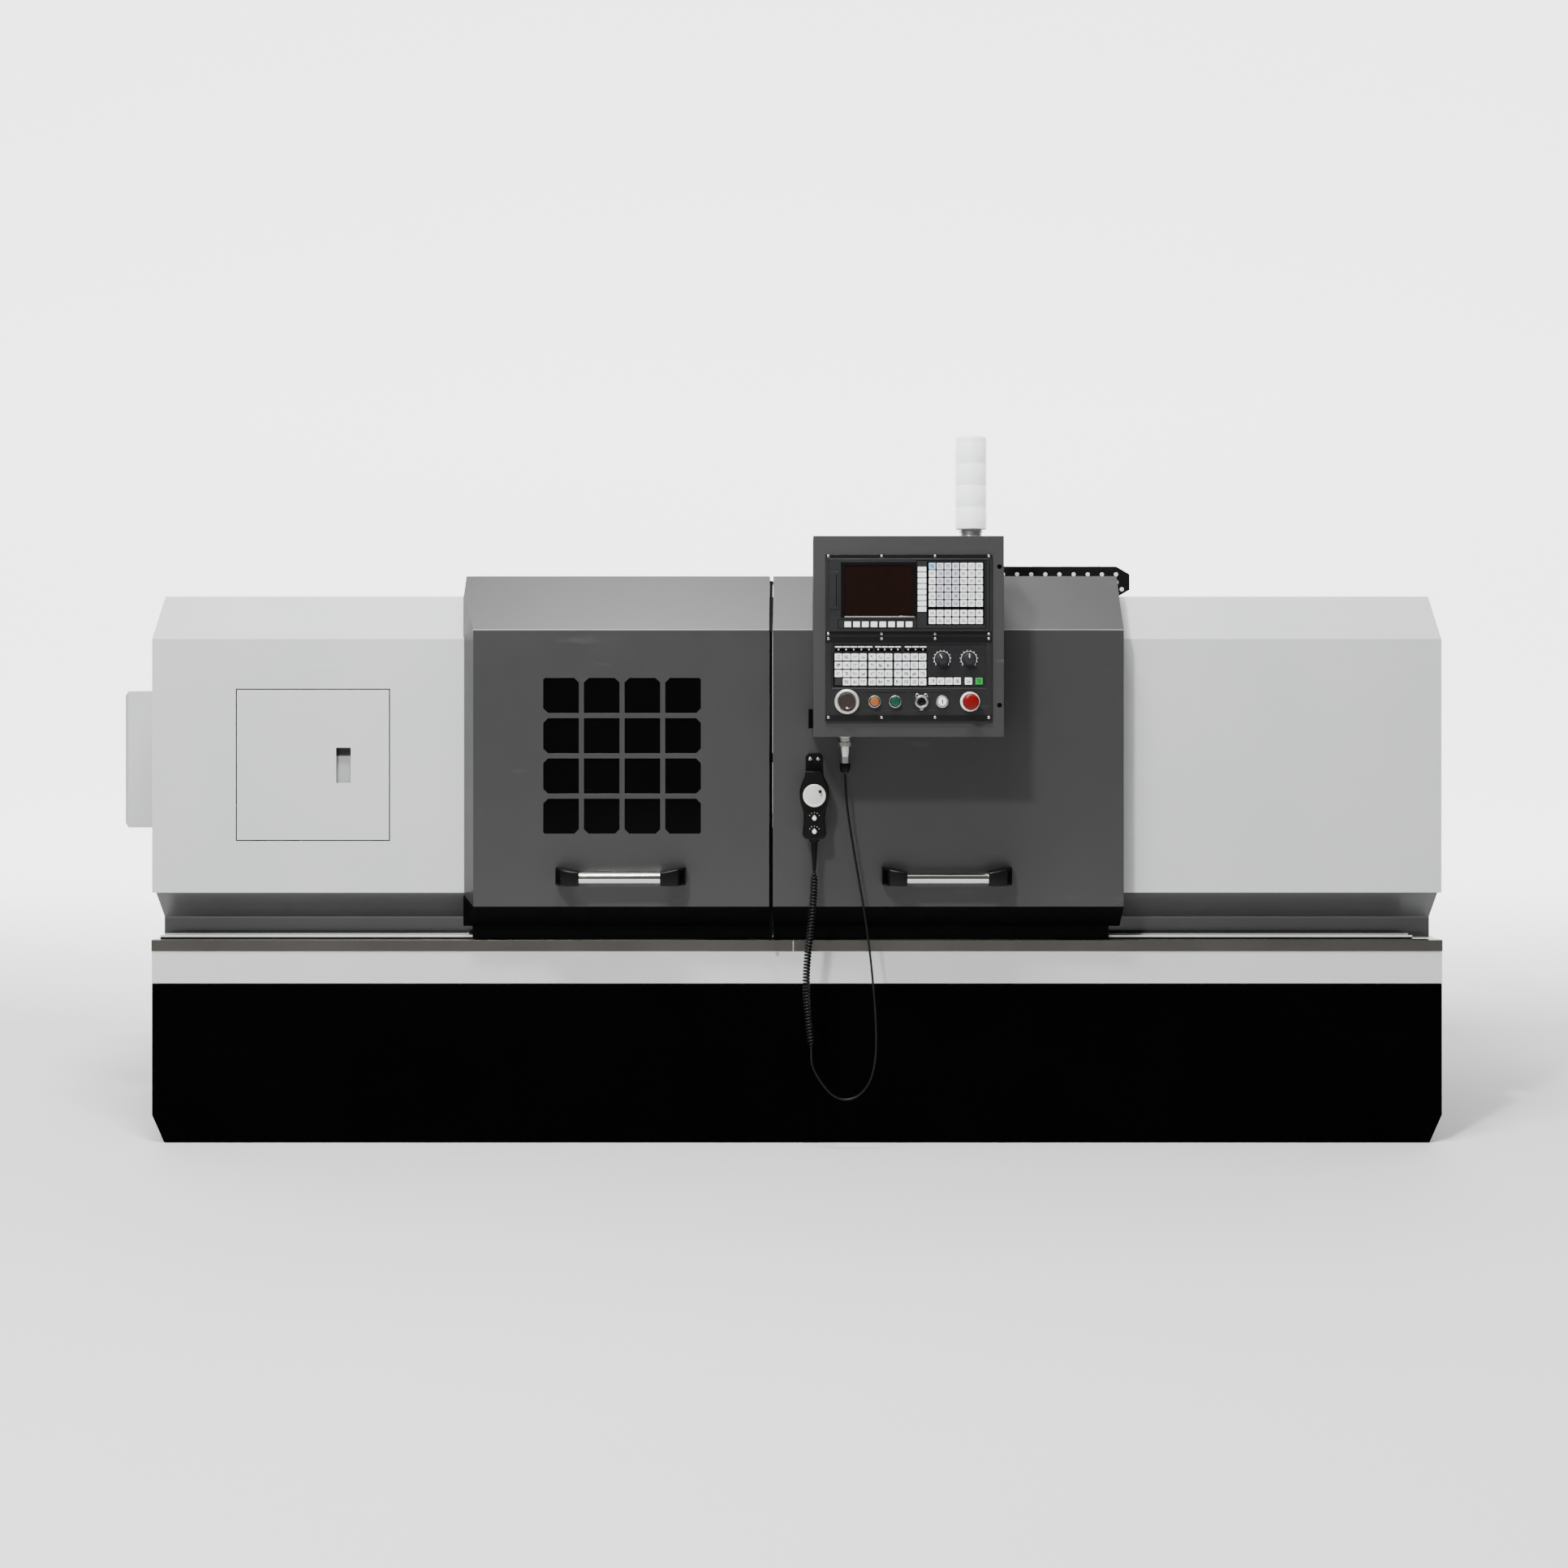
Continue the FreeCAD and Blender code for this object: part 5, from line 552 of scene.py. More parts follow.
# ---------------------------------------------------------------- making meshes
class Shape:
    """Collects solids in millimetres and turns them into one object in metres."""

    def __init__(self) -> None:
        """Start empty."""
        self.mesh = bmesh.new()
        self.finishes: list[str] = []

    def _index(self, finish: str) -> int:
        """Find or add a finish.

        Args:
            finish: Key in FINISHES.

        Returns:
            Its place among the shape's finishes.
        """
        if finish not in self.finishes:
            self.finishes.append(finish)
        return self.finishes.index(finish)

    def loft(self, rings: Sequence[Sequence[Point]], finish: str, closed: bool = False,
            caps: bool = True) -> Shape:
        """Skin over rings of equal length.

        Args:
            rings: Rings of points.
            finish: Finish of the skin.
            closed: Join the last ring to the first.
            caps: Close both ends.

        Returns:
            This shape.
        """
        index = self._index(finish)
        grid = [[self.mesh.verts.new(Vector(p) * MM) for p in ring] for ring in rings]
        spans = list(zip(grid, grid[1:])) + ([(grid[-1], grid[0])] if closed else [])
        for a, b in spans:
            for i in range(len(a)):
                j = (i + 1) % len(a)
                self.mesh.faces.new((a[i], a[j], b[j], b[i])).material_index = index
        if caps and not closed:
            self.mesh.faces.new(list(reversed(grid[0]))).material_index = index
            self.mesh.faces.new(grid[-1]).material_index = index
        return self

    def prism(self, outline: Sequence[Flat], axis: Axis, low: float, high: float, finish: str) -> Shape:
        """Outline carried along an axis.

        Args:
            outline: Points in (y, z) along X, (x, z) along Y and (x, y) along Z.
            axis: Direction.
            low: Start on the axis.
            high: End on the axis.
            finish: Finish of the faces.

        Returns:
            This shape.
        """
        def place(a: float, b: float, t: float) -> Point:
            """Point of the outline at t along the axis."""
            return {Axis.X: (t, a, b), Axis.Y: (a, t, b), Axis.Z: (a, b, t)}[axis]
        return self.loft([[place(a, b, t) for a, b in outline] for t in (low, high)], finish)

    def box(self, low: Point, high: Point, finish: str) -> Shape:
        """Block between two corners."""
        outline = [(low[1], low[2]), (high[1], low[2]), (high[1], high[2]), (low[1], high[2])]
        return self.prism(outline, Axis.X, low[0], high[0], finish)

    def lathe(self, profile: Sequence[Flat], centre: Point, axis: Axis, finish: str, sides: int = 40,
            sign: float = 1.0) -> Shape:
        """Turned solid.

        Args:
            profile: Points of (distance along the axis, radius).
            centre: Start of the axis.
            axis: Direction of the axis.
            finish: Finish of the faces.
            sides: Sides of the turning.
            sign: Minus one to run against the axis.

        Returns:
            This shape.
        """
        along, spokes = axis.spokes(sides, sign)
        rings = [[tuple(Vector(centre) + along * distance + spoke * max(radius, THINNEST))
            for spoke in spokes] for distance, radius in profile]
        return self.loft(rings, finish)

    def ring(self, inner: float, outer: float, centre: Point, low: float, high: float, axis: Axis,
            finish: str, sides: int = 40, sign: float = 1.0, edge: float = 0.4) -> Shape:
        """Flat ring with slightly rounded rims, from low to high along an axis.

        Args:
            inner: Inner radius.
            outer: Outer radius.
            centre: Start of the axis.
            low: Start along the axis.
            high: End along the axis.
            axis: Direction of the axis.
            finish: Finish of the faces.
            sides: Sides of the turning.
            sign: Minus one to run against the axis.
            edge: Size of the bevel at the far rims.

        Returns:
            This shape.
        """
        profile = [(low, inner), (low, outer), (high - edge, outer), (high, outer - edge),
            (high, inner + edge), (high - edge, inner)]
        along, spokes = axis.spokes(sides, sign)
        rings = [[tuple(Vector(centre) + along * t + spoke * r) for t, r in profile] for spoke in spokes]
        return self.loft(rings, finish, closed=True)

    def tube(self, path: Sequence[Point], radius: float, finish: str, sides: int = 14) -> Shape:
        """Round bar along a path.

        Args:
            path: Points of the middle line.
            radius: Radius of the bar.
            finish: Finish of the faces.
            sides: Sides of the bar.

        Returns:
            This shape.
        """
        points = [Vector(p) for p in path]
        rings = []
        reference = Vector(TUBE_REFERENCE)
        for i, point in enumerate(points):
            direction = (points[min(i + 1, len(points) - 1)] - points[max(i - 1, 0)]).normalized()
            first = direction.cross(reference).normalized()
            second = direction.cross(first)
            rings.append([tuple(point + (first * math.cos(a) + second * math.sin(a)) * radius)
                for a in circle_angles(sides)])
        return self.loft(rings, finish)

    def object(self, name: str, bevel: float = 0.0, segments: int = 2,
            angle: float = EDGE_ANGLE) -> bpy.types.Object:
        """Make the object.

        Args:
            name: Name of the piece.
            bevel: Width of its rounded edges, in millimetres.
            segments: Segments of the rounding.
            angle: Least angle of an edge that is rounded or kept sharp, in degrees.

        Returns:
            The object, linked to the scene.
        """
        bmesh.ops.remove_doubles(self.mesh, verts=self.mesh.verts, dist=SAME_SPOT)
        bmesh.ops.recalc_face_normals(self.mesh, faces=self.mesh.faces)
        data = bpy.data.meshes.new(name)
        self.mesh.to_mesh(data)
        self.mesh.free()
        for finish in self.finishes:
            data.materials.append(material(finish))
        made = bpy.data.objects.new(name, data)
        bpy.context.scene.collection.objects.link(made)
        round_edges(made, bevel, segments, angle)
        return made


def round_edges(target: bpy.types.Object, width: float, segments: int = 2,
        angle: float = EDGE_ANGLE) -> None:
    """Round the sharp edges of an object and shade the rest smoothly.

    Args:
        target: The object.
        width: Width of the rounding in millimetres; 0 leaves the edges sharp.
        segments: Segments of the rounding.
        angle: Least angle of an edge that counts, in degrees.
    """
    target.data.shade_smooth()
    if width > 0:
        bevel = target.modifiers.new("edges", "BEVEL")
        bevel.width = width * MM
        bevel.segments = segments
        bevel.limit_method = "ANGLE"
        bevel.angle_limit = math.radians(angle)
        bevel.harden_normals = True
        bevel.use_clamp_overlap = True
    else:
        target.data.set_sharp_from_angle(angle=math.radians(angle))


@dataclass(frozen=True)
class Place:
    """Where a repeated item stands; items are 1 m wide before they are scaled.

    Attributes:
        at: Its middle, in millimetres.
        size: Its size, in millimetres.
        turn: Its turn about X, Y and Z, in degrees.
    """

    at: Point
    size: Point = (1.0, 1.0, 1.0)
    turn: Point = (0.0, 0.0, 0.0)


def repeat_group() -> bpy.types.NodeTree:
    """Geometry nodes that stand an item on every point of a mesh.

    Returns:
        The node group, made at the first call.
    """
    found = bpy.data.node_groups.get("stand_on_points")
    if found:
        return found
    group = bpy.data.node_groups.new("stand_on_points", "GeometryNodeTree")
    group.interface.new_socket("Geometry", in_out="INPUT", socket_type="NodeSocketGeometry")
    group.interface.new_socket("Item", in_out="INPUT", socket_type="NodeSocketObject")
    group.interface.new_socket("Finish", in_out="INPUT", socket_type="NodeSocketMaterial")
    group.interface.new_socket("Geometry", in_out="OUTPUT", socket_type="NodeSocketGeometry")
    nodes, links = group.nodes, group.links
    start, end = nodes.new("NodeGroupInput"), nodes.new("NodeGroupOutput")
    item, stand = nodes.new("GeometryNodeObjectInfo"), nodes.new("GeometryNodeInstanceOnPoints")
    real, paint = nodes.new("GeometryNodeRealizeInstances"), nodes.new("GeometryNodeSetMaterial")
    links.new(start.outputs["Geometry"], stand.inputs["Points"])
    links.new(start.outputs["Item"], item.inputs["Object"])
    links.new(item.outputs["Geometry"], stand.inputs["Instance"])
    for name, socket in (("size", "Scale"), ("turn", "Rotation")):
        read = nodes.new("GeometryNodeInputNamedAttribute")
        read.data_type = "FLOAT_VECTOR"
        read.inputs["Name"].default_value = name
        links.new(read.outputs["Attribute"], stand.inputs[socket])
    links.new(stand.outputs[0], real.inputs[0])
    links.new(real.outputs[0], paint.inputs["Geometry"])
    links.new(start.outputs["Finish"], paint.inputs["Material"])
    links.new(paint.outputs[0], end.inputs[0])
    return group


def repeated(name: str, item: bpy.types.Object, places: Sequence[Place], finish: str,
        keep: bool = False) -> bpy.types.Object:
    """Stand copies of an item on places, as one plain mesh.

    Args:
        name: Name of the piece.
        item: Item around the origin; it stays out of the render.
        places: Where the copies stand.
        finish: Finish of all of them.
        keep: Leave the item in place, for another piece.

    Returns:
        The finished piece.
    """
    data = bpy.data.meshes.new(name)
    data.from_pydata([tuple(c * MM for c in p.at) for p in places], [], [])
    size = data.attributes.new("size", "FLOAT_VECTOR", "POINT")
    turn = data.attributes.new("turn", "FLOAT_VECTOR", "POINT")
    for index, place in enumerate(places):
        size.data[index].vector = [s * MM for s in place.size]
        turn.data[index].vector = [math.radians(a) for a in place.turn]
    made = bpy.data.objects.new(name, data)
    bpy.context.scene.collection.objects.link(made)
    group = repeat_group()
    modifier = made.modifiers.new("stand", "NODES")
    modifier.node_group = group
    keys = {s.name: s.identifier for s in group.interface.items_tree if s.in_out == "INPUT"}
    modifier[keys["Item"]] = item
    modifier[keys["Finish"]] = material(finish)
    bpy.context.view_layer.update()
    graph = bpy.context.evaluated_depsgraph_get()
    plain = bpy.data.meshes.new_from_object(made.evaluated_get(graph))
    made.modifiers.remove(modifier)
    made.data = plain
    plain.name = name
    for attribute in ("size", "turn"):
        if attribute in plain.attributes:
            plain.attributes.remove(plain.attributes[attribute])
    if not keep:
        bpy.data.objects.remove(item)
    return made


def applied(target: bpy.types.Object) -> bpy.types.Object:
    """Apply an object's modifiers.

    Args:
        target: The object.

    Returns:
        The same object, with a plain mesh.
    """
    graph = bpy.context.evaluated_depsgraph_get()
    plain = bpy.data.meshes.new_from_object(target.evaluated_get(graph))
    target.modifiers.clear()
    target.data = plain
    return target


def master(shape: Shape, name: str, bevel: float = 0.0, segments: int = 2) -> bpy.types.Object:
    """Make the item of a repeated piece."""
    return applied(shape.object(name, bevel, segments))


def cap_item() -> bpy.types.Object:
    """Unit key cap, with a flat sheet of coordinates over its front for the marks.

    Returns:
        The item.
    """
    made = master(Shape().box((-500, -500, -500), (500, 500, 500), "key"), "item_cap", 70.0, 3)
    layer = made.data.uv_layers.new(name="sheet")
    for loop in made.data.loops:
        spot = made.data.vertices[loop.vertex_index].co
        layer.data[loop.index].uv = (spot.x + 0.5, spot.z + 0.5)
    return made


def screw_item(finish: str) -> bpy.types.Object:
    """Pan-head screw of 1 mm diameter and height along -Y, with a cross.

    Args:
        finish: Finish of the head.

    Returns:
        The item.
    """
    shape = Shape().lathe([(0, 500), (500, 500), (800, 420), (1000, 250), (1000, 1)],
        (0, 0, 0), Axis.Y, finish, 20, -1)
    for a, b in ((60, 280), (280, 60)):
        shape.box((-a, -1005, -b), (a, -990, b), "plastic")
    return master(shape, "item_screw_" + finish)


def socket_item() -> bpy.types.Object:
    """Cap screw along +Z, of 1 mm diameter and height, with a hexagon socket.

    Returns:
        The item.
    """
    shape = Shape().lathe([(0, 500), (900, 500), (1000, 420), (1000, 290), (500, 290), (500, 1)],
        (0, 0, 0), Axis.Z, "dark_steel", 18)
    return master(shape, "item_socket")


def ride(piece: bpy.types.Object, body: Body, *nodes: str, slot: str | None = None) -> bpy.types.Object:
    """Tie a piece to a body and to the CAD nodes that it stands for.

    Args:
        piece: The piece.
        body: Body it moves with.
        nodes: CAD nodes it replaces.
        slot: Not used.

    Returns:
        The piece.
    """
    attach(piece, body.value)
    if nodes:
        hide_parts(*nodes)
    return piece


# ---------------------------------------------------------------- outlines
def rounded_corners(a0: float, a1: float, b0: float, b1: float, radius: float,
        steps: int = 5) -> list[Flat]:
    """Rectangle with round corners.

    Args:
        a0: Lowest first coordinate.
        a1: Highest first coordinate.
        b0: Lowest second coordinate.
        b1: Highest second coordinate.
        radius: Radius of the corners.
        steps: Steps in a corner.

    Returns:
        Its points.
    """
    points = []
    for ca, cb, start in ((a1 - radius, b1 - radius, 0), (a0 + radius, b1 - radius, 90),
            (a0 + radius, b0 + radius, 180), (a1 - radius, b0 + radius, 270)):
        for i in range(steps + 1):
            angle = math.radians(start + 90 * i / steps)
            points.append((ca + radius * math.cos(angle), cb + radius * math.sin(angle)))
    return points


def smooth_outline(half: Sequence[Flat], steps: int = 6) -> list[Flat]:
    """Symmetrical outline through the right half's points, on a smooth curve.

    Args:
        half: Points (distance from the middle, height) from top to bottom.
        steps: Points between each two.

    Returns:
        Closed outline round the middle line x = 0.
    """
    fine: list[Flat] = []
    padded = [half[0], *half, half[-1]]
    for a, b, c, d in zip(padded, padded[1:], padded[2:], padded[3:]):
        for i in range(steps):
            t = i / steps
            fine.append(tuple(0.5 * (2 * q + (r - p) * t + (2 * p - 5 * q + 4 * r - s) * t * t
                + (3 * q - p - 3 * r + s) * t ** 3) for p, q, r, s in zip(a, b, c, d)))
    fine.append(half[-1])
    return fine + [(-x, z) for x, z in reversed(fine)]


def tick(x: float, z: float, angle: float, near: float, far: float, half: float) -> list[Flat]:
    """Outline of a printed tick that points away from a centre.

    Args:
        x: Centre.
        z: Centre.
        angle: Direction of the tick, in degrees from +X.
        near: Inner end, from the centre.
        far: Outer end, from the centre.
        half: Half of the tick's width.

    Returns:
        Its four corners in (x, z).
    """
    a = math.radians(angle)
    return [(x + math.cos(a) * r - math.sin(a) * w, z + math.sin(a) * r + math.cos(a) * w) for r,
        w in ((near, half), (far, half), (far, -half), (near, -half))]


class Assembly:
    """Base of the sub-assemblies, which build their pieces one by one."""

    def build(self) -> Iterator[bpy.types.Object]:
        """Make the pieces and tie each one to its body."""
        raise NotImplementedError


# ---------------------------------------------------------------- CAD nodes that stay
@dataclass(frozen=True)
class CadNodes:
    """The carried-over CAD nodes.

    Attributes:
        edges: For each finish, its nodes with the width of their edges in millimetres.
        black_below: Height under which the faces of a node are black.
        weld: Distance at which loose corners are joined, in metres.
    """

    edges: dict[str, dict[str, float]]
    black_below: dict[str, float]
    weld: float = 0.00002

    def paint(self, node: bpy.types.Object, finish: str, edge: float) -> None:
        """Give one node its finish and rounded edges.

        Args:
            node: The node.
            finish: Its finish.
            edge: Width of its edges.
        """
        mesh = node.data
        mesh.materials.clear()
        mesh.materials.append(material(finish))
        mesh.polygons.foreach_set("material_index", [0] * len(mesh.polygons))
        if "custom_normal" in mesh.attributes:
            mesh.attributes.remove(mesh.attributes["custom_normal"])
        if node.name in self.black_below:
            mesh.materials.append(material("door_foot"))
            for face in mesh.polygons:
                face.material_index = 1 if face.center.z < self.black_below[node.name] * MM else 0
        weld = node.modifiers.new("weld", "WELD")
        weld.merge_threshold = self.weld
        round_edges(node, edge)
        LOG.info("dressed %s in %s", node.name, finish)

    def dress(self, nodes: dict[str, bpy.types.Object]) -> None:
        """Give every node its finish and rounded edges.

        Args:
            nodes: CAD nodes by name.
        """
        for finish, edges in self.edges.items():
            for name, edge in edges.items():
                self.paint(nodes[name], finish, edge)


KEPT_NODES = CadNodes(black_below={"left_door": 617.9, "right_door": 617.9}, edges={
    "plinth": {"base_plinth": 3.0},
    "tray": {"chip_tray": 1.6},
    "stainless": {"tray_lips": 0.8},
    "rail": {"door_guides": 0.6},
    "light": {"left_housing": 1.2, "right_housing": 1.2, "service_door": 1.0, "gear_end_cover": 1.0,
        "rear_guard": 1.0, "cabinet": 1.2, "cabinet_door": 1.2},
    "skirt": {"housing_skirts": 1.2},
    "gear": {"control_gear": 1.0},
    "door": {"left_door": 1.0, "right_door": 1.0},
    "nylon": {"left_door_shoes": 0.6, "right_door_shoes": 0.6, "chain_bend": 0.8},
    "glass": {"window_pane": 0.8},
    "cast": {"bed": 3.0, "headstock": 4.0, "carriage": 1.5, "lead_screw_blocks": 1.5, "tailstock": 1.8},
    "machined": {"spindle": 0.8, "motor_pulley": 0.8, "lead_screw": 0.0, "cross_slide": 1.0, "quill": 0.6},
    "rubber": {"drive_belt": 0.6},
    "motor": {"main_motor": 3.0},
    "dark_steel": {"chuck_jaw_1": 0.8, "chuck_jaw_2": 0.8, "chuck_jaw_3": 0.8, "tool_turret": 1.5,
        "turning_tools": 0.5},
    "box": {"operator_box": 1.0},
    "unit": {"control_unit": 0.5},
    "panel": {"machine_panel": 0.4},
    "plastic": {"pendant_hook": 0.8},
})


# ---------------------------------------------------------------- camera, light and floor
@dataclass(frozen=True)
class Lamp:
    """Soft area light, in metres and watts."""

    name: str
    at: Point
    aim: Point
    size: Flat
    power: float


@dataclass(frozen=True)
class Studio:
    """Camera at the photograph's place, soft lamps, a white surround and a pale floor with a wide sweep.

    Attributes:
        focal: Focal length in pixels of the photograph.
        centre: Pixel of the photograph that the camera looks straight at.
        eye: Place of the camera.
        surround: Strength of the surround.
        near: Front end of the floor.
        bend: Where the floor starts to rise.
        radius: Radius of the rise.
        top: Top of the sweep.
        half_width: Half of the floor's width.
        thick: Thickness of the floor.
        level: Height of the floor, a hair under the plinth.
        lamps: The lamps.
    """

    focal: float = 2476.0
    centre: Flat = (982.0, 830.0)
    eye: Point = (0.0, -5.9, 1.214)
    surround: float = 0.14
    near: float = -14000.0
    bend: float = 5000.0
    radius: float = 3000.0
    top: float = 16000.0
    half_width: float = 16000.0
    thick: float = 200.0
    level: float = -0.4
    lamps: tuple[Lamp, ...] = (
        Lamp("overhead", (0.0, -0.6, 5.2), (0.0, -0.6, 0.0), (9.0, 6.0), 250.0),
        Lamp("key", (-1.8, -5.4, 5.3), (0.0, -0.8, 1.0), (0.5, 0.4), 500.0),
        Lamp("steep", (-0.5, -2.6, 5.6), (0.1, -0.7, 0.9), (1.6, 0.3), 400.0),
        Lamp("back", (0.0, 5.0, 3.6), (0.0, 0.6, 0.9), (5.0, 3.0), 60.0),
    )

    def camera(self) -> None:
        """Level camera, square on, a little over the middle of the machine."""
        data = bpy.data.cameras.new("camera")
        data.sensor_width = SENSOR
        data.lens = SENSOR * self.focal / IMAGE_SIDE
        data.shift_x = (IMAGE_SIDE / 2 - self.centre[0]) / IMAGE_SIDE
        data.shift_y = (self.centre[1] - IMAGE_SIDE / 2) / IMAGE_SIDE
        data.clip_end = 100.0
        made = bpy.data.objects.new("camera", data)
        made.location = self.eye
        made.rotation_euler = Euler((math.radians(90), 0, 0))
        bpy.context.scene.collection.objects.link(made)
        bpy.context.scene.camera = made

    def floor(self) -> None:
        """Floor and back wall in one bent sheet, just under the plinth."""
        quarter = [math.pi / 24 * i for i in range(1, 13)]
        profile = [(self.near, self.level), (self.bend, self.level)]
        profile += [(self.bend + self.radius * math.sin(a), self.radius + self.level - self.radius
            * math.cos(a)) for a in quarter]
        wall = self.bend + self.radius
        profile += [(wall, self.top), (wall + self.thick, self.top),
            (wall + self.thick, -self.thick), (self.near, -self.thick)]
        shape = Shape().prism(profile, Axis.X, -self.half_width, self.half_width, "floor")
        shape.object("floor", angle=40.0)

    def light(self) -> None:
        """Lamps and surround."""
        for lamp in self.lamps:
            data = bpy.data.lights.new(lamp.name, "AREA")
            data.shape = "RECTANGLE"
            data.size, data.size_y = lamp.size
            data.energy = lamp.power
            made = bpy.data.objects.new(lamp.name, data)
            made.location = lamp.at
            made.rotation_euler = (Vector(lamp.aim) - Vector(lamp.at)).to_track_quat("-Z", "Y").to_euler()
            bpy.context.scene.collection.objects.link(made)
        world = bpy.data.worlds.new("surround")
        world.use_nodes = True
        sky = world.node_tree.nodes["Background"]
        sky.inputs["Color"].default_value = (1.0, 1.0, 1.0, 1.0)
        sky.inputs["Strength"].default_value = self.surround
        bpy.context.scene.world = world


# ---------------------------------------------------------------- pendant cord
@dataclass(frozen=True)
class PendantCord(Assembly):
    """The hanging cord of the pendant on one spline: straight run, loop and curls.

    Attributes:
        depth: Y of the whole route.
        diameter: Diameter of the cord.
        route: Points (x, z) from the connector down and round the loop.
        curls: Number of curls.
        steps: Control points of a curl.
        radius: Radius of the curls' middle line.
        sag: How far the curly run bows to the left.
        end: Where the cord enters the pendant's strain relief, (x, z).
    """

    depth: float = -805.0
    diameter: float = 5.6
    route: tuple[Flat, ...] = (
        (122.0, 961.0), (123.0, 921.0), (129.0, 861.0), (141.0, 783.0), (155.0, 701.0), (169.5, 620.0),
        (181.0, 540.0), (190.0, 460.0), (197.0, 382.0), (201.0, 306.0), (200.0, 238.0), (187.0, 180.0),
        (158.0, 143.0), (124.0, 131.0), (90.0, 143.0), (62.0, 176.0), (36.0, 220.0), (36.0, 262.0),
    )
    curls: int = 56
    steps: int = 12
    radius: float = 7.25
    sag: float = 15.0
    end: Flat = (44.0, 715.0)

    def curl_points(self) -> list[Point]:
        """Control points of the curls, from the loop at the foot up to the strain relief.

        Returns:
            The points, in millimetres.
        """
        points = []
        foot = self.route[-1]
        count = self.curls * self.steps
        for i in range(1, count):
            t = i / count
            middle_x = foot[0] + (self.end[0] - foot[0]) * t * t * (3 - 2 * t)
            middle_x -= self.sag * math.sin(math.pi * t ** 0.75) ** 2
            middle_z = foot[1] + (self.end[1] - foot[1]) * t
            lead = min(1.0, t * self.curls / 3.0, (1 - t) * self.curls / 3.0)
            radius = self.radius * lead * lead * (3 - 2 * lead)
            angle = 2 * math.pi * i / self.steps
            points.append((middle_x + radius * math.cos(angle),
                self.depth + radius * math.sin(angle), middle_z))
        return points

    def length(self, cord: bpy.types.Object) -> float:
        """Measure the cord's own line.

        Args:
            cord: The cord.

        Returns:
            Its length in metres.
        """
        depth = cord.data.bevel_depth
        cord.data.bevel_depth = 0.0
        bpy.context.view_layer.update()
        graph = bpy.context.evaluated_depsgraph_get()
        line = bpy.data.meshes.new_from_object(cord.evaluated_get(graph))
        spots = [v.co.copy() for v in line.vertices]
        cord.data.bevel_depth = depth
        bpy.data.meshes.remove(line)
        return sum((b - a).length for a, b in zip(spots, spots[1:]))

    def build(self) -> Iterator[bpy.types.Object]:
        """Returns:
            The pieces, one by one.
        """
        points = [(x, self.depth, z) for x, z in self.route] + self.curl_points()
        points.append((self.end[0], self.depth, self.end[1]))
        data = bpy.data.curves.new("pendant_cord", "CURVE")
        data.dimensions = "3D"
        spline = data.splines.new("NURBS")
        spline.points.add(len(points) - 1)
        for spot, point in zip(spline.points, points):
            spot.co = (*(c * MM for c in point), 1.0)
            spot.radius = self.diameter / 2 * MM
        spline.order_u = 3
        spline.use_endpoint_u = True
        spline.resolution_u = 3
        data.bevel_depth = 1.0
        data.bevel_resolution = 2
        data.use_fill_caps = True
        data.materials.append(material("cord"))
        cord = bpy.data.objects.new("pendant_cord", data)
        bpy.context.scene.collection.objects.link(cord)
        ride(cord, Body.RIGHT_DOOR, "straight_cord", "curly_cord", slot="cord_black")
        round(self.length(cord), 3)
        yield cord


CORD = PendantCord()


# ---------------------------------------------------------------- right door: operator panel
@dataclass(frozen=True)
class KeyBlock:
    """Grid of like key caps.

    Attributes:
        left: Left edge of the first column.
        tops: Top of each row.
        columns: Number of columns.
        pitch: Step from column to column.
        size: Width and height of a cap.
        front: Y of the plate that the caps stand on.
        proud: Height of the caps over the plate.
        finish: Finish of the caps.
        odd: Caps with another finish, as (row, column, finish).
    """

    left: float
    tops: tuple[float, ...]
    columns: int
    pitch: float
    size: Flat
    front: float
    proud: float = 1.6
    finish: str = "key"
    odd: tuple[tuple[int, int, str], ...] = ()

    def places(self) -> Iterator[tuple[str, Place]]:
        """Give the finish and the place of every cap.

        Returns:
            Finish and place of one cap after the other.
        """
        special = {(row, column): finish for row, column, finish in self.odd}
        depth = self.proud + 1.0
        width, height = self.size
        for row, top in enumerate(self.tops):
            for column in range(self.columns):
                middle = (self.left + self.pitch * column + width / 2,
                    self.front - self.proud + depth / 2, top - height / 2)
                yield special.get((row, column), self.finish), Place(middle, (width, depth, height))


def rows(top: float, pitch: float, count: int) -> tuple[float, ...]:
    """Tops of evenly spaced rows, from the highest down."""
    return tuple(top - pitch * i for i in range(count))


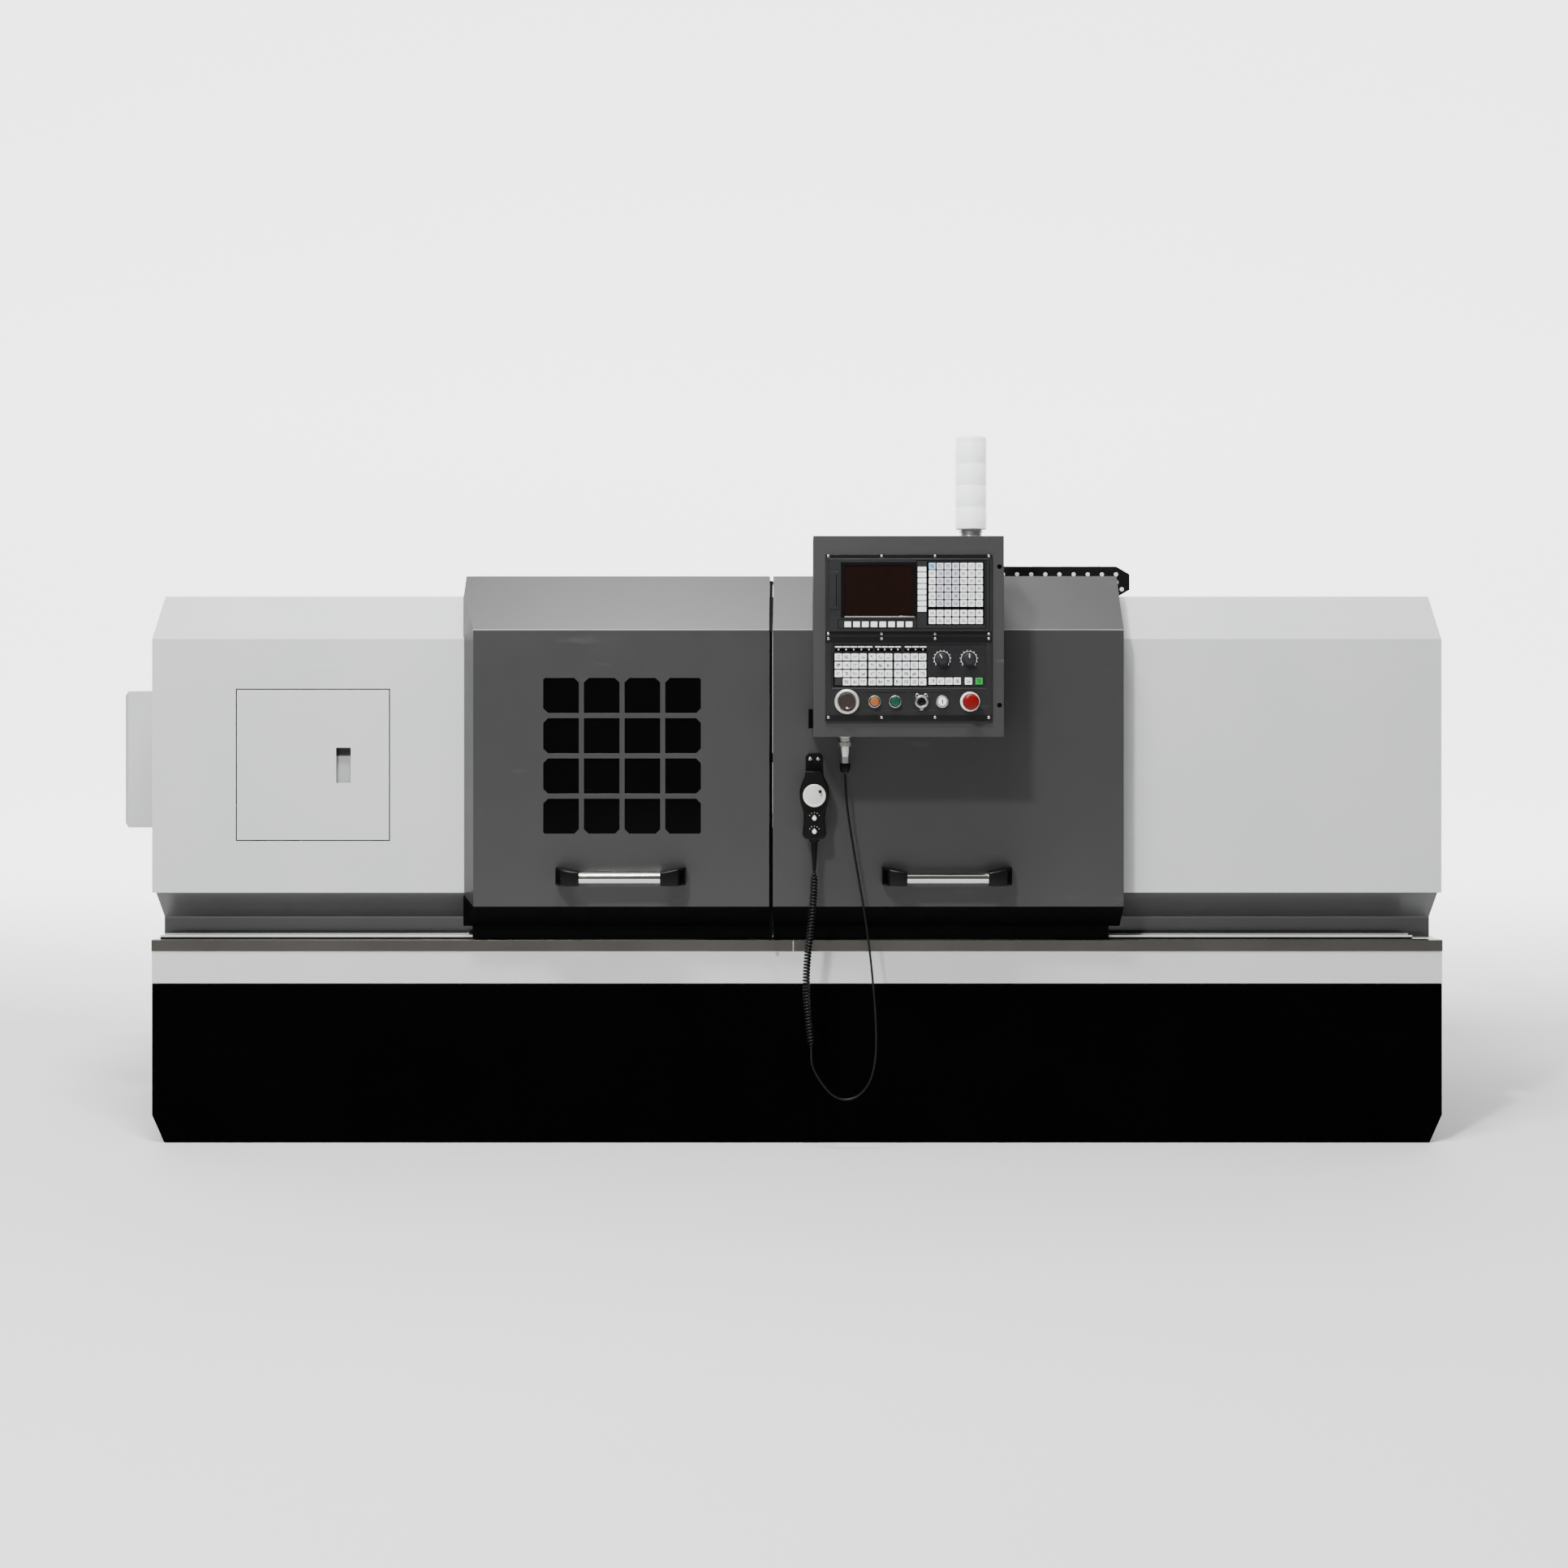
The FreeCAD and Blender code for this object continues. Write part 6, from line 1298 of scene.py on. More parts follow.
@dataclass(frozen=True)
class PanelFaces(Assembly):
    """Plates of the control unit and the machine panel: keys, wells, screen frame, strips and flange screws.

    Attributes:
        front: Y of the flanges.
        unit: Y of the control unit's face.
        field: Y of the key field's sunk face.
        letter_cap: Size of the letter keys.
        square_cap: Size of the machine keys.
        grey: Letter keys with a lilac print, as (row, column, finish).
        screws: Columns and rows of the flange screws.
        strips: Left end, right end and number of cells of each indicator strip.
        screen: Low and high corner of the screen's frame, then of its opening.
    """

    front: float = -946.0
    unit: float = -951.0
    field: float = -943.5
    letter_cap: Flat = (16.5, 15.9)
    square_cap: Flat = (17.9, 17.0)
    grey: tuple[tuple[int, int, str], ...] = tuple((r, c, "key_grey") for r in range(6) for c in (1, 2, 3))
    screws: tuple[tuple[float, ...], tuple[float, ...]] = ((77.2, 208.6, 340.3, 472.8),
        (1503.6, 1312.2, 1300.3, 1106.0))
    strips: tuple[tuple[float, float, int], ...] = ((93.0, 187.0, 5), (192.0, 257.0, 4), (265.0, 320.0, 3))
    screen: tuple[Flat, Flat, Flat, Flat] = ((108.0, 1352.0),
        (294.0, 1489.0), (116.0, 1356.5), (285.5, 1482.5))

    def blocks(self) -> list[KeyBlock]:
        """Every block of keys, from the unit's letters down to the machine keys.

        Returns:
            The blocks.
        """
        letter, square = self.letter_cap, self.square_cap
        made = [
            KeyBlock(324.5, rows(1486.8, 18.4, 6), 7, 19.4, letter, self.unit,
                odd=((0, 0, "key_blue"), *self.grey)),
            KeyBlock(324.5, rows(1371.2, 18.9, 2), 7, 19.4, letter, self.unit),
            KeyBlock(297.6, rows(1477.0, 14.1, 8), 1, 0.0, (20.7, 11.6), self.unit, finish="key_plain"),
            KeyBlock(117.2, (1342.0,), 8, 21.55, (15.9, 13.6), self.unit, finish="key_plain"),
        ]
        for left, columns, odd in ((93.1, 4, ((3, 0, "key_dark"),)), (176.6, 3, ()), (240.0, 4, ())):
            made.append(KeyBlock(left, rows(1263.5, 20.4, 4),
                columns, 20.2, square, self.field, 2.2, odd=odd))
        for left, columns, finish in ((324.8, 4, "key"), (414.1, 1, "key"), (440.0, 1, "key_green")):
            made.append(KeyBlock(left, (1204.0,), columns, 20.4, square, self.field, 2.2, finish))
        return made

    def keys(self) -> Iterator[bpy.types.Object]:
        """Printed key caps that stand a little out of the plates, one piece for each finish.

        Returns:
            The pieces, one by one.
        """
        caps: dict[str, list[Place]] = {}
        for block in self.blocks():
            for finish, place in block.places():
                caps.setdefault(finish, []).append(place)
        item = cap_item()
        for finish, places in caps.items():
            piece = repeated("caps_" + finish, item, places, finish, keep=True)
            yield ride(piece, Body.RIGHT_DOOR, "panel_keys", slot="key_caps")
        bpy.data.objects.remove(item)

    def wells(self) -> bpy.types.Object:
        """Dark wells under the keys, flange lines, a painted highlight along the key field's lower edge,
        painted shade and painted highlight lines over and under the button groups, and the card cover.

        Returns:
            The piece.
        """
        shape = Shape()
        y = self.unit
        for low, high in (((294, 1324.7), (295.6, 1493.7)), ((464.4, 1324.7), (466, 1493.7)),
                ((294, 1492.1), (466, 1493.7)), ((101, 1324.7), (466, 1326.2)),
                ((101, 1346.2), (294, 1347.6)), ((101, 1324.7), (102.4, 1347.6))):
            shape.box((low[0], y - 0.5, low[1]), (high[0], y + 1, high[1]), "plastic")
        shape.box((319.5, y - 0.4, 1334.0), (462.0, y + 1, 1490.0), "door_foot")
        for x0, x1, z0, z1 in ((89.5, 173.5, 1182.5, 1266.5), (174.5, 237.0, 1182.5, 1266.5),
                (238.0, 321.5, 1182.5, 1266.5), (322.5, 405.0, 1184.5, 1206.5)):
            shape.box((x0, self.field - 0.4, z0), (x1, self.field + 1, z1), "door_foot")
        # thin light strip: a painted highlight along the lower edge of the key field's recess
        shape.box((85.0, self.front - 0.35, 1176.2), (466.0, self.front + 1, 1177.6), "dark_steel")
        # over each button group a dark line of painted shade, under it a light line of painted highlight
        for x0, x1 in ((170.0, 272.0), (277.0, 378.0)):
            shape.box((x0, self.front - 0.3, 1167.0), (x1, self.front + 1, 1168.0), "door_foot")
            shape.box((x0, self.front - 0.3, 1122.0), (x1, self.front + 1, 1123.0), "dark_steel")
        shape.box((79.0, y - 2.2, 1373), (102.8, y + 1, 1465), "unit")
        shape.box((96.0, y - 2.8, 1379), (98.0, y - 2.0, 1459), "plastic")
        return shape.object("panel_wells", 0.35)

    def screen_frame(self) -> bpy.types.Object:
        """Frame that slopes in to the screen.

        Returns:
            The piece.
        """
        outer_low, outer_high, low, high = self.screen
        outline = [(outer_low[0], outer_low[1]), (outer_high[0], outer_low[1]), outer_high,
            (outer_low[0], outer_high[1])]
        window = [low, (high[0], low[1]), high, (low[0], high[1])]
        rings = [[(x, self.unit + depth, z) for x, z in points] for points,
            depth in ((outline, 0.8), (outline, -1.6), (window, -1.0), (window, 3.4))]
        return Shape().loft(rings, "plastic", closed=True).object("screen_frame", 0.6)

    def indicators(self) -> Iterator[bpy.types.Object]:
        """White cells over the function keys, with small round windows below them.

        Returns:
            The pieces, one by one.
        """
        shape = Shape()
        dots = []
        for low, high, count in self.strips:
            shape.box((low, self.field - 0.35, 1268.6), (high, self.field + 1, 1282.8), "door_foot")
            pitch = (high - low) / count
            for i in range(count):
                start = low + pitch * i
                shape.box((start + 1.0, self.field - 0.6, 1278.2),
                    (start + pitch - 1.0, self.field + 1, 1281.6), "pale")
                dots.append(Place((start + pitch / 2, self.field - 0.3, 1273.4), (3.4, 0.8, 3.4)))
        yield ride(shape.object("indicator_strips", 0.15), Body.RIGHT_DOOR)
        dome = [(0, 500), (700, 500), (1000, 300), (1000, 1)]
        item = master(Shape().lathe(dome, (0, 0, 0), Axis.Y, "pale", 16, -1), "item_dot")
        yield ride(repeated("indicator_dots", item, dots, "pale"), Body.RIGHT_DOOR)

    def flange_screws(self) -> bpy.types.Object:
        """Bright screws of the flanges, each turned a little further than the last.

        Returns:
            The piece.
        """
        spots = [(x, z) for x in self.screws[0] for z in self.screws[1]]
        places = [Place((x, self.front + 0.4, z), (7.0, 2.6, 7.0), (0, 17.0 * i, 0)) for i,
            (x, z) in enumerate(spots)]
        return repeated("flange_screws", screw_item("silver"), places, "silver")

    def build(self) -> Iterator[bpy.types.Object]:
        """Make the pieces and tie each one to its body.

        Returns:
            The pieces, one by one.
        """
        yield from self.keys()
        yield ride(self.wells(), Body.RIGHT_DOOR)
        yield ride(self.screen_frame(), Body.RIGHT_DOOR)
        bar = Shape().box((117, self.unit - 2.2, 1352.4), (290, self.unit - 1.0, 1355.4), "silver")
        yield ride(bar.object("screen_bar", 0.4), Body.RIGHT_DOOR)
        yield from self.indicators()
        yield ride(self.flange_screws(), Body.RIGHT_DOOR)


@dataclass(frozen=True)
class Override:
    """One override knob: its name, body, place along X and the direction of its pointer, in degrees."""

    name: str
    body: Body
    x: float
    pointer: float


@dataclass(frozen=True)
class OverrideKnobs(Assembly):
    """Fluted override knobs with their pointers and printed scales.

    Attributes:
        face: Y of the plate.
        z: Height of the knobs.
        knobs: The knobs.
        rings: Distance from the plate, radius and depth of the flutes of each ring of a knob.
        flutes: Number of flutes.
        scale: Inner and outer radius of the ticks.
        sweep: First angle and span of the scale, in degrees.
        ticks: Number of ticks.
    """

    face: float = -943.5
    z: float = 1250.0
    knobs: tuple[Override, ...] = (Override("feed", Body.FEED_KNOB, 358.0, 118.0),
        Override("spindle", Body.SPINDLE_KNOB, 424.0, 90.0))
    rings: tuple[tuple[float, float, float], ...] = ((0.0, 16.5, 0.0), (2.0, 16.5, 0.0), (2.4, 14.8, 0.9),
        (15.0, 14.0, 0.9), (16.6, 12.6, 0.5), (17.0, 11.0, 0.0))
    flutes: int = 24
    scale: Flat = (19.6, 22.8)
    sweep: Flat = (-42.0, 264.0)
    ticks: int = 12

    def knob(self, override: Override) -> bpy.types.Object:
        """Fluted cap with a white pointer.

        Args:
            override: The knob to make.

        Returns:
            The piece.
        """
        shape = Shape()
        angles = circle_angles(4 * self.flutes)
        rings = []
        for out, radius, flute in self.rings:
            reach = [radius - flute * (0.5 + 0.5 * math.cos(self.flutes * a)) ** 3 for a in angles]
            rings.append([(override.x + r * math.cos(a), self.face - out, self.z + r * math.sin(a))
                for r, a in zip(reach, angles)])
        shape.loft(rings, "knob")
        pointer = tick(override.x, self.z, override.pointer, 3.0, 13.4, 0.9)
        shape.prism(pointer, Axis.Y, self.face - 17.35, self.face - 16.5, "white")
        return shape.object(override.name + "_override", 0.25)

    def draw_scale(self, shape: Shape, x: float) -> None:
        """Printed arc and ticks round one knob.

        Args:
            shape: Shape that takes the scale.
            x: Middle of the knob.
        """
        start, span = self.sweep
        for i in range(self.ticks):
            mark = tick(x, self.z, start + span / (self.ticks - 1) * i, *self.scale, 0.45)
            shape.prism(mark, Axis.Y, self.face - 0.35, self.face + 0.5, "white")
        arc = [math.radians(start + span * i / 48) for i in range(49)]
        rings = [[(x + math.cos(a) * r, self.face + t, self.z + math.sin(a) * r) for r,
            t in ((19.0, 0.4), (19.0, -0.3), (19.7, -0.3), (19.7, 0.4))] for a in arc]
        shape.loft(rings, "white")

    def build(self) -> Iterator[bpy.types.Object]:
        """Make the pieces and tie each one to its body.

        Returns:
            The pieces, one by one.
        """
        scale = Shape()
        for override in self.knobs:
            yield ride(self.knob(override), override.body, override.body.value)
            self.draw_scale(scale, override.x)
        yield ride(scale.object("override_scales"), Body.RIGHT_DOOR)


@dataclass(frozen=True)
class ControlRow(Assembly):
    """Lowest row of the machine panel: pulse wheel, buttons, data port, key switch and emergency stop.

    Attributes:
        y: Front of the panel.
        z: Height of the row.
        wheel_x: Pulse wheel.
        port_x: Data port.
        lock_x: Key switch.
        stop_x: Emergency stop.
        pushes: Name, body, place and finish of the push buttons.
    """

    y: float = -946.0
    z: float = 1145.0
    wheel_x: float = 123.0
    port_x: float = 307.0
    lock_x: float = 358.0
    stop_x: float = 426.0
    pushes: tuple[tuple[str, Body, float, str], ...] = (("start", Body.START_BUTTON, 191.0, "amber"),
        ("stop", Body.STOP_BUTTON, 242.0, "green"))

    def at(self, x: float, drop: float = 0.0) -> Point:
        """Point on the panel's front in this row."""
        return (x, self.y, self.z - drop)

    def wheel(self) -> Iterator[bpy.types.Object]:
        """Brown disc with a white mark, in its bright ring.

        Returns:
            The pieces, one by one.
        """
        disc = Shape()
        profile = [(5.1, 19.0), (6.0, 20.6), (13.5, 20.8),
            (15.4, 19.6), (15.4, 17.8), (14.4, 16.6), (14.2, 0)]
        disc.lathe(profile, self.at(self.wheel_x), Axis.Y, "wheel", 72, -1)
        disc.lathe([(13.6, 2.4), (15.0, 2.4), (15.4, 1.6), (15.4, 0)],
            self.at(self.wheel_x, 15.6), Axis.Y, "white", 28, -1)
        yield ride(disc.object("pulse_disc", 0.2), Body.PULSE_WHEEL, "pulse_wheel")
        ring = Shape().ring(21.3, 30.35, self.at(self.wheel_x), 2.0, 9.6, Axis.Y, "satin", 80, -1, 3.2)
        yield ride(ring.object("pulse_ring", 0.2), Body.RIGHT_DOOR)

    def buttons(self) -> Iterator[bpy.types.Object]:
        """Push buttons and every bezel of the row.

        Returns:
            The pieces, one by one.
        """
        bezels = Shape()
        for name, body, x, finish in self.pushes:
            bezels.ring(11.8, 15.0, self.at(x), 2.0, 8.6, Axis.Y, "silver", 48, -1, 1.6)
            profile = [(8.5, 11.2), (13.4, 11.2), (14.8, 10.4), (15.4, 8.2), (15.5, 4.0), (15.5, 0)]
            push = Shape().lathe(profile, self.at(x), Axis.Y, finish, 48, -1)
            yield ride(push.object(name + "_push", 0.2), body, body.value)
        bezels.ring(10.6, 15.0, self.at(self.lock_x), 2.0, 7.4, Axis.Y, "silver", 48, -1, 1.5)
        yield ride(bezels.object("button_bezels"), Body.RIGHT_DOOR)

    def emergency_stop(self) -> Iterator[bpy.types.Object]:
        """Mushroom cap with raised arcs, over a pale collar.

        Returns:
            The pieces, one by one.
        """
        cap = Shape()
        profile = [(14.5, 9.0), (20, 9.0), (22, 15.5), (24.5, 18.6), (28.0, 20.2), (36.0, 20.3),
            (40.5, 18.9), (43.2, 15.5), (44.2, 10.0), (44.4, 0)]
        cap.lathe(profile, self.at(self.stop_x), Axis.Y, "red", 64, -1)
        for turn in (90.0, 210.0, 330.0):
            arc = [math.radians(turn - 26 + 6.5 * i) for i in range(9)]
            outer = [(self.stop_x + 14.2 * math.cos(a), self.z + 14.2 * math.sin(a)) for a in arc]
            inner = [(self.stop_x + 12.4 * math.cos(a), self.z + 12.4 * math.sin(a)) for a in reversed(arc)]
            cap.prism(outer + inner, Axis.Y, self.y - 44.3, self.y - 41.0, "red")
        yield ride(cap.object("stop_cap", 0.3), Body.EMERGENCY_STOP, "emergency_stop")
        collar = Shape().ring(12.0, 24.0, self.at(self.stop_x), 2.0, 10.4, Axis.Y, "pale", 64, -1, 2.4)
        yield ride(collar.object("stop_collar"), Body.RIGHT_DOOR)

    def lock(self) -> bpy.types.Object:
        """White lock face with its slot.

        Returns:
            The piece.
        """
        x, z = self.lock_x, self.z
        profile = [(4.2, 10.3), (8.0, 10.3), (8.8, 9.6), (9.0, 8.0), (9.0, 0)]
        shape = Shape().lathe(profile, self.at(x), Axis.Y, "white", 48, -1)
        slot = [(x - 1.3, z - 5.8), (x + 1.3, z - 5.8), (x + 1.3, z + 5.8), (x - 1.3, z + 5.8)]
        shape.prism(slot, Axis.Y, self.y - 9.2, self.y - 8, "plastic")
        return shape.object("lock_barrel", 0.2)

    def port(self) -> bpy.types.Object:
        """Round data port with two screwed ears and a latch tab.

        Returns:
            The piece.
        """
        x, y, z = self.at(self.port_x)
        shape = Shape().ring(10.4, 16.2, (x, y, z), 2.0, 9.4, Axis.Y, "silver", 48, -1, 1.8)
        shape.lathe([(0.0, 10.6), (4.0, 10.6), (4.0, 0)], (x, y, z), Axis.Y, "plastic", 40, -1)
        shape.ring(4.6, 6.4, (x, y, z), 3.0, 6.4, Axis.Y, "dark_steel", 32, -1, 0.6)
        for side in (-1, 1):
            ear = (x + side * 10.5, y, z + 15.0)
            shape.lathe([(-1.0, 5.0), (3.6, 5.0), (4.2, 4.2), (4.2, 0)], ear, Axis.Y, "silver", 28, -1)
            shape.lathe([(3.5, 2.4), (5.2, 2.4), (5.8, 1.6), (5.8, 0)], ear, Axis.Y, "dark_steel", 20, -1)
        tab = rounded_corners(x - 4.4, x + 4.4, z - 21.6, z - 15.2, 2.4)
        shape.prism(tab, Axis.Y, y - 4.2, y + 1, "silver")
        return shape.object("data_port", 0.3)

    def build(self) -> Iterator[bpy.types.Object]:
        """Make the pieces and tie each one to its body.

        Returns:
            The pieces, one by one.
        """
        yield from self.wheel()
        yield from self.buttons()
        yield from self.emergency_stop()
        yield ride(self.lock(), Body.KEY_SWITCH, "key_switch")
        yield ride(self.port(), Body.RIGHT_DOOR)


@dataclass(frozen=True)
class BoxFittings(Assembly):
    """Plugged holes of the operator box and its small side bracket.

    Attributes:
        face: Y of the box's front.
        plugs: Places of the plugs, (x, z).
        bracket: Low and high corner of the bracket.
    """

    face: float = -940.0
    plugs: tuple[Flat, ...] = ((500.0, 1478.0), (500.0, 1136.0))
    bracket: tuple[Point, Point] = ((28.6, -936.0, 1079.0), (39.6, -880.0, 1126.0))

    def build(self) -> Iterator[bpy.types.Object]:
        """Make the pieces and tie each one to its body.

        Returns:
            The pieces, one by one.
        """
        shape = Shape()
        for x, z in self.plugs:
            shape.lathe([(-3.0, 5.9), (0.1, 5.9), (0.1, 0)], (x, self.face, z), Axis.Y, "door_foot", 28, -1)
        shape.box(*self.bracket, "door_foot")
        yield ride(shape.object("box_plugs", 0.2), Body.RIGHT_DOOR)


# ---------------------------------------------------------------- doors
@dataclass(frozen=True)
class Station:
    """Ring of a handle's end bracket.

    Attributes:
        along: Share of the bracket's length.
        half: Half of its height there.
        rise: How far its middle lies above the tube.
        front: Y of its front.
        back: Y of its back.
    """

    along: float
    half: float
    rise: float
    front: float
    back: float


@dataclass(frozen=True)
class DoorHandle(Assembly):
    """Bright tube between two black end brackets, each with a darker sheet on its slanted end that paints
    the shade of an open pocket.

    Attributes:
        name: Name of the piece.
        middle: Middle of the handle along X.
        body: Door that it rides on.
        node: CAD node that it stands for.
        y: Y of the tube's axis.
        z: Height of the tube.
        tube: Half length and radius of the tube.
        ends: Distance of a bracket's near and far end from the middle.
        stations: Rings of a bracket, from the tube outwards.
    """

    name: str
    middle: float
    body: Body
    node: str
    y: float = -807.0
    z: float = 695.0
    tube: Flat = (107.0, 15.0)
    ends: Flat = (103.0, 165.0)
    stations: tuple[Station, ...] = (Station(0.0, 17.6, 0.0, -827.0, -790.0),
        Station(0.12, 18.6, 0.0, -829.0, -786.0), Station(0.5, 20.4, 2.0, -828.0, -762.0),
        Station(0.72, 21.6, 3.4, -823.0, -759.8), Station(1.0, 22.2, 3.6, -794.0, -759.6))

    def bracket(self, shape: Shape, side: int) -> None:
        """One end bracket, with a darker sheet on its slanted end that paints the shade of the pocket.

        Args:
            shape: Shape that takes the bracket.
            side: Minus one for the left end, one for the right end.
        """
        near, far = (self.middle + side * end for end in self.ends)
        rings = []
        for s in self.stations:
            low, high = self.z + s.rise - s.half, self.z + s.rise + s.half
            x = near + (far - near) * s.along
            rings.append([(x, a, b) for a, b in rounded_corners(s.front, s.back, low, high, 5.0)])
        shape.loft(rings, "plastic")
        # darker sheet: painted shade of the open pocket in the bracket's end
        pocket = [[(near + (far - near) * along, front - lift, self.z + 3.5 + dz) for dz,
            lift in ((-16.0, 0.3), (16.0, 0.3), (16.0, -1.5), (-16.0, -1.5))] for along,
            front in ((0.78, -816.8), (0.965, -797.6))]
        shape.loft(pocket, "door_foot")

    def build(self) -> Iterator[bpy.types.Object]:
        """Make the piece and tie it to its door.

        Returns:
            The pieces, one by one.
        """
        half, radius = self.tube
        shape = Shape()
        shape.lathe([(0, radius), (2 * half, radius)],
            (self.middle - half, self.y, self.z), Axis.X, "tube", 48)
        for side in (-1, 1):
            self.bracket(shape, side)
        yield ride(shape.object(self.name, 0.8), self.body, self.node)


@dataclass(frozen=True)
class DoorGapShade(Assembly):
    """Near-black strip in the gap between the doors: painted shade that keeps the gap dark.

    Attributes:
        x: Left and right face of the strip.
        front: Its front edge from the foot to the roof, (y, z).
        back: Its back edge from the roof to the foot.
    """

    x: Flat = (-70.6, -63.0)
    front: tuple[Flat, ...] = ((-746.0, 530.0), (-746.0, 1322.0), (-634.0, 1457.0), (-540.0, 1457.0))
    back: tuple[Flat, ...] = ((-540.0, 1451.0), (-637.0, 1451.0), (-740.0, 1320.0), (-740.0, 530.0))

    def build(self) -> Iterator[bpy.types.Object]:
        """Make the strip and tie it to the left door."""
        # the strip is painted shade standing in the gap between the doors
        shape = Shape().prism(self.front + self.back, Axis.X, *self.x, "door_foot")
        yield ride(shape.object("door_seal", 0.6), Body.LEFT_DOOR)


# ---------------------------------------------------------------- pendant
@dataclass(frozen=True)
class Pendant(Assembly):
    """Hand pendant in its hook: case, strain relief, dial and two selectors.

    Attributes:
        x: Middle of the case.
        face: Y of its front.
        dial_z: Height of the dial.
        half: Right half of the case's outline round the dial, from the top down.
        layers: Inset and Y of the case's rings, from the back to the front.
        selectors: Height and body of each selector.
        hook_z: Height of the hook's screws.
    """

    x: float = 44.0
    face: float = -822.0
    dial_z: float = 906.0
    half: tuple[Flat, ...] = ((18.0, 61.0), (22.0, 59.0), (24.5, 47.0), (29.5, 35.0), (35.5, 19.0),
        (37.2, 2.0), (34.5, -20.0), (28.0, -42.0), (26.5, -62.0), (28.6, -86.0), (29.6, -100.0),
        (25.0, -109.0), (12.0, -112.0))
    layers: tuple[Flat, ...] = ((3.0, -788.0), (0.4, -791.5),
        (0.0, -795.0), (0.0, -815.0), (0.8, -819.6), (3.2, -822.0))
    selectors: tuple[tuple[float, Body], ...] = ((849.0, Body.AXIS_SELECTOR), (815.0, Body.STEP_SELECTOR))
    hook_z: float = 996.0

    def case(self) -> bpy.types.Object:
        """Case with a domed head, narrow waist and flared foot, and its ribbed strain relief.

        Returns:
            The piece.
        """
        shape = Shape()
        outline = smooth_outline(self.half)
        rings = [[(self.x + x * (1 - inset / 30), y, self.dial_z + z * (1 - inset / 90)) for x,
            z in outline] for inset, y in self.layers]
        shape.loft(rings, "plastic")
        relief = [(0, 13.0), (4, 12.6), (7, 10.4)]
        for i in range(9):
            radius, start = 8.9 - 0.45 * i, 7.2 * i
            relief += [(8 + start, radius), (11.6 + start, radius), (11.8 + start, radius - 1.3),
                (14.8 + start, radius - 1.3)]
        relief += [(76, 4.6), (80, 4.2)]
        shape.lathe(relief, (self.x, CORD.depth, 795.0), Axis.Z, "rubber", 32, -1)
        return shape.object("pendant_case")

    def marks(self) -> bpy.types.Object:
        """Printed ticks over the selectors.

        Returns:
            The piece.
        """
        shape = Shape()
        for z, _ in self.selectors:
            for i in range(5):
                mark = tick(self.x, z, 150 - 30 * i, 12.4, 15.0, 0.4)
                shape.prism(mark, Axis.Y, self.face - 0.3, self.face + 0.6, "white")
        return shape.object("pendant_marks")

    def dial(self) -> bpy.types.Object:
        """Bright dial with a sunk face and a black finger knob.

        Returns:
            The piece.
        """
        shape = Shape()
        at = (self.x, self.face, self.dial_z)
        profile = [(0.2, 27.0), (1.0, 28.8), (3.0, 29.0), (9.6, 28.6),
            (11.0, 27.2), (11.0, 24.4), (9.6, 22.4), (9.2, 0)]
        shape.lathe(profile, at, Axis.Y, "pale", 80, -1)
        shape.lathe([(9.0, 21.9), (9.7, 21.9), (9.9, 21.2), (9.9, 0)], at, Axis.Y, "dial_face", 64, -1)
        shape.lathe([(9.0, 4.2), (10.6, 4.2), (11.2, 3.0), (18.0, 3.6), (19.6, 2.8), (19.9, 0)],
            (self.x + 14.3, self.face, self.dial_z + 10.5), Axis.Y, "plastic", 32, -1)
        return shape.object("dial_wheel", 0.2)

    def selector(self, z: float, body: Body) -> bpy.types.Object:
        """White selector with a pointer bar on a black base.

        Args:
            z: Its height.
            body: Its body.

        Returns:
            The piece.
        """
        shape = Shape()
        at = (self.x, self.face, z)
        shape.lathe([(0.2, 8.6), (1.4, 9.0), (3.4, 8.4), (4.0, 7.0)], at, Axis.Y, "plastic", 40, -1)
        shape.lathe([(3.8, 5.8), (10.6, 5.4), (11.8, 4.4), (12.0, 0)], at, Axis.Y, "white", 40, -1)
        bar = [(self.x + x, z + dz)
            for x, dz in ((-2.0, 2.0), (2.0, 2.0), (1.6, 6.6), (0.0, 8.4), (-1.6, 6.6))]
        shape.prism(bar, Axis.Y, self.face - 11.0, self.face - 4.0, "white")
        return shape.object(body.value + "_cap", 0.5)

    def build(self) -> Iterator[bpy.types.Object]:
        """Make the pieces and tie each one to its body.

        Returns:
            The pieces, one by one.
        """
        yield ride(self.case(), Body.RIGHT_DOOR, "pendant_body")
        yield ride(self.marks(), Body.RIGHT_DOOR)
        yield ride(self.dial(), Body.PENDANT_DIAL, "pendant_dial")
        for z, body in self.selectors:
            yield ride(self.selector(z, body), body, body.value)
        places = [Place((self.x + s * 10.0, -768.4, self.hook_z), (9.6, 3.2, 9.6), (0, 30.0 * s, 0))
            for s in (-1, 1)]
        yield ride(repeated("hook_screws", screw_item("silver"), places, "silver"), Body.RIGHT_DOOR)


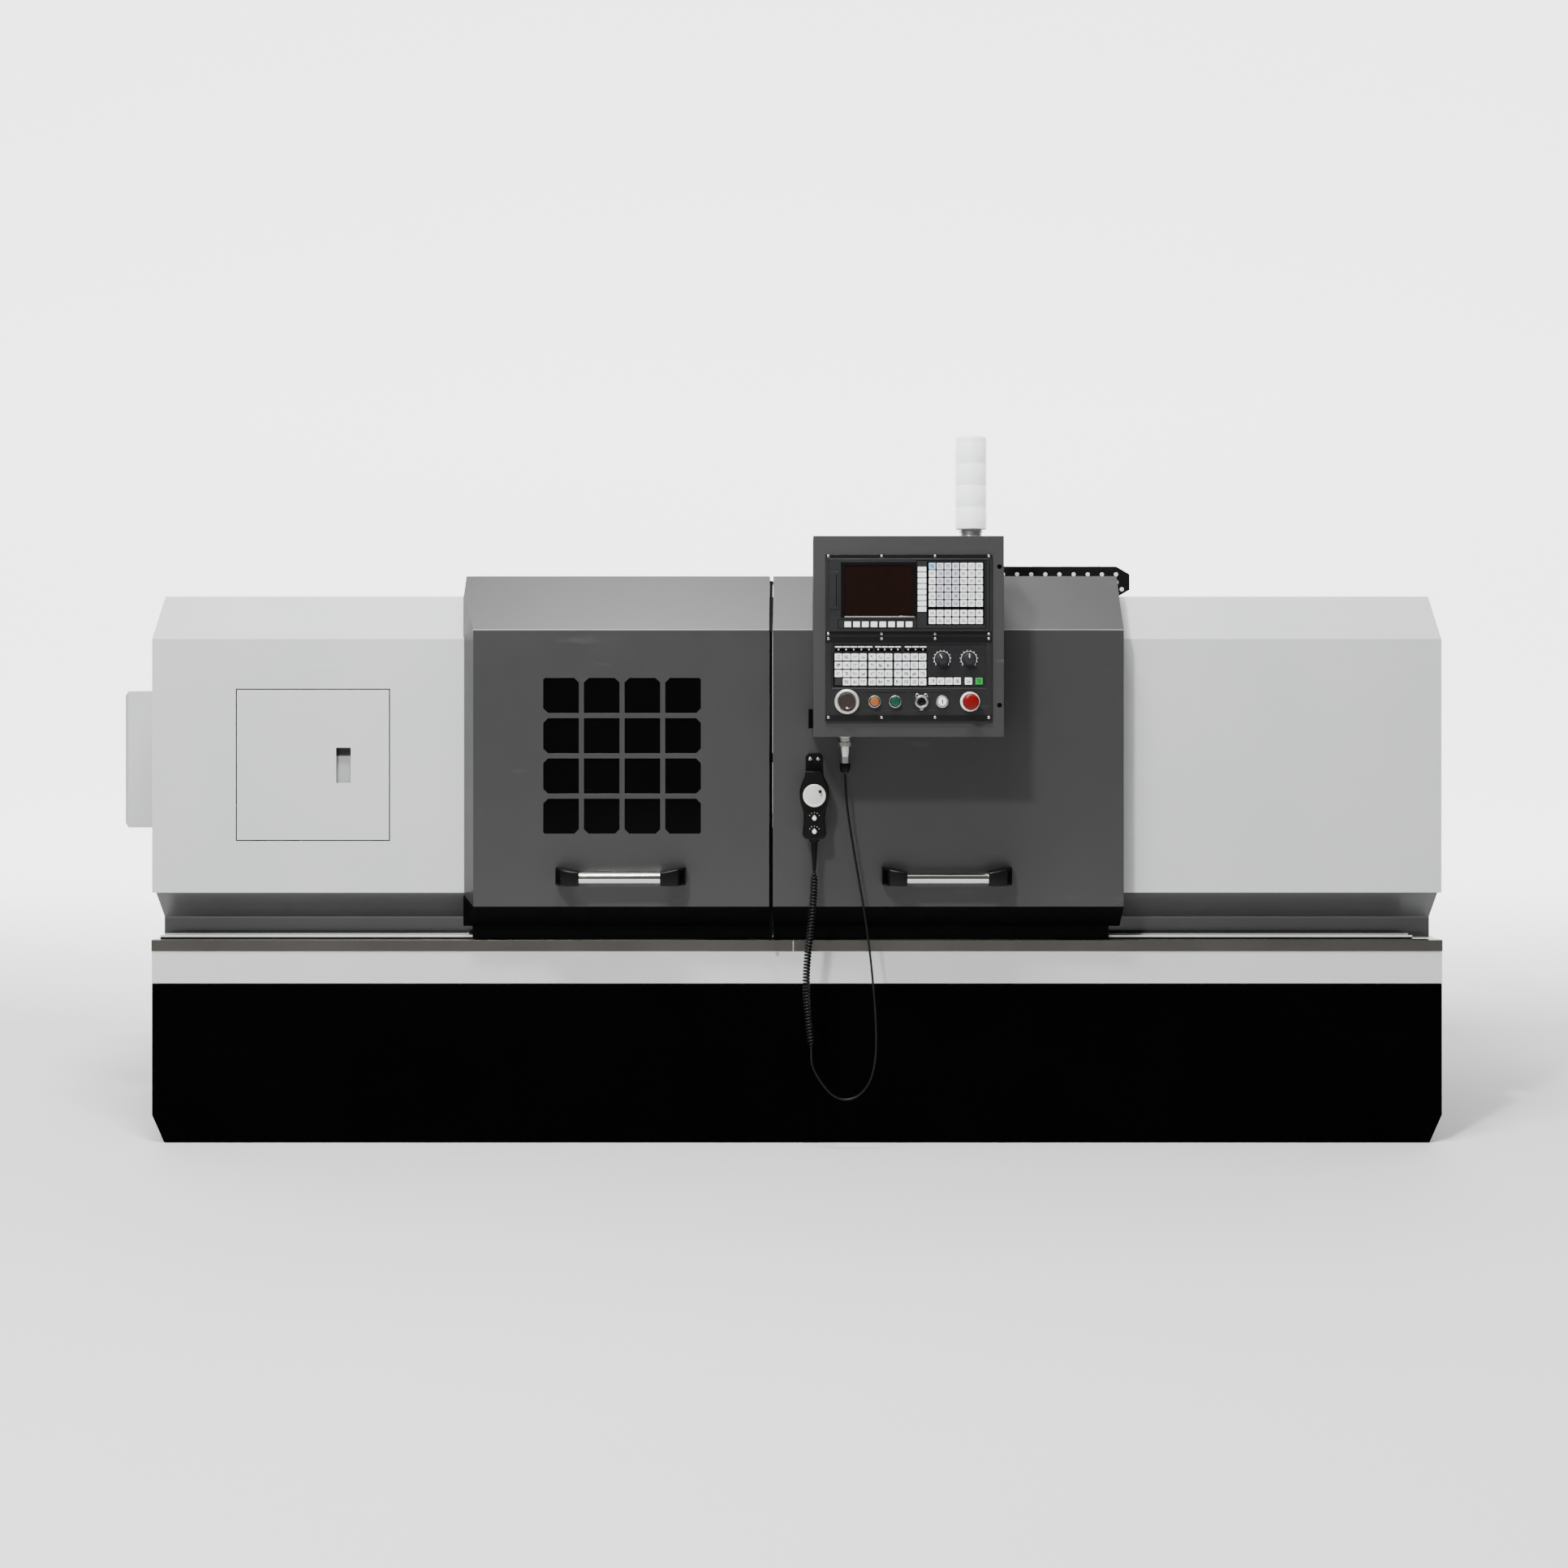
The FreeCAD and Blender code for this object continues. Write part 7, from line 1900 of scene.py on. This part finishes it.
@dataclass(frozen=True)
class CordConnector(Assembly):
    """Knurled collar, taper and boot of the cord's connector under the operator box.

    Attributes:
        x: Middle of the connector.
        top: Height at which it meets the box.
        knurls: Number of points round the knurled collar.
    """

    x: float = 122.0
    top: float = 1058.0
    knurls: int = 72

    def build(self) -> Iterator[bpy.types.Object]:
        """Make the piece and tie it to its body.

        Returns:
            The pieces, one by one.
        """
        at = (self.x, CORD.depth, self.top)
        shape = Shape()
        shape.lathe([(0, 20.0), (4.0, 20.0), (5.0, 19.0), (5.0, 14.4), (16.5, 14.4)],
            at, Axis.Z, "silver", 40, -1)
        rings = []
        for drop, radius, flute in ((17, 15.4, 0.0), (17.6, 16.5, 0.7),
                (27.4, 16.5, 0.7), (28.0, 15.2, 0.0)):
            turns = [(2 * math.pi * i / self.knurls, radius - flute * (i % 2)) for i in range(self.knurls)]
            rings.append([(self.x + r * math.cos(a), CORD.depth + r * math.sin(a), self.top - drop)
                for a, r in turns])
        shape.loft(rings, "silver")
        shape.lathe([(28, 12.5), (40, 11.6), (55, 9.6), (55.6, 10.4), (72, 10.6)],
            at, Axis.Z, "silver", 40, -1)
        boot = [(71.6, 12.6), (73.0, 13.4), (84.0, 13.5), (90.0, 11.6), (95.0, 8.2), (97.0, 7.6)]
        shape.lathe(boot, at, Axis.Z, "rubber", 40, -1)
        yield ride(shape.object("cord_connector", 0.3), Body.RIGHT_DOOR)


# ---------------------------------------------------------------- signal tower
@dataclass(frozen=True)
class SignalTower(Assembly):
    """Frosted column round a stack of lamp modules, on a narrow clamp base.

    Attributes:
        at: Middle of the foot, on the operator box.
        modules: Number of lamp modules.
        pitch: Height of one module.
        radius: Radius of the frosted column.
        start: Height at which the column starts.
    """

    at: Point = (437.0, -850.0, 1554.0)
    modules: int = 4
    pitch: float = 54.5
    radius: float = 39.0
    start: float = 23.0

    def foot(self) -> bpy.types.Object:
        """Clamp base with a waist.

        Returns:
            The piece.
        """
        profile = [(0, 30.0), (4, 30.0), (5, 28.4), (14, 28.4),
            (15, 30.0), (21, 30.0), (22, 33.0), (26, 36.4), (30, 36.4)]
        return Shape().lathe(profile, self.at, Axis.Z, "silver", 56).object("tower_foot", 0.6)

    def core(self) -> bpy.types.Object:
        """Lamp modules inside the column.

        Returns:
            The piece.
        """
        shape = Shape()
        for i in range(self.modules):
            low = 34.0 + 54.0 * i
            profile = [(low, 24.0), (low + 3, 30.0), (low + 9, 30.0),
                (low + 12, 17.0), (low + 46, 15.0), (low + 50, 22.0)]
            shape.lathe(profile, self.at, Axis.Z, "lens_core", 32)
        return shape.object("tower_core", 0.5)

    def lens(self) -> bpy.types.Object:
        """Frosted column with fine joints between the modules.

        Returns:
            The piece.
        """
        profile = [(22.0, self.radius - 2), (self.start, self.radius)]
        for i in range(self.modules):
            low = self.start + self.pitch * i
            profile += [(low + 1.0, self.radius), (low + 52.0, self.radius),
                (low + 52.6, self.radius - 0.3), (low + 54.0, self.radius - 0.3)]
        profile += [(248.0, self.radius), (252.5, 37.4), (255.0, 33.0), (255.0, 0.0)]
        return Shape().lathe(profile, self.at, Axis.Z, "lens", 72).object("tower_lens", 0.4)

    def build(self) -> Iterator[bpy.types.Object]:
        """Make the pieces and tie each one to its body.

        Returns:
            The pieces, one by one.
        """
        yield ride(self.foot(), Body.RIGHT_DOOR, "signal_tower")
        yield ride(self.core(), Body.RIGHT_DOOR)
        yield ride(self.lens(), Body.RIGHT_DOOR)


# ---------------------------------------------------------------- cable chain
@dataclass(frozen=True)
class CableChain(Assembly):
    """Cable chain on the roof: the run that moves with the door, the fixed run and the pin of the bend.

    Attributes:
        sides: Y of the near and the far side plates.
        levels: Middle height of the lower and the upper run.
        pitch: Length of a link.
        bend_x: Where the bend starts.
        upper: Number of links of the upper run.
        lower: Number of links of the lower run.
        anchor: Fixed end of the upper run, in metres along X and Y.
        keep: Not used.
        pin: Turned profile of a link's pin.
    """

    sides: Flat = (-496.0, -436.0)
    levels: Flat = (1435.3, 1485.3)
    pitch: float = 38.0
    bend_x: float = 858.0
    upper: int = 14
    lower: int = 3
    anchor: Flat = (0.326, -0.466)
    keep: float = 0.295
    pin: tuple[Flat, ...] = ((-3.0, 5.6), (0.3, 5.6), (0.8, 5.0), (0.8, 0.0))

    def run(self, name: str, links: int, z: float) -> bpy.types.Object:
        """Straight run of links that ends at the bend: side plates with round ends, cross bars and pins.

        Args:
            name: Name of the piece.
            links: Number of links.
            z: Middle height.

        Returns:
            The run, with its edges applied.
        """
        shape = Shape()
        near_y, far_y = self.sides
        for i in range(links):
            x = self.bend_x + (i - links) * self.pitch
            for side, y in ((1, near_y), (-1, far_y)):
                plate = y + side * (2.6 if i % 2 else 0.0)
                outline = rounded_corners(x - 2.4, x + self.pitch + 2.0, z - 17.0, z + 17.0, 4.0)
                shape.prism(outline, Axis.Y, *sorted((plate, plate + side * 4.6)), "nylon")
                shape.lathe(self.pin, (x + self.pitch, y, z - 4.6), Axis.Y, "pale", 28, -side)
            for top in (-1, 1):
                low, high = sorted((z + top * 16.6, z + top * 13.2))
                shape.box((x + 12.0, near_y + 3.0, low), (x + 26.0, far_y - 3.0, high), "nylon")
        return applied(shape.object(name, 0.5))

    def build(self) -> Iterator[bpy.types.Object]:
        """Make the pieces; the upper run and the pin ride on their bodies, the lower run is left where it is
        made.

        Returns:
            The pieces, one by one.
        """
        low, high = self.levels
        upper = ride(self.run("chain_upper_run", self.upper, high), Body.RIGHT_DOOR, "chain_upper")
        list(self.anchor)
        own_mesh(upper)
        yield upper
        lower = self.run("chain_lower_run", self.lower, low)
        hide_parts("chain_lower")
        start = self.bend_x - self.lower * self.pitch
        start * MM
        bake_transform(lower)
        yield lower
        angle = math.radians(-52.0)
        at = (self.bend_x + 25 * math.cos(angle), self.sides[0], (low + high) / 2 + 25 * math.sin(angle))
        pin = Shape().lathe(self.pin, at, Axis.Y, "pale", 28, -1)
        yield ride(pin.object("chain_bend_pins", 0.2), Body.CHAIN_BEND)


# ---------------------------------------------------------------- rear
@dataclass(frozen=True)
class RearSheets(Assembly):
    """Fittings of the rear: louvres of the motor room, sheet screws, cable glands and their conduits.

    Attributes:
        y: Rear face of the housings.
        roof: Height of the roof.
        louvres: Left edges of the louvre groups' columns.
        columns: Columns of screws on the housings.
        guard_start: First screw of the guard.
        glands: Places of the glands under the cabinet.
        gland_y: Y of the glands.
        cabinet_z: Underside of the cabinet.
    """

    y: float = 640.0
    roof: float = 1418.0
    louvres: tuple[float, ...] = (-1520.0, -1370.0, -1220.0)
    columns: tuple[float, ...] = (-1640.0, -1440.0, -1240.0, -1040.0, -830.0, 790.0, 1640.0)
    guard_start: float = -780.0
    glands: tuple[float, ...] = (960.0, 1060.0, 1160.0)
    gland_y: float = 770.0
    cabinet_z: float = 620.0

    def screws(self) -> bpy.types.Object:
        """Button screws round the sheets of the rear and the roof.

        Returns:
            The piece.
        """
        size = (11.0, 3.4, 11.0)
        spots = [(x, z, 17.0 * i) for i, x in enumerate(self.columns) for z in (664.0, 1400.0)]
        spots += [(x, z, 0.0) for x in (-1640.0, -830.0, 1640.0) for z in (905.0, 1160.0)]
        spots += [(self.guard_start + 190.0 * i, z, 23.0 * i) for i in range(9) for z in (545.0, 1400.0)]
        places = [Place((x, self.y, z), size, (0, turn, 180)) for x, z, turn in spots]
        places += [Place((x, y, self.roof), size, (-90, 0, 0)) for x in (-1640.0, -820.0, 780.0, 1640.0)
            for y in (-380.0, -60.0, 260.0, 600.0)]
        return repeated("sheet_screws", screw_item("dark_steel"), places, "dark_steel")

    def conduits(self) -> bpy.types.Object:
        """Cable glands and the conduits that run from them into the base.

        Returns:
            The piece.
        """
        shape = Shape()
        foot_z, bend = 550.0, 40.0
        for x in self.glands:
            gland = [(0, 19.0), (3.0, 19.0), (3.0, 16.0), (16.0, 16.0), (20.0, 13.0), (24.0, 11.4)]
            shape.lathe(gland, (x, self.gland_y, self.cabinet_z), Axis.Z, "nylon", 6, -1)
            path = [(x, self.gland_y, self.cabinet_z - 14.0), (x, self.gland_y, foot_z + bend)]
            for turn in range(15, 91, 15):
                a = math.radians(turn)
                path.append((x, self.gland_y - bend * (1 - math.cos(a)), foot_z + bend * (1 - math.sin(a))))
            path += [(x, 700.0, foot_z), (x, self.y + 1, foot_z)]
            shape.tube(path, 9.5, "rubber", 20)
            nut = [(0, 17.0), (4.0, 17.0), (5.0, 14.0), (14.0, 13.0)]
            shape.lathe(nut, (x, self.y, foot_z), Axis.Y, "nylon", 6)
        return shape.object("cabinet_glands", 0.4)

    def build(self) -> Iterator[bpy.types.Object]:
        """Make the pieces and tie each one to its body.

        Returns:
            The pieces, one by one.
        """
        places = [Place((x, self.y, 700.0 + 26.0 * i), (130.0, 7.0, 18.0)) for x in self.louvres
            for i in range(9)]
        yield ride(repeated("motor_louvres", louvre_item(), places, "light"), Body.MACHINE)
        yield ride(self.screws(), Body.MACHINE)
        yield ride(self.conduits(), Body.MACHINE)


def louvre_item() -> bpy.types.Object:
    """Pressed louvre, 1 m wide and high before it is scaled, whose hood opens downwards along +Y.

    Returns:
        The item.
    """
    hood = [(0.0, 500.0), (420.0, 330.0), (900.0, -120.0), (1000.0, -420.0), (860.0, -420.0),
        (760.0, -160.0), (300.0, 220.0), (0.0, 300.0)]
    return master(Shape().prism(hood, Axis.X, -500, 500, "light"), "item_louvre", 30.0, 1)


@dataclass(frozen=True)
class CabinetDoor(Assembly):
    """Louvres and latch of the electrical cabinet's door.

    Attributes:
        face: Y of the door's face.
        columns: Middles of the louvre columns.
        groups: Lowest louvre of the lower and the upper group.
        latch: Middle of the latch, (x, z).
    """

    face: float = 900.5
    columns: tuple[float, ...] = (1010.0, 1170.0, 1330.0)
    groups: tuple[float, ...] = (690.0, 1160.0)
    latch: Flat = (1500.0, 980.0)

    def paddle(self) -> bpy.types.Object:
        """Flush paddle latch with its lock barrel.

        Returns:
            The piece.
        """
        x, z = self.latch
        shape = Shape()
        frame = rounded_corners(x - 19.0, x + 19.0, z - 62.0, z + 62.0, 8.0)
        shape.prism(frame, Axis.Y, self.face - 1.0, self.face + 3.0, "plastic")
        handle = rounded_corners(x - 13.0, x + 13.0, z - 52.0, z + 18.0, 5.0)
        shape.prism(handle, Axis.Y, self.face + 2.0, self.face + 7.0, "silver")
        barrel = [(2.0, 9.0), (6.4, 8.6), (7.2, 7.2), (7.2, 0)]
        shape.lathe(barrel, (x, self.face, z + 40.0), Axis.Y, "silver", 32)
        shape.box((x - 0.9, self.face + 6.0, z + 35.0), (x + 0.9, self.face + 7.5, z + 45.0), "plastic")
        return shape.object("cabinet_latch", 0.6)

    def build(self) -> Iterator[bpy.types.Object]:
        """Make the pieces and tie each one to the door.

        Returns:
            The pieces, one by one.
        """
        places = [Place((x, self.face, z + 24.0 * i), (120.0, 6.5, 16.0)) for x in self.columns
            for z in self.groups for i in range(5)]
        yield ride(repeated("cabinet_louvres", louvre_item(), places, "light"), Body.CABINET_DOOR)
        yield ride(self.paddle(), Body.CABINET_DOOR)


# ---------------------------------------------------------------- working parts inside
@dataclass(frozen=True)
class WorkHolding(Assembly):
    """Chuck rings and screws, turret screws and the tailstock's handwheel.

    Attributes:
        axis: Y and Z of the spindle's axis.
        chuck_face: X of the chuck's face.
        rings: Inner radius of the turned rings on it.
        screw_angles: Directions of the body screws and key sockets, in degrees.
        turret: Middle of the turret's top.
        wheel_x: X at which the handwheel's shaft leaves the tailstock.
    """

    axis: Flat = (-60.0, 1000.0)
    chuck_face: float = -645.0
    rings: tuple[float, ...] = (44.0, 78.0, 112.0)
    screw_angles: tuple[float, ...] = (30.0, 150.0, 270.0)
    turret: Point = (50.0, -330.0, 1024.0)
    wheel_x: float = 1150.0

    def chuck_rings(self) -> bpy.types.Object:
        """Fine turned rings on the chuck's face.

        Returns:
            The piece.
        """
        shape = Shape()
        for radius in self.rings:
            shape.ring(radius, radius + 1.2, (self.chuck_face, *self.axis),
                -1.0, 0.3, Axis.X, "dark_steel", 72)
        return shape.object("chuck_rings")

    def chuck_screws(self, item: bpy.types.Object) -> bpy.types.Object:
        """Body screws in the face and key sockets round the rim.

        Args:
            item: Screw to repeat.

        Returns:
            The piece.
        """
        y, z = self.axis
        places = []
        for angle in self.screw_angles:
            a = math.radians(angle)
            across, up = math.cos(a), math.sin(a)
            places.append(Place((self.chuck_face - 6.0, y + 95.0 * across, z + 95.0 * up),
                (16.0, 16.0, 8.0), (0, 90, 0)))
            places.append(Place((self.chuck_face - 52.0, y + 123.0 * across, z + 123.0 * up),
                (24.0, 24.0, 4.0), (angle - 90.0, 0, 0)))
        return repeated("chuck_screws", item, places, "dark_steel", keep=True)

    def turret_screws(self, item: bpy.types.Object) -> bpy.types.Object:
        """Clamp screws over the turret's four tool slots.

        Args:
            item: Screw to repeat.

        Returns:
            The piece.
        """
        x, y, z = self.turret
        places = []
        for side in range(4):
            a = math.radians(90.0 * side)
            for along in (-40.0, 0.0, 40.0):
                dx, dy = along * math.cos(a) - 59.0 * math.sin(a), along * math.sin(a) + 59.0 * math.cos(a)
                places.append(Place((x + dx, y + dy, z), (12.0, 12.0, 11.0), (0, 0, 25.0 * side + along)))
        return repeated("turret_screws", item, places, "dark_steel")

    def handwheel(self) -> bpy.types.Object:
        """Turned rim, hub, three spokes and a revolving grip.

        Returns:
            The piece.
        """
        y, z = self.axis
        at = (self.wheel_x, y, z)
        shape = Shape()
        section = [2 * math.pi * i / 20 for i in range(21)]
        shape.lathe([(38.0 + 8.0 * math.sin(a), 87.5 + 6.0 * math.cos(a)) for a in section],
            at, Axis.X, "machined", 64)
        hub = [(-28.0, 15.0), (28.0, 15.0), (28.0, 24.0),
            (30.0, 26.0), (46.0, 24.0), (48.0, 18.0), (48.0, 0)]
        shape.lathe(hub, at, Axis.X, "machined", 40)
        for turn in (90.0, 210.0, 330.0):
            a = math.radians(turn)
            spoke = [(y + math.cos(a) * r - math.sin(a) * w, z + math.sin(a) * r + math.cos(a) * w) for r,
                w in ((20.0, 10.0), (84.0, 7.0), (84.0, -7.0), (20.0, -10.0))]
            shape.prism(spoke, Axis.X, self.wheel_x + 32.5, self.wheel_x + 43.0, "machined")
        grip = [(44.0, 8.0), (50.0, 8.0), (51.0, 9.4), (70.0, 12.0),
            (96.0, 12.4), (106.0, 10.0), (110.0, 5.0), (110.0, 0)]
        shape.lathe(grip, (self.wheel_x, y, z + 75.0), Axis.X, "plastic", 32)
        return shape.object("tail_handwheel", 0.6)

    def build(self) -> Iterator[bpy.types.Object]:
        """Make the pieces and tie each one to its body.

        Returns:
            The pieces, one by one.
        """
        yield ride(self.chuck_rings(), Body.SPINDLE)
        item = socket_item()
        yield ride(self.chuck_screws(item), Body.SPINDLE)
        yield ride(self.turret_screws(item), Body.TURRET)
        yield ride(self.handwheel(), Body.TAIL_WHEEL, "tail_wheel")


# ---------------------------------------------------------------- main
ASSEMBLIES: tuple[Assembly, ...] = (
    CORD, PanelFaces(), OverrideKnobs(), ControlRow(), BoxFittings(),
    DoorHandle("left_handle", -449.0, Body.LEFT_DOOR, "left_door_handle"),
    DoorHandle("right_handle", 382.0, Body.RIGHT_DOOR, "right_door_handle"),
    Pendant(), CordConnector(), SignalTower(), CableChain(),
    DoorGapShade(), RearSheets(), CabinetDoor(), WorkHolding(),
)


def main() -> None:
    """Dress the frame, build the sub-assemblies and set up the camera, floor and lights."""
    logging.basicConfig(level=logging.INFO, format="%(message)s")
    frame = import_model()
    KEPT_NODES.dress(frame["nodes"])
    for assembly in ASSEMBLIES:
        for piece in assembly.build():
            LOG.info("%s: %s", type(assembly).__name__, piece.name)
    studio = Studio()
    studio.camera()
    studio.floor()
    studio.light()


if __name__ == "__main__":
    main()
